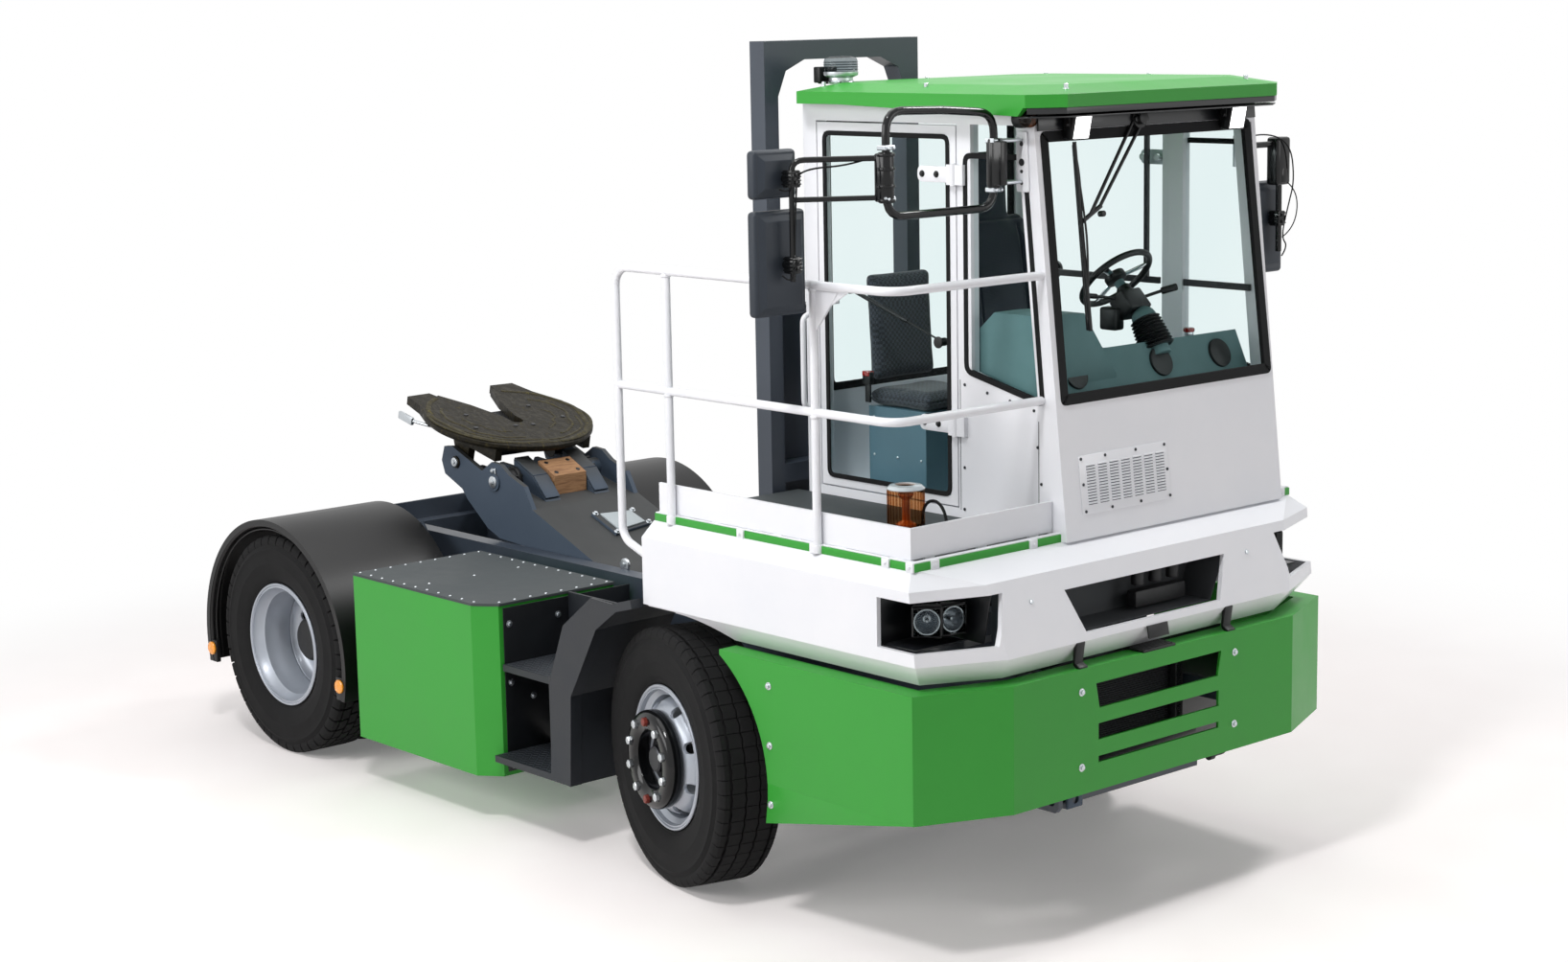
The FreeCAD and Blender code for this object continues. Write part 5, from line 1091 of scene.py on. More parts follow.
def chequer(low, high):
    """Short raised bars, turned crosswise in turn, over a level area between two corners."""
    columns, rows = [int((high[axis] - low[axis]) / TREAD_PITCH) for axis in (0, 1)]
    places = []
    for column in range(columns):
        for row in range(rows):
            spot = Vector((low[0] + (column + 0.5) * (high[0] - low[0]) / columns,
                           low[1] + (row + 0.5) * (high[1] - low[1]) / rows, high[2]))
            places.append(Matrix.Translation(spot) @ turned(45 if (column + row) % 2 else -45, "Z"))
    return copies(slab(-BAR_HALF, BAR_HALF, 1.6, 1), places)


for sign, side in SIDES:
    areas = []
    for front, inner, outer, height in ((2225, 800, 1160, 730), (2185, 900, 1218, 330)):
        y_low, y_high = sorted((sign * inner, sign * outer))
        areas.append(chequer(at(1775, y_low, height), at(front, y_high, height)))
    upper, lower = areas
    dress(join(upper, lower), f"step_treads_{side}", tread_steel)
print("treads")

# %% [markdown]
# ## Bumper
# The bumper is a deep ring of folded plate bolted to the frame. Behind its slots stands a finned cooler
# with a copper pipe. Fins are far too many to show one by one in the real thing, about 3 mm apart, so
# they are drawn 9 mm apart. Black panels behind the slots are painted shade, dark where the inside of
# the bumper lies in shadow.

# %% Cooler fins, pipe and painted shade behind the slots
FACE_X = (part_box("front_cooler")[1][0] - AXLE_X) * 1000
fin = slab(at(FACE_X, -325, 0), at(FACE_X + 9, 325, 2.5), 0.5, 1)
fins = copies(fin, [Matrix.Translation((0, 0, z / 1000)) for z in range(700, 985, 9)])
dress(fins, "cooler_fins", dark_steel)
bend = ((330, 962), (-300, 962), (-334, 955), (-338, 915), (-338, 720))
pipe = tube([at(FACE_X + 22, y, z) for y, z in bend], 7)
dress(pipe, "cooler_pipe", copper)
# Black panels: painted shade behind the bumper's slots, so the floor does not show through.
dress(panel(FACE_X + 40, (-372, 372), (586, 672), 4), "low_slot_shade_panel", panel_black)
side_shade_panel = panel((4260, 4420), 250, (560, 1040), 4)
rear_shade_panel = panel(4200, (120, 790), (484, 1046), 4)
dress(join(side_shade_panel, rear_shade_panel), "slot_shade_panels", panel_black)
print("cooler", len(fins.data.polygons))

# %% [markdown]
# The bumper's sides run on below its front edge as skirts, deepest beside the wheels. A skirt is a flat
# plate in the plane of the side, so it is that triangle-like outline, grown inwards to its thickness.

# %% Bumper skirts and bolts
bumper_low, bumper_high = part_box("bumper")
BUMPER_LOW = bumper_low[2] * 1000
BUMPER_X = (bumper_high[0] - AXLE_X) * 1000
BUMPER_Y = -bumper_low[1] * 1000
outline = [(4395, BUMPER_LOW + 1), (3577, BUMPER_LOW + 1), (3575, 500), (3561, 400)]
skirts = [plate([at(x, sign * BUMPER_Y, z) for x, z in outline], (0, -sign * 0.012, 0)) for sign in (-1, 1)]
dress(join(*skirts), "bumper_skirts", green)
front_spots = [facing(at(BUMPER_X, y, z), (1, 0, 0)) for y in (-455, 455) for z in (673, 970)]
side_spots = [facing(at(3594, sign * BUMPER_Y, z), (0, sign, 0)) for sign in (-1, 1) for z in (482, 721, 961)]
dress(copies(hex_bolt(17, 8, 2.5), front_spots + side_spots), "bumper_bolts", zinc)
print("bumper bolts", len(front_spots + side_spots))

# %% [markdown]
# A rubber-faced step pad sits on the bumper's top edge, and two straps hook the body down beside it.
# Each strap is a bent strip, so its side outline is drawn once and grown to its width.

# %% Step pad and straps


def strap(y, wide_mm):
    """A bent black strap over the edge between body and bumper."""
    outline = [at(4519, y, 1168), at(4536, y, 1158), at(4524, y, 1080), at(4549, y, 1066), at(4549, y, 1052),
               at(4541, y, 1052), at(4515, y, 1070), at(4512, y, 1084)]
    return plate(outline, (0, wide_mm / 1000, 0), 1.2)


hooks = [strap(-462, 46), strap(416, 46)]
dress(join(*hooks), "body_straps", black_abs)
pad = slab(at(4440, -95, 1058), at(4550, 95, 1070), 3)
rows = slab(at(4450, -88, 1070), at(4456, 88, 1074), 1, 1)
rows = copies(rows, [Matrix.Translation((step * 0.014, 0, 0)) for step in range(7)])
nose = plate([at(4532, -60, 1160), at(4541, -60, 1110), at(4541, 60, 1110), at(4532, 60, 1160)],
             (0.006, 0, 0), 1)
dress(join(nose, rows, pad), "step_pad", black_abs)
print("straps and pad")

# %% [markdown]
# ## Front body
# Two round-cornered recesses hold the headlamps: a cast housing, two bowls with stepped chrome
# reflectors and a clear cover. A spun profile makes a bowl with its rings in one go.

# %% Headlamps


def lamp_bowl(radius_mm, deep_mm):
    """Stepped reflector bowl that opens towards -Y, with its bulb shield."""
    r, d = radius_mm, deep_mm
    return spun([(r, 0), (r, -4), (r - 5, -4), (r - 8, 2), (r * 0.8, d * 0.35), (r * 0.78, d * 0.4),
                 (r * 0.6, d * 0.62), (r * 0.58, d * 0.68), (r * 0.3, d * 0.9), (r * 0.16, d * 0.9),
                 (r * 0.16, d * 0.2), (r * 0.1, d * 0.12), (0, d * 0.12), (0, d), (r, d)], 40)


def square_lamp(width_mm, tall_mm, deep_mm):
    """Lamp unit facing -Y: a bevelled square body with a framed mouth."""
    w, t = width_mm / 2000, tall_mm / 2000
    body = slab((-w, 0, -t), (w, deep_mm / 1000, t), 9, 3)
    return press(body, (0, -1, 0), 0.006, (0, deep_mm / 1000 - 0.012, 0))


LAMP_Z = 1302.0
for sign, side in SIDES:
    twin_spots = []
    for x, y, toe in ((4318, 1046, 44), (4352, 934, 12)):
        turn = turned(90 + sign * toe, "Z")
        twin_spots.append(Matrix.Translation(at(x, sign * y, LAMP_Z)) @ turn)
    bodies = copies(square_lamp(118, 122, 90), twin_spots)
    dress(bodies, f"headlamp_bodies_{side}", gloss_black)
    bowls = copies(lamp_bowl(50, 60), [spot @ Matrix.Translation((0, 0.014, 0)) for spot in twin_spots])
    dress(bowls, f"headlamp_bowls_{side}", lamp_chrome)
    cover = slab((-0.053, 0.005, -0.055), (0.053, 0.009, 0.055), 1.5)
    dress(copies(cover, twin_spots), f"headlamp_covers_{side}", lamp_cover)
    tray = panel((4150, 4330), (sign * 860, sign * 1120), 1204, 6)
    wall = panel(4160, (sign * 830, sign * 1150), (1204, 1404), -6)
    inner = plate([at(4160, sign * 830, 1204), at(4420, sign * 850, 1204), at(4440, sign * 830, 1404),
                   at(4160, sign * 830, 1404)], (0, sign * -0.006, 0), 1)
    lined = dress(join(tray, inner, wall), f"headlamp_pocket_{side}", panel_black)
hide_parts("headlamps")
print("headlamps")

# %% [markdown]
# The mouth in the front is lined in black, and steel bolts hold the body's frame at each side of it.

# %% Mouth liner and body bolts
mouth = [(-486, 1372), (-402, 1180), (402, 1180), (486, 1372)]
liner = chain([at(4470, y, z) for y, z in mouth], True)
bpy.ops.mesh.delete(type="ONLY_FACE")
bpy.ops.mesh.select_all(action="SELECT")
bpy.ops.mesh.extrude_region_move(TRANSFORM_OT_translate={"value": (-0.17, 0, 0)})
bpy.ops.mesh.edge_face_add()
leave_edit()
mend(liner)
modified(liner, "SOLIDIFY", thickness=0.003)
dress(liner, "mouth_liner", liner_grey)
bars = [drum(at(4380, y, 1285), at(4380, y, 1340), 26, 20, 4) for y in (60, 165, 270)]
valves = [slab(at(4350, 30, 1196), at(4400, 330, 1262), 6), *bars]
dress(join(*valves), "mouth_fittings", cast_black)
body_spots = [(609, 1348), (656, 1219), (-661, 1345), (-624, 1218)]
bolts = [facing(at(4503 if z < 1300 else 4479, y, z), (1, 0, 0.27)) for y, z in body_spots]
dress(copies(hex_bolt(17, 7, 2.5), bolts), "body_bolts", zinc)
print("mouth and bolts")

# %% [markdown]
# ## Deck edge
# A green rubbing strip runs round the top of the body under a white cap, held by small square clips.
# Strip and cap follow the same corners, so both are grown from one path.

# %% Rubbing strip, cap and clips
DECK_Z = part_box("deck_plate")[0][2] * 1000
STRIP_Y = 1094.0
FRONT_X = 4308.0
REAR_X = (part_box("front_body")[0][0] - AXLE_X) * 1000


def edge_band(low, high, proud, thick):
    """A band round the right side and the front of the deck, from low to high."""
    y0, x1 = -(STRIP_Y + proud), FRONT_X + proud
    outline = [at(REAR_X + 2, y0, low), at(x1, y0, low), at(x1, -y0, low), at(x1 - thick, -y0, low),
               at(x1 - thick, y0 + thick, low), at(REAR_X + 2, y0 + thick, low)]
    return plate(outline, (0, 0, (high - low) / 1000), 1.0)


dress(edge_band(DECK_Z - 1, DECK_Z + 30, 6, 8), "rubbing_strip", green)
dress(edge_band(DECK_Z + 30, DECK_Z + 35, 2, 26), "strip_cap", white_enamel)
clip = slab((-0.02, -0.006, -0.019), (0.02, 0.006, 0.019), 2)
stud = settle(hex_bolt(9, 4, 1), facing((0, -0.006, 0), (0, -1, 0)))
clip = join(stud, clip)
spots = [Matrix.Translation(at(x, -(STRIP_Y + 8), DECK_Z + 15)) for x in (2900, 3330, 3760, 4160, 4290)]
crosswise = turned(90, "Z")
spots += [Matrix.Translation(at(FRONT_X + 8, y, DECK_Z + 15)) @ crosswise
          for y in (-1000, -470, 60, 590, 1040)]
dress(copies(clip, spots), "strip_clips", white_enamel)
print("strip clips", len(spots))

# %% Railing sockets and welds
collars = [drum(at(x, -1100, DECK_Z), at(x, -1100, DECK_Z + 34), 23, 24, 3) for x in (2900, 3780)]
foot = drum(at(2756, -1100, 1330), at(REAR_X, -1100, 1330), 33, 24, 3)
bead = spun([(17, -6), (21, -3), (21.5, 3), (17, 6)], 24)
welds = copies(bead, [Matrix.Translation(at(x, -1100, z - 18)) @ turned(90, "X")
                      for x in (2900, 3780) for z in (2530, 2045)])
dress(join(welds, *collars, foot), "railing_sockets", white_enamel)
print("railing")

# %% [markdown]
# ## Cab trim
# Each pane sits in a black rubber gasket with rounded corners. A gasket is a flat ring, so it starts as
# the pane's outline, is inset by its width, loses its middle and is grown to its thickness. That keeps
# one outline per window, where four joined bars would show their mitres.

# %% Gaskets


def rounded_loop(corners, bend_mm, closed=True, steps=5):
    """A path whose corners are rounded off over bend_mm."""
    points = []
    for index, corner in enumerate(corners):
        if not closed and index in (0, len(corners) - 1):
            points.append(corner)
            continue
        before, after = corners[index - 1], corners[(index + 1) % len(corners)]
        start = corner + (before - corner).normalized() * bend_mm / 1000
        end = corner + (after - corner).normalized() * bend_mm / 1000
        for step in range(steps + 1):
            share = step / steps
            points.append(start.lerp(corner, share).lerp(corner.lerp(end, share), share))
    return points


def gasket_ring(corners, wide_mm, depth, bend_mm=42):
    """A flat rubber ring just inside the corners, grown by depth."""
    piece = chain(rounded_loop(corners, bend_mm), True)
    bpy.ops.mesh.inset(thickness=wide_mm / 1000, use_even_offset=True)
    bpy.ops.mesh.delete(type="FACE")
    bpy.ops.mesh.select_all(action="SELECT")
    bpy.ops.mesh.extrude_region_move(TRANSFORM_OT_translate={"value": Vector(depth)})
    leave_edit()
    mend(piece)
    return soften(piece, 1.5, 1)


CAB_SIDE_Y = -310.0
CAB_MID_Y = 350.0
LEAN = math.radians(6.0)
OUTWARD = Vector((math.cos(LEAN), 0, math.sin(LEAN)))


def on_front(y, z, proud=0.0):
    """A point on the raked front of the cab, standing proud of it."""
    return at(4345 - (z - 1500) * math.tan(LEAN), y, z) + OUTWARD * proud / 1000


def on_side(x, z, proud=0.0):
    """A point on the cab's right wall, standing proud of it."""
    return at(x, CAB_SIDE_Y - proud, z)


def to_left(piece):
    """A copy of a piece on the cab's other wall, mirrored in the cab's middle."""
    flip = Matrix.Translation((0, 2 * CAB_MID_Y / 1000, 0)) @ Matrix.Scale(-1, 4, (0, 1, 0))
    return mend(settle(twin_of(piece), flip))


def on_doors(piece, name, finish):
    """Dresses a piece on the right door, and its mirror image on the left one."""
    twin = to_left(piece)
    dress(piece, f"right_door_{name}", finish, "right_door")
    dress(twin, f"left_door_{name}", finish, "left_door")


door_corners = [on_side(x, z, -3) for x, z in ((2980, 1604), (3720, 1604), (3720, 3058), (2980, 3058))]
on_doors(gasket_ring(door_corners, 20, (0, -0.008, 0)), "gasket", gasket)
quarter = [on_side(x, z, -14) for x, z in ((3796, 2116), (4232, 2016), (4136, 2988), (3796, 2988))]
rings = [gasket_ring(quarter, 22, (0, -0.018, 0))]
rings.append(to_left(rings[0]))
screen = [on_front(y, z, -16) for y, z in ((-282, 2026), (999, 2026), (976, 3076), (-282, 3076))]
rings.append(gasket_ring(screen, 42, OUTWARD * 0.02, 30))
rear = [at(2882, y, z) for y, z in ((-222, 1948), (922, 1948), (922, 3100), (-222, 3100))]
rings.append(gasket_ring(rear, 34, (0.014, 0, 0), 60))
dress(join(*rings), "window_gaskets", gasket)
print("gaskets", len(rings) + 2)

# %% [markdown]
# The driver's side has sliding panes in a dark frame: a rail across the glass and an upright between the
# halves. On the door they ride with the door.

# %% Sliding window frames
LEFT_GLASS_Y = 984.0


def window_bar(x0, x1, z0, z1):
    """A dark aluminium bar on the inside of the left-hand glass."""
    return slab(at(x0, LEFT_GLASS_Y - 12, z0), at(x1, LEFT_GLASS_Y + 5, z1), 1.5, 1)


bars = [window_bar(3002, 3698, 2362, 2390), window_bar(3612, 3634, 2386, 3040)]
dress(join(*bars), "left_door_slider_frame", panel_black, "left_door")
dress(window_bar(3806, 4192, 2362, 2390), "left_quarter_slider_frame", panel_black)

# %% [markdown]
# ## Door furniture
# The glass door hangs on two strap hinges bolted through the pane, a gas strut slows it, and a round
# knob turns the latch. All of it is fixed to the door, so it rides on the door's body.

# %% Hinges, strut and latch knob
straps, hinge_bolts = [], []
for z in (1900, 2900):
    corners = [on_side(x, z + dz, 9) for x, dz in ((3554, -32), (3738, -32), (3738, 32), (3554, 32))]
    straps.append(plate(rounded_loop(corners, 28), (0, -0.007, 0)))
    for x in (3582, 3662):
        hinge_bolts.append(facing(on_side(x, z, 16), (0, -1, 0)))
        straps.append(drum(on_side(x, z, -16), on_side(x, z, 10), 15, 20, 1))
strap_piece = join(*straps)
bolt_piece = copies(hex_bolt(15, 7, 2), hinge_bolts)
on_doors(strap_piece, "hinge_straps", white_enamel)
on_doors(bolt_piece, "hinge_bolts", black_abs)

strut_start, strut_end = at(3110, -278, 2402), at(3640, -278, 2225)
barrel_end = strut_start.lerp(strut_end, 0.62)
strut = [drum(strut_start, barrel_end, 9, 16, 1), drum(barrel_end, strut_end, 4, 12, 0)]
strut += [drum(at(x, -294, z), at(x, -262, z), 17, 20, 2) for x, z in ((3110, 2402), (3640, 2225))]
strut += [drum(at(3640, -298, 2225), at(3640, -306, 2225), 24, 24, 2)]
dress(join(*strut), "right_door_gas_strut", black_abs, "right_door")
knob = spun([(0, 0), (30, 0), (38, 6), (40, 14), (37, 22), (30, 26), (26, 22), (12, 24), (0, 24)], 32)
settle(knob, Matrix.Translation(at(3026, -338, 2380)) @ turned(180, "Z"))
on_doors(knob, "knob", black_abs)
print("doors furnished")

# %% [markdown]
# A white tube on the rear pillar is the hand hold for climbing in. Tubes with tight bends are drawn as
# a path with rounded corners, so that the straight runs stay straight.

# %% Hand hold, gusset and wall screws


def bent(corners, radius_mm, bend_mm):
    """A round tube along straight runs with rounded corners."""
    return tube(rounded_loop(corners, bend_mm, False), radius_mm, order=2)


grip = [at(2920, y, z) for y, z in ((-308, 2290), (-385, 2290), (-385, 1897), (-308, 1897))]
holds = [bent(grip, 12, 38)]
holds += [drum(at(2920, -310, z), at(2920, -318, z), 24, 24, 2) for z in (2290, 1897)]
gusset = plate([at(3790, -1103, 2514), at(3985, -1103, 2519), at(3850, -1103, 2440), at(3790, -1103, 2420)],
               (0, 0.006, 0), 1.5)
dress(join(gusset, *holds), "hand_hold", white_enamel)

wall_screws = [(3797, 2069), (3921, 2047), (4045, 2027), (4173, 2001), (3795, 1904), (3793, 1734),
               (3791, 1564), (4192, 1858), (4211, 1715)]
vent_screws = [(-200, 1812), (-60, 1812), (120, 1812), (292, 1812), (300, 1712), (306, 1606), (130, 1606),
               (-40, 1606), (-192, 1606), (-196, 1712)]
spots = [facing(on_side(x, z, 0), (0, -1, 0)) for x, z in wall_screws]
spots += [facing(on_front(y, z, 3), OUTWARD) for y, z in vent_screws]
screw = drum((0, 0, 0), (0, 0, 0.003), 6.5, 14, 1)
dress(copies(screw, spots), "wall_screws", dark_steel)
seam = [slab(on_side(4196, 1560, 0.2), on_side(4198.5, 1960, 1.2), 0),
        slab(on_side(3770, 2088, 0.2), on_side(3772, 1560, 1.2), 0)]
dress(join(*seam), "wall_seams", gasket)
print("screws", len(spots))

# %% [markdown]
# The heater draws its air through a louvred plate on the cab's front. One louvre is a pressed hood over
# a dark strip, painted shade for the opening under it. It is laid out in seven columns of fourteen on
# the leaning wall.

# %% Louvred plate
vent = plate([on_front(-212, 1594, 0.3), on_front(312, 1594, 0.3), on_front(306, 1825, 0.3),
              on_front(-212, 1825, 0.3)], OUTWARD * 0.003, 1)
hood = slab((-0.026, -0.0008, 0), (0.026, 0.0052, 0.0042), 1.2, 1)
# Dark strip under each hood: painted shade in the louvre's opening.
slot = slab((-0.025, -0.0042, 0), (0.025, -0.001, 0.0006), 0)
places = [facing(on_front(-148 + column * 68, 1634 + row * 11.4, 3.2), OUTWARD)
          for column in range(7) for row in range(14)]
hoods = copies(hood, places)
dress(join(hoods, vent), "heater_louvres", white_enamel)
dress(copies(slot, places), "heater_slot_shades", anthracite)
print("louvres", len(places))

# %% [markdown]
# ## Seats
# Foam under woven cloth swells between its seams. Each cushion starts as a slightly small block with
# side bolsters, is remeshed into even squares, and is then blown up a little by the cloth solver, with a
# limit on how far a point may go. The sewn channels are pressed in afterwards, since a remesh would
# wipe them out. Modelling the crown by hand would take longer and look stiffer.

# %% Padding


def foam_block(seat, outline, half_mm, bolster=None, round_mm=26):
    """A side outline in millimetres from the seat's middle, grown across it, with round side bolsters."""
    x0, y0, z0 = seat
    block = plate([at(x0 + x, y0 - half_mm, z0 + z) for x, z in outline], (0, half_mm / 500, 0), round_mm, 4)
    if not bolster:
        return block
    start, end, radius = bolster
    rolls = []
    for y in (y0 - half_mm + radius * 0.9, y0 + half_mm - radius * 0.9):
        low, high = [at(x0 + x, y, z0 + z) for x, z in (start, end)]
        rolls.append(drum(low, high, radius, 20, radius * 0.6))
    return join(*rolls, block)


VOXEL = 0.009
PRESSURE = 4.0
FRAMES = 20


def swell(piece, limit_mm):
    """Even remesh, then cloth pressure for twenty frames with the points kept within a limit."""
    modified(piece, "REMESH", mode="VOXEL", voxel_size=VOXEL)
    modified(piece, "SMOOTH", iterations=6)
    rest = [vertex.co.copy() for vertex in piece.data.vertices]
    cover = piece.modifiers.new("cover", "CLOTH")
    cover.settings.use_pressure = True
    cover.settings.uniform_pressure_force = PRESSURE
    cover.settings.quality = 4
    cover.settings.effector_weights.gravity = 0.0
    for moment in range(1, FRAMES + 1):
        bpy.context.scene.frame_set(moment)
    choose(piece)
    bpy.ops.object.modifier_apply(modifier=cover.name)
    bpy.context.scene.frame_set(1)
    for vertex, start in zip(piece.data.vertices, rest):
        move = vertex.co - start
        if move.length > limit_mm / 1000:
            vertex.co = start + move.normalized() * limit_mm / 1000
    modified(piece, "SMOOTH", iterations=4)
    return modified(piece, "SUBSURF", levels=1, render_levels=1)


def sew(piece, lines, deep_mm=7.0, wide_mm=7.0):
    """Presses sewn channels into a pad. A line is an axis, a place on it in metres and a test of the spot."""
    piece.data.update()
    outward = [vertex.normal.copy() for vertex in piece.data.vertices]
    for vertex, normal in zip(piece.data.vertices, outward):
        push = 0.0
        for axis, place, inside in lines:
            if inside(vertex.co):
                push = max(push, math.exp(-((vertex.co[axis] - place) * 1000 / wide_mm) ** 2))
        if push > 0.02:
            vertex.co -= normal * deep_mm / 1000 * push
    return piece


def upholster(piece, name, cloth_finish, node):
    """Dresses a pad and hides the CAD node that it stands for."""
    dress(piece, name, cloth_finish, smooth=60)
    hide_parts(node)


SEAT = SEAT_X, SEAT_Y, SEAT_Z = 3460.0, 460.0, 1845.0
HELP = HELP_X, HELP_Y, HELP_Z = 3280.0, 0.0, 1905.0

# %% Driver's cushion and back
cushion = foam_block(SEAT, [(-250, 16), (190, 16), (206, 54), (186, 92), (-60, 82), (-250, 80)], 228,
                     ((-210, 76), (150, 82), 34))
swell(cushion, 14)


def on_top(spot):
    """Whether a spot is on the cushion's upper side."""
    return spot.z > (SEAT_Z + 50) / 1000


sew(cushion, [(1, (SEAT_Y - 148) / 1000, on_top), (1, (SEAT_Y + 148) / 1000, on_top),
              (0, at(SEAT_X + 60, 0, 0).x, on_top)])
upholster(cushion, "driver_cushion_padded", blue_cloth, "driver_seat_cushion")
seat_back = foam_block(SEAT, [(-236, 130), (-146, 130), (-196, 470), (-250, 820), (-322, 820), (-270, 420)],
                       216, ((-172, 180), (-244, 740), 36))
rest_pad = foam_block(SEAT, [(-318, 800), (-262, 800), (-288, 1104), (-346, 1104)], 126)
seat_back = swell(join(rest_pad, seat_back), 12)
upright = [(1, (SEAT_Y + side * 140) / 1000, lambda spot: spot.z < (SEAT_Z + 780) / 1000) for side in (-1, 1)]
level = [(2, (SEAT_Z + z) / 1000, lambda spot: True) for z in (330, 560, 806)]
sew(seat_back, upright + level)
upholster(seat_back, "driver_back_padded", blue_cloth, "driver_seat_back")
print("driver's seat", len(cushion.data.polygons), len(seat_back.data.polygons))

# %% Helper's cushion and back
cushion = foam_block(HELP, [(-192, 14), (178, 14), (190, 42), (176, 68), (-192, 64)], 190)
swell(cushion, 14)
sew(cushion, [(2, (HELP_Z + 40) / 1000, lambda spot: True)], 5.0, 5.0)
upholster(cushion, "helper_cushion_padded", check_cloth, "passenger_seat_cushion")
helper_back = foam_block(HELP, [(-184, 100), (-132, 100), (-160, 558), (-212, 558)], 180, round_mm=22)
swell(helper_back, 10)
upholster(helper_back, "helper_back_padded", check_cloth, "passenger_seat_back")
print("helper's seat", len(cushion.data.polygons), len(helper_back.data.polygons))

# %% [markdown]
# The belt's buckle is a moulded block on a stalk beside the cushion, with a red button. Red again is the
# stop button on the dash. Domed rivets close the sheet box under the seat.

# %% Buckle, stop button and seat box rivets
stalk = slab(at(HELP_X - 158, HELP_Y - 224, HELP_Z + 20), at(HELP_X - 128, HELP_Y - 212, HELP_Z + 104), 4)
buckle = slab(at(HELP_X - 166, HELP_Y - 232, HELP_Z + 96), at(HELP_X - 118, HELP_Y - 206, HELP_Z + 150), 6)
dress(join(stalk, buckle), "belt_stalk", black_abs)
button = slab(at(HELP_X - 162, HELP_Y - 236, HELP_Z + 132), at(HELP_X - 122, HELP_Y - 202, HELP_Z + 154), 4)
stop_base = drum(at(4106, 690, 2196), at(4106, 690, 2212), 19, 24, 1)
stop = drum(at(4106, 690, 2210), at(4106, 690, 2230), 24, 28, 7)
dress(join(button, stop), "red_buttons", red_lens)
rivets = [facing(at(x, -180, z), (0, -1, 0)) @ rivet_up
          for x in (3130, 3270, 3410) for z in (1580, 1700, 1860)]
dress(join(stop_base, copies(rivet(6, 3.5), rivets)), "seat_box_rivets", zinc)
print("belt and rivets")

# %% [markdown]
# ## Steering wheel and dashboard
# The rim is moulded in black on three polished spokes, square to the raked column. A torus gives the
# rim, and a matrix along the column's line places everything on it.

# %% Steering wheel
WHEEL_AT = at(3909.6, 460, 2439.4)
COLUMN_WAY = Vector((-1, 0, 1)).normalized()
on_column = facing(WHEEL_AT, COLUMN_WAY)
bpy.ops.object.select_all(action="DESELECT")
bpy.ops.mesh.primitive_torus_add(major_radius=0.160, minor_radius=0.0135, major_segments=72,
                                 minor_segments=16)
rim = settle(bpy.context.object, on_column)
hub = drum((0, 0, -0.012), (0, 0, 0.018), 46, 40, 5)
horn = drum((0, 0, 0.016), (0, 0, 0.026), 28, 32, 3)
dress(join(rim, settle(join(horn, hub), on_column)), "steering_rim", black_abs, "steering_wheel")
spoke = slab((-0.013, 0.040, -0.004), (0.013, 0.158, 0.003), 1.5)
spokes = copies(spoke, [on_column @ turned(angle, "Z") for angle in (60, 180, 300)])
dress(spokes, "steering_spokes", chrome, "steering_wheel")
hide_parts("steering_wheel")
print("steering wheel")

# %% Column gaiter, switch pod and lever
knee, foot = at(4065, 460, 2284), at(4150, 460, 2140)
folds = []
for index in range(9):
    folds += [(52 + index * 1.2, index * 15.0), (64 + index * 1.5, index * 15.0 + 7.5)]
gaiter = settle(spun([(40, 0)] + folds + [(66, 134), (40, 134)], 40),
                facing(knee, foot - knee) @ turned(90, "X"))
sleeve = drum(at(4068, 460, 2281), at(3946, 460, 2403), 31, 28, 4)
pod = slab((-0.062, -0.045, -0.05), (0.062, 0.045, 0.05), 10, 3)
settle(pod, facing(at(3996, 452, 2340), COLUMN_WAY))
lock = slab(at(3905, 360, 2236), at(3995, 420, 2330), 12, 3)
lever = tube([at(3985, 500, 2352), at(4010, 560, 2372), at(4058, 610, 2392)], 7)
grip = drum(at(4040, 590, 2384), at(4086, 640, 2402), 15, 20, 6)
left_lever = tube([at(3970, 410, 2362), at(3938, 340, 2376), at(3928, 300, 2380)], 6)
left_grip = drum(at(3932, 318, 2378), at(3924, 270, 2384), 11, 16, 4)
dress(join(gaiter, sleeve, pod, lock, lever, grip, left_lever, left_grip), "column_controls", black_abs)
print("column controls")

# %% [markdown]
# Round air vents sit in the slope that faces the windscreen. Each is a shallow dish with vanes across.

# %% Dash vents and switches
SLOPE = Vector((0.91, 0, 0.414)).normalized()


def air_vent(radius_mm):
    """A dished round vent with vanes, facing +Z."""
    bowl = spun([(0, 12), (radius_mm * 0.8, 12), (radius_mm * 0.86, 2), (radius_mm * 0.92, -6),
                 (radius_mm, -6), (radius_mm * 1.03, 0), (radius_mm * 1.03, 14), (0, 14)], 40)
    vanes = [slab((-radius_mm * 0.00075, y - 0.001, -0.006), (radius_mm * 0.00075, y + 0.001, 0.004), 0)
             for y in (-0.03, -0.015, 0.0, 0.015, 0.03)]
    return join(*vanes, settle(bowl, turned(-90, "X")))


spots = [facing(at(4172, y, 2119), SLOPE) for y in (-70, 440, 808)]
discs = copies(drum((0, 0, 0.003), (0, 0, 0.006), 58, 40, 1), spots)
dress(join(discs, copies(air_vent(60), spots)), "dash_vents", black_abs)
switches = [slab(at(3900 + row * 42, 250 + step * 40, 2146), at(3930 + row * 42, 280 + step * 40, 2166), 3)
            for row in range(2) for step in range(3)]
dress(join(*switches), "dash_switches", black_abs)
print("dash dressed")

# %% [markdown]
# ## Roof, header and work lamps
# The overhang is closed from below by a black liner, and a black header runs over the windscreen. Both
# are flat sheets, so each is an outline grown by its thickness. Two square lamps hang there, switched on.

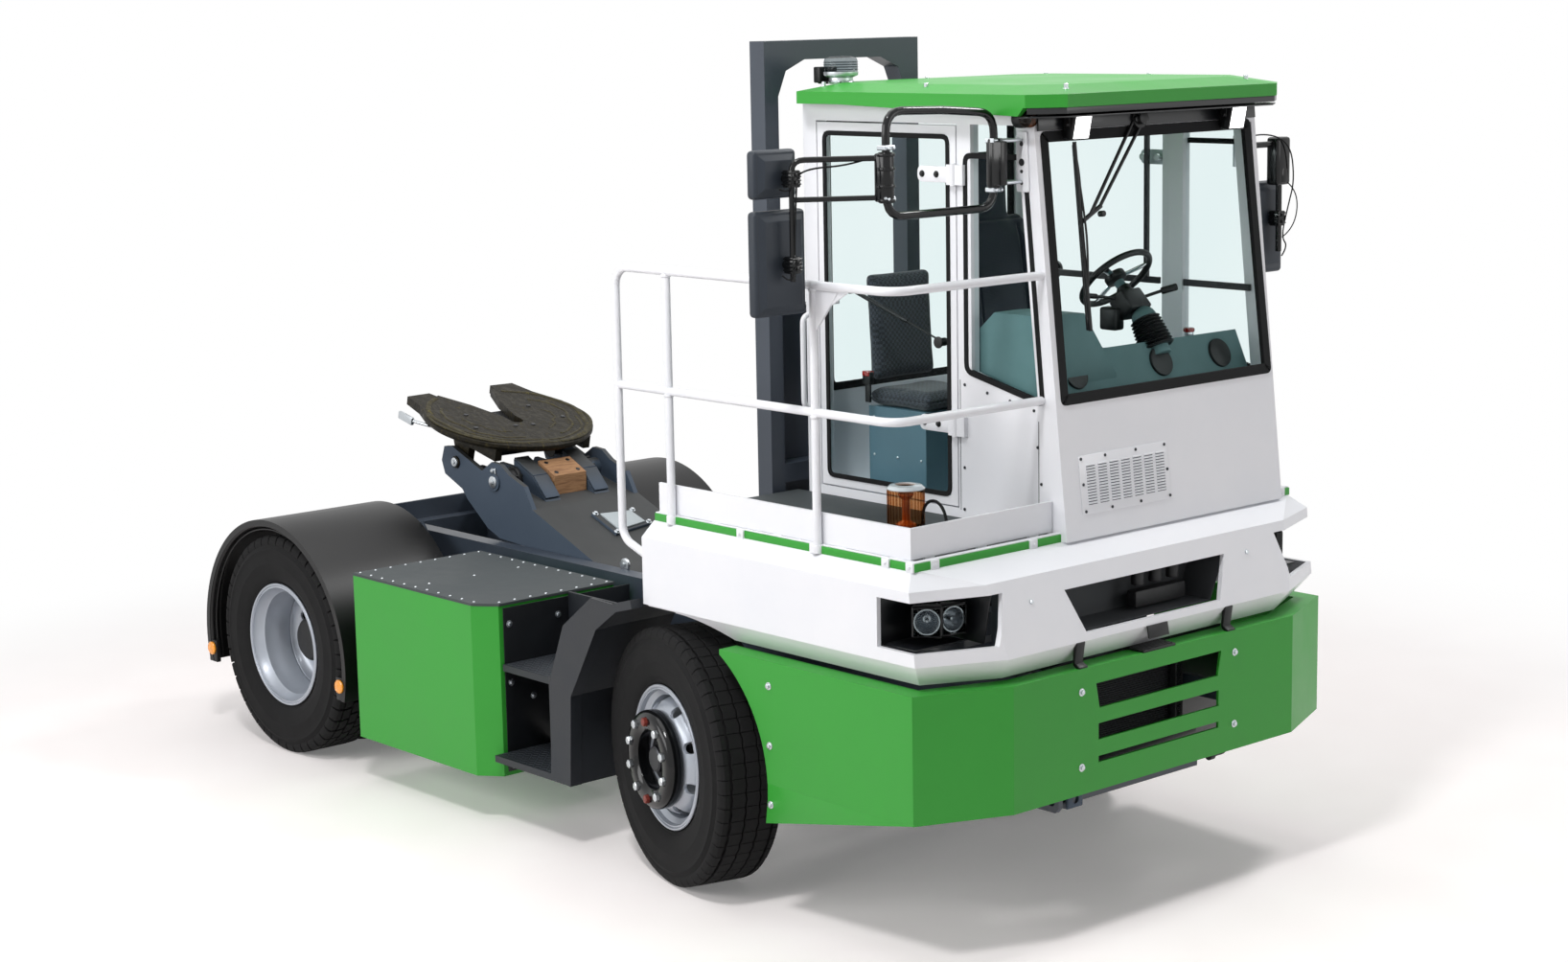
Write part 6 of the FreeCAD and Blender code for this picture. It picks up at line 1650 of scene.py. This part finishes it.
# %% Liner, header and roof studs
liner = plate([at(4168, -392, 3131), at(4222, -392, 3131), at(4306, -270, 3131), at(4306, 970, 3131),
               at(4222, 1092, 3131), at(4168, 1092, 3131)], (0, 0, 0.006), 1)
lip = plate([at(4222, -398, 3146), at(4312, -272, 3146), at(4312, 972, 3146), at(4222, 1098, 3146)],
            (0, 0, 0.024), 1)
header = plate([on_front(-300, 3078, 2), on_front(1000, 3078, 2), on_front(1000, 3166, 2),
                on_front(-300, 3166, 2)], OUTWARD * 0.012, 2)
dress(join(lip, liner, header), "roof_liner", panel_black)
stud_spots = [(4236, -196), (4236, 880), (3600, -318), (3000, -318), (3600, 1018), (3000, 1018), (2930, 350)]
studs = [facing(at(x, y, 3236), (0, 0, 1)) for x, y in stud_spots]
dress(copies(hex_bolt(16, 16, 3), studs), "roof_studs", zinc)
print("roof studs", len(studs))

# %% Work lamps
DOWN = Vector((math.cos(math.radians(12)), 0, -math.sin(math.radians(12))))
cases, glows, brackets = [], [], []
for y in (-117, 817):
    stand = facing(at(4226, y, 3092), DOWN)
    case = slab((-0.052, -0.052, -0.026), (0.052, 0.052, 0.026), 7, 2)
    press(case, (0, 0, 1), 0.005, (0, 0, -0.005))
    glow = slab((-0.045, -0.045, 0.021), (0.045, 0.045, 0.0245), 1, 1)
    fins = [slab((-0.044 + step * 0.0145, -0.044, -0.036), (-0.041 + step * 0.0145, 0.044, -0.024), 0.5, 1)
            for step in range(7)]
    cases.append(settle(join(*fins, case), stand))
    glows.append(settle(glow, stand))
    for side in (-1, 1):
        brackets.append(slab(at(4214, y + side * 58 - 2, 3090), at(4238, y + side * 58 + 2, 3134), 1, 1))
        brackets.append(drum(at(4226, y + side * 50, 3100), at(4226, y + side * 68, 3100), 8, 12, 1))
    brackets.append(slab(at(4214, y - 60, 3128), at(4238, y + 60, 3132), 1, 1))
cases = join(*brackets, *cases)
dress(cases, "work_lamp_cases", black_abs)
dress(join(*glows), "work_lamp_lenses", lit_lens)
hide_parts("work_lamps")
print("work lamps")

# %% [markdown]
# ## Mirrors
# The mirrors reach out on bent tubes, because the cab is narrower than the vehicle. A guard loop shields
# them on the right. Housings are moulded with a crowned back, so a rounded slab has its back face drawn
# in and pulled out, which gives the crown in two steps.

# %% Mirror heads and arms


CROWN = 0.016


def mirror_head(low, high):
    """A housing whose back faces +X with a crown, and its glass on the other side."""
    body = slab(low, high, 17, 4)
    press(body, (1, 0, 0), 0.022, (CROWN, 0, 0))
    soften(body, 8, 2, 15)
    glass_high = Vector((low.x + 0.001, high.y - 0.014, high.z - 0.014))
    return body, slab(low + Vector((-0.002, 0.014, 0.014)), glass_high, 1, 1)


def clamp(x, y, z):
    """A ribbed swivel block that holds a mirror head on its arm."""
    body = slab(at(x - 26, y - 24, z - 32), at(x + 26, y + 24, z + 32), 6, 2)
    ribs = [slab(at(x - 28, y - 26, z + step), at(x + 28, y + 26, z + step + 5), 1.5, 1)
            for step in (-22, -8, 6, 20)]
    screws = [drum(at(x + 24, y, z + dz), at(x + 33, y, z + dz), 8, 12, 1) for dz in (-14, 16)]
    return join(*ribs, *screws, body)


heads = [mirror_head(at(3740, -1393, 2428), at(3790, -1140, 2822)),
         mirror_head(at(3742, -1393, 2866), at(3792, -1182, 3046)),
         mirror_head(at(3988, 1182, 2404), at(4032, 1393, 2796))]
dress(join(*[body for body, glass in heads]), "mirror_housings", mirror_abs)
dress(join(*[glass for body, glass in heads]), "mirror_glasses", mirror_glass)
arms = [bent([at(4040, -985, 3008), at(3850, -1262, 3008), at(3850, -1262, 2560)], 11, 48),
        bent([at(4040, -985, 2862), at(3930, -1150, 2862), at(3850, -1262, 2862)], 10, 40)]
arms += [clamp(3850, -1262, 2622), clamp(3850, -1262, 2940)]
arms += [drum(at(3800, -1262, z), at(3850, -1262, z), 15, 20, 2) for z in (2622, 2940)]
loop = bent([at(4060, -690, 3172), at(4060, -410, 3152), at(4060, -410, 2790), at(4060, -980, 2790),
             at(4060, -980, 3180), at(4060, -690, 3172)], 16, 82)
arms += [drum(at(4060, -410, 2866), at(4060, -410, 3054), 27, 28, 4),
         drum(at(4060, -980, 2842), at(4060, -980, 3030), 30, 28, 4),
         slab(at(4026, -1012, 2846), at(4056, -958, 3026), 8, 2), loop]
arms += [drum(at(4060, -980, z), at(4060, -980, z + 12), 35, 28, 3) for z in (2846, 2898, 2962, 3014)]
arms.append(slab(at(4040, -434, 2876), at(4122, -398, 3046), 6))
left_arms = [bent([at(4086, 1046, 2955), at(4088, 1290, 2955), at(4090, 1290, 2500)], 13, 50),
             clamp(4082, 1290, 2640), slab(at(4058, 1238, 2782), at(4124, 1326, 2984), 14, 3),
             slab(at(4044, 1262, 2790), at(4128, 1312, 2850), 8, 2)]
left_arms += [drum(at(4030, 1290, 2640), at(4080, 1290, 2640), 14, 20, 2)]
arms = join(*left_arms, *arms)
dress(arms, "mirror_arms", gloss_black)
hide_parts("mirrors")
print("mirrors")

# %% Bright clamps, brackets and the marker lamp
clips = []
for y in (-410, -980):
    for z in (2858, 3046):
        clips.append(slab(at(4036, y - 26, z - 9), at(4084, y + 26, z + 9), 3, 1))
        clips += [drum(at(4082, y + dy, z), at(4092, y + dy, z), 6, 8, 1) for dy in (-14, 14)]
clips += [slab(at(4060, -404, z), at(4128, -322, z + 12), 3, 1) for z in (3040, 2880)]
dress(join(*clips), "mirror_clamps", zinc)
foot = [at(x, -311, z) for x, z in ((4092, 2846), (4158, 2846), (4146, 3078), (4092, 3078))]
feet = [plate(rounded_loop(foot, 12), (0, -0.008, 0), 1),
        slab(at(4092, -324, 3040), at(4104, -318, 3056), 1, 1),
        slab(at(4082, 1011, 2920), at(4140, 1052, 2985), 4),
        slab(at(4060, 1016, 2870), at(4070, 1054, 3000), 3, 1)]
dress(join(*feet), "mirror_feet", white_enamel)
holes = [drum(at(4120, -318, z), at(4120, -321, z), radius, 16, 0)
         for z, radius in ((2880, 7), (2960, 14), (3030, 9), (2925, 7))]
dress(join(*holes), "mirror_foot_bolts", panel_black)
marker = disc_lamp(at(4172, -352, 3128), (1, 0, 0), 34, 44)
dress(marker, "marker_lens", marker_amber)
stem = [drum(at(4128, -352, 3128), at(4172, -352, 3128), 36, 28, 5),
        drum(at(4140, -352, 3128), at(4140, -312, 3128), 12, 16, 2)]
dress(join(*stem), "marker_lamp", black_abs)
print("brackets")

# %% [markdown]
# Thin leads run along the arms to the mirror motors and heaters. Each is held at both ends, so it is a
# fitted tube and not a free cord.

# %% Mirror leads
LEADS = (
    (3.5, ((4066, -960, 3040), (3990, -1050, 2985), (3868, -1248, 2975), (3872, -1258, 2900),
           (3866, -1262, 2780), (3862, -1262, 2660))),
    (3, ((3870, -1262, 2960), (3884, -1290, 2930), (3874, -1300, 2890), (3816, -1290, 2900))),
    (3, ((3872, -1250, 2640), (3884, -1290, 2600), (3870, -1296, 2560), (3812, -1280, 2580))),
    (3, ((4092, 1060, 2990), (4110, 1160, 3010), (4140, 1300, 2960), (4136, 1335, 2800), (4118, 1320, 2700),
         (4096, 1300, 2560), (4110, 1330, 2520), (4100, 1300, 2480))),
    (2.5, ((4112, 1300, 2800), (4150, 1345, 2760), (4140, 1340, 2600), (4104, 1296, 2560))),
)
leads = [tube([at(*point) for point in route], radius) for radius, route in LEADS]
dress(join(*leads), "mirror_leads", gasket)
print("leads")

# %% [markdown]
# ## Wiper
# A wiper presses a rubber blade to the glass through a yoke, so that the force is even along it. The
# arms are CAD rods; the yoke, the blade's spine and its rubber are added in the plane of the screen.

# %% Wiper blade
BLADE_Y = -94.0
blade = [slab((-0.004, 0, -0.36), (0.004, 0.007, 0.36), 1.5, 1)]
bow = ((0.007, -0.17), (0.022, -0.1), (0.026, 0), (0.022, 0.1), (0.007, 0.17))
blade += [tube([(0, y, middle_z + z) for y, z in bow], 4) for middle_z in (-0.19, 0.19)]
blade += [tube([(0, 0.024, -0.2), (0, 0.038, -0.06), (0, 0.038, 0.06), (0, 0.024, 0.2)], 4.5)]
across = Vector((0, 1, 0))
in_screen = Matrix((across, OUTWARD, OUTWARD.cross(across))).transposed().to_4x4()
blade = mend(settle(join(*blade), Matrix.Translation(on_front(BLADE_Y, 2660, -10)) @ in_screen))
cap = drum(on_front(275, 3104, 20), on_front(275, 3104, 46), 26, 28, 5)
caps = [drum(on_front(y, 3100, 10), on_front(y, 3100, 34), 12, 6, 1) for y in (245, 305)]
pivot = drum(on_front(15, 2745, 4), on_front(15, 2745, 30), 12, 16, 2)
dress(join(*caps, pivot, cap, blade), "wiper_blade", black_abs)
print("wiper")

# %% [markdown]
# ## Beacons
# The amber beacon is a clear amber drum with upright ribs over a reflector, clamped on a black foot
# beside its junction box. Its round parts are profiles spun upright, and one slim bar is copied round
# the drum for its ribs.

# %% Amber beacon
BEACON = at(4062, -900, 1528)


def standing(profile, place, steps=48):
    """A profile of (radius, height) spun round a vertical line on place."""
    return settle(spun(profile, steps), Matrix.Translation(place) @ turned(90, "X"))


foot = standing([(0, 0), (52, 0), (52, 10), (40, 14), (40, 52), (72, 60), (82, 64), (82, 78), (76, 82),
                 (0, 82)], BEACON)
collar = slab(BEACON + Vector((-0.06, -0.062, 0.004)), BEACON + Vector((-0.02, 0.0, 0.062)), 5)
dress(join(collar, foot), "amber_beacon_foot", gloss_black)
dome = standing([(0, 82), (74, 82), (74, 92), (71, 96), (71, 226), (68, 236), (58, 242), (0, 244)], BEACON,
                64)
ridge = slab((0.0695, -0.0015, 0.098), (0.0725, 0.0015, 0.226), 0.8, 1)
ridges = [Matrix.Translation(BEACON) @ turned(angle, "Z") for angle in range(0, 360, 12)]
dome = join(copies(ridge, ridges), dome)
dress(dome, "amber_beacon_dome", beacon_amber)
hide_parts("amber_beacon")
core = standing([(0, 84), (40, 84), (40, 96), (16, 110), (16, 190), (30, 206), (30, 214), (0, 214)], BEACON)
dress(core, "amber_beacon_core", amber_core)
lid_ring = standing([(40, 240), (60, 238), (72, 230), (74, 234), (62, 245), (40, 248)], BEACON)
dress(lid_ring, "amber_beacon_cap", clear_lens)
box = slab(at(4090, -940, 1530), at(4208, -850, 1606), 6, 2)
lid = slab(at(4086, -944, 1596), at(4212, -846, 1612), 4, 2)
dress(join(lid, box), "junction_box", anthracite)
screws = [facing(at(x, y, 1612), (0, 0, 1)) for x in (4098, 4200) for y in (-934, -856)]
screws += [facing(at(x, -940, 1560), (0, -1, 0)) for x in (4104, 4196)]
dress(copies(drum((0, 0, 0), (0, 0, 0.0025), 6, 12, 0.6), screws), "junction_box_screws", zinc)
cable = tube([at(*point) for point in (
    (4120, -868, 1588), (4112, -866, 1664), (4140, -862, 1716), (4190, -858, 1722), (4230, -856, 1680),
    (4238, -856, 1612), (4236, -856, 1560), (4230, -856, 1532))], 6)
glands = [drum(at(4230, -856, 1528), at(4230, -856, 1556), 11, 16, 2),
          drum(at(4120, -868, 1606), at(4119, -868, 1628), 10, 16, 2)]
dress(join(*glands, cable), "beacon_cable", gasket)
print("amber beacon")

# %% Roof beacon
ROOF_SPOT = at(3010, -230, 3246)
base = standing([(0, 0), (52, 0), (54, 8), (50, 14), (50, 26), (70, 34), (72, 40), (72, 50), (0, 50)],
                ROOF_SPOT)
ledge = [slab(ROOF_SPOT + Vector((-0.115, -0.05, 0.004)), ROOF_SPOT + Vector((-0.075, 0.05, 0.07)), 5, 2),
         slab(ROOF_SPOT + Vector((-0.1, -0.04, 0)), ROOF_SPOT + Vector((0.04, 0.04, 0.012)), 3, 1)]
dress(join(*ledge), "roof_beacon_bracket", black_abs)
dress(base, "roof_beacon_base", zinc)
dome = standing([(0, 50), (70, 50), (71, 60), (70, 94), (66, 104), (50, 111), (0, 114)], ROOF_SPOT, 48)
bands = [standing([(70, z), (73, z + 2), (70, z + 4)], ROOF_SPOT, 48) for z in (56, 66, 76, 86)]
dome = join(*bands, dome)
dress(dome, "roof_beacon_dome", beacon_clear)
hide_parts("roof_beacon")
print("roof beacon")

# %% [markdown]
# ## Boom, lift and coupling plate
# The boom's cross tube and the plate's pin end in discs held by a keeper, so that they cannot turn. A bolted
# cover on the sheet gives access to the hoses. All of it is fixed to the boom and rises with it.

# %% Pin keepers and access cover
keepers = []
for side in (-1, 1):
    for x, z, radius in ((572, 1297, 30), (250, 1360, 24), (1600, 1030, 30)):
        start, end = at(x, side * 326, z), at(x, side * 342, z)
        keepers.append(drum(start, end, radius, 28, 3))
        keepers.append(drum(end, end + Vector((0, side * 0.006, 0)), radius * 0.42, 6, 1))
    keepers.append(slab(at(556, side * 326, 1318), at(588, side * 334, 1366), 3, 1))
    keepers.append(drum(at(572, side * 334, 1352), at(572, side * 344, 1352), 10, 6, 1))
dress(join(*keepers), "boom_pin_keepers", zinc, "lift_boom")

SHEET_DIP = -0.397
BOOM_UP = Vector((-SHEET_DIP, 0, 1)).normalized()


def on_boom(x, y, proud):
    """A point proud millimetres above the boom's sloping sheet."""
    return at(x, y, 1194 + SHEET_DIP * (x - 876)) + BOOM_UP * proud / 1000


frame_plate = plate([on_boom(x, y, -1) for x, y in ((996, -64), (1186, -62), (1150, 183), (1020, 171))],
                    BOOM_UP * 0.016, 2)
dress(frame_plate, "boom_cover_frame", boom_blue, "lift_boom")
cover = plate([on_boom(x, y, 15) for x, y in ((1022, -34), (1168, -34), (1140, 150), (1036, 142))],
              BOOM_UP * 0.009, 2)
dress(cover, "boom_cover", pale_grey, "lift_boom")
cover_bolts = [facing(on_boom(x, y, 15), BOOM_UP, 0.3) for x, y in
               ((1008, -50), (1176, -50), (1142, 172), (1028, 162))]
dress(copies(hex_bolt(17, 9, 3), cover_bolts), "boom_cover_bolts", zinc, "lift_boom")
flanges = []
for y in (-212, 212):
    flanges += [drum(at(572, y - 12, 1297), at(572, y + 12, 1297), 62, 40, 4),
                drum(at(572, y - 34, 1297), at(572, y + 34, 1297), 52, 40, 3)]
    for turn in (0.4, 1.4, 2.4):
        x, z = 572 + 55 * math.cos(turn), 1297 + 55 * math.sin(turn)
        flanges.append(drum(at(x, y - 40, z), at(x, y + 40, z), 6, 8, 1))
dress(join(*flanges), "boom_tube_flanges", cast_black, "lift_boom")
print("boom fittings")

# %% [markdown]
# The ramps carry wear plates on top, where a trailer's front edge slides up. The hardwood pad between
# them is held by four countersunk bolts.

# %% Ramp wear plates, pad bolts
wear = []
for y in (-150, 150):
    for (x0, z0), (x1, z1), depth in (((557, 1392), (709, 1321), (0, 0, 0.008)),
                                      ((711, 1320), (806, 1222), (0.005, 0, 0.006))):
        corners = ((x0, y - 43, z0), (x1, y - 43, z1), (x1, y + 43, z1), (x0, y + 43, z0))
        wear.append(plate([at(*corner) for corner in corners], depth, 2))
dress(join(*wear), "ramp_wear_plates", boom_blue, "lift_boom")
pad_up = Vector((61, 0, 132)).normalized()
heads = [facing(at(x, y, 1379 - (x - 623) * 61 / 132 + 0.4), pad_up) for x in (648, 730) for y in (-66, 66)]
dress(copies(drum((0, 0, -0.004), (0, 0, 0.0012), 11, 20, 0.6), heads), "pad_bolts", dark_steel, "lift_boom")
print("ramps dressed")

# %% [markdown]
# The coupling plate is a dished steel casting under a thick smear of grease. Its top has a worn flat, a
# raised rim of old grease, grease bolts beside the jaw, and a release lever that reaches out sideways.
# A ridge of grease is a tube along a wavering arc, flattened on to the plate.

# %% Coupling plate fittings
TILT = math.radians(12.8)
PLATE_TURN = Matrix.Translation(at(321, 0, 1541)) @ Matrix.Rotation(TILT, 4, "Y")


def on_plate(piece):
    """Moves a piece, modelled flat with the kingpin at the origin, on to the tilted plate."""
    return settle(piece, PLATE_TURN @ piece.matrix_world)


RIDGE_STEPS = 26


def grease_ridge(radius_mm, start, end, wide_mm, tall_mm):
    """A low ridge of grease along an arc round the plate's middle, thinning out towards both ends."""
    ridge = []
    for index in range(RIDGE_STEPS + 1):
        share = index / RIDGE_STEPS
        turn = math.radians(start + (end - start) * share)
        reach = (radius_mm + 9 * math.sin(share * 11) + 5 * math.sin(share * 23 + 1)) / 1000
        ridge.append(Vector((reach * math.cos(turn) - 0.071, reach * math.sin(turn), 0)))
    piece = tube(ridge, wide_mm, resolution=3)
    pick(piece, lambda mid, normal: True)
    bpy.ops.transform.resize(value=(1, 1, tall_mm / wide_mm))
    leave_edit()
    return on_plate(piece)


ridges = [grease_ridge(*measures) for measures in (
    (398, -150, -4, 14, 4), (402, 4, 150, 14, 4), (330, -128, -20, 8, 2.5), (322, 18, 126, 8, 2.5),
    (250, -100, -30, 6, 2), (236, 22, 96, 6, 2), (368, -85, 70, 7, 2.5), (414, -110, 110, 9, 3))]
dress(join(*ridges), "plate_grease", grease_thick, "coupling_plate")
nipples = [on_plate(drum((x / 1000, y / 1000, -0.002), (x / 1000, y / 1000, 0.004), 12, 20, 1))
           for x, y in ((70, -56), (86, 40), (-160, 190), (-150, -205), (40, 260), (30, -270))]
dress(join(*nipples), "plate_bolts", dark_steel, "coupling_plate")
reach = [(-0.02, -0.2, -0.053), (-0.08, -0.3, -0.053), (-0.2, -0.38, -0.055), (-0.33, -0.42, -0.06)]
lever = [on_plate(tube(reach, 8)), on_plate(slab((-0.42, -0.428, -0.08), (-0.3, -0.408, -0.04), 6))]
dress(join(*lever), "release_lever", zinc, "coupling_plate")
springs = []
for y in (-205, -140, 150, 205):
    coil = [(0.016 * math.cos(step * 0.9), y / 1000 + step * 0.0011, -0.094 + 0.016 * math.sin(step * 0.9))
            for step in range(44)]
    springs.append(on_plate(tube(coil, 2.5, resolution=2)))
under = [on_plate(slab((-0.25, -0.255, -0.104), (0.13, 0.255, -0.04), 10, 2)),
         on_plate(slab((0.1, -0.2, -0.11), (0.17, 0.2, -0.07), 8, 2)),
         on_plate(drum((-0.16, -0.25, -0.08), (-0.16, -0.3, -0.08), 20, 24, 3)),
         on_plate(drum((-0.09, -0.26, -0.075), (-0.09, -0.3, -0.075), 14, 6, 2))]
dress(join(*springs, *under), "lock_gear", dark_steel, "coupling_plate")
print("coupling plate dressed")

# %% [markdown]
# ## Tail lamps and tow gear
# Each tail lamp is a black case with three lenses: red, amber and clear. The tow beam carries a
# bracket with an eye, and a round pin hangs at its end on a bent handle.

# %% Tail lamps
cases, lens_parts = [], {"red": [], "amber": [], "clear": []}
for side in (-1, 1):
    cases.append(slab(at(-698, side * 455, 882), at(-642, side * 700, 988), 8))
    for name, inner, outer in (("red", 590, 690), ("amber", 525, 586), ("clear", 465, 521)):
        lens_parts[name].append(slab(at(-704, side * inner, 892), at(-694, side * outer, 978), 4))
case = join(*cases)
dress(case, "tail_lamp_cases", black_abs)
for name, finish, slot in (("red", red_lens, "amber_lens"), ("amber", amber_lens, "amber_lens"),
                           ("clear", clear_lens, "clear_lens")):
    dress(join(*lens_parts[name]), f"tail_lamp_{name}", finish)
stays = [slab(at(-642, side * 395, 900), at(-612, side * 700, 970), 2, 1) for side in (-1, 1)]
dress(join(*stays), "tail_lamp_stays", cast_black)
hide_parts("tail_lamps")
print("tail lamps")

# %% Tow pin and eye bracket
handle = [at(4398, y, z) for y, z in ((500, 500), (590, 500), (610, 560), (560, 590), (520, 545))]
pin = [bent(handle, 8, 22),
       drum(at(4398, 480, 500), at(4398, 512, 500), 17, 24, 3)]
dress(join(*pin), "tow_pin", black_abs)
eye = slab(at(4458, -446, 486), at(4474, -360, 566), 6, 2)
cut(eye, drum(at(4440, -403, 522), at(4490, -403, 522), 18, 24, 0))
dress(eye, "tow_eye_bracket", boom_blue)
print("tow gear")

# %% [markdown]
# ## Hoses
# Air and oil lines run from the headboard to the boom, each held by clamps at both ends. They are
# fitted, not loose, so each is a smooth tube through the points where it is held.

# %% Headboard hoses and couplings
COUPLINGS = ((-250, 1330), (-205, 1330), (-160, 1330), (205, 1300))
lines = []
for number, (y, z) in enumerate(COUPLINGS):
    route = ((2600, y, z), (2520, y, z - 8), (2430, y * 0.9, z - 130 - 14 * number),
             (2330, y * 0.86, 1216 - 12 * number), (2200, y * 0.84, 1188), (2060, y * 0.84, 1184))
    lines.append(tube([at(*point) for point in route], 10))
dress(join(*lines), "air_hoses", gasket)
ends = []
for y, z in COUPLINGS:
    ends += [drum(at(2606, y, z), at(2562, y, z), 15, 6), drum(at(2562, y, z), at(2544, y, z), 13, 20, 2),
             drum(at(2060, y * 0.84, 1184), at(2092, y * 0.84, 1184), 14, 6)]
dress(join(*ends), "hose_ends", zinc)
print("hoses")
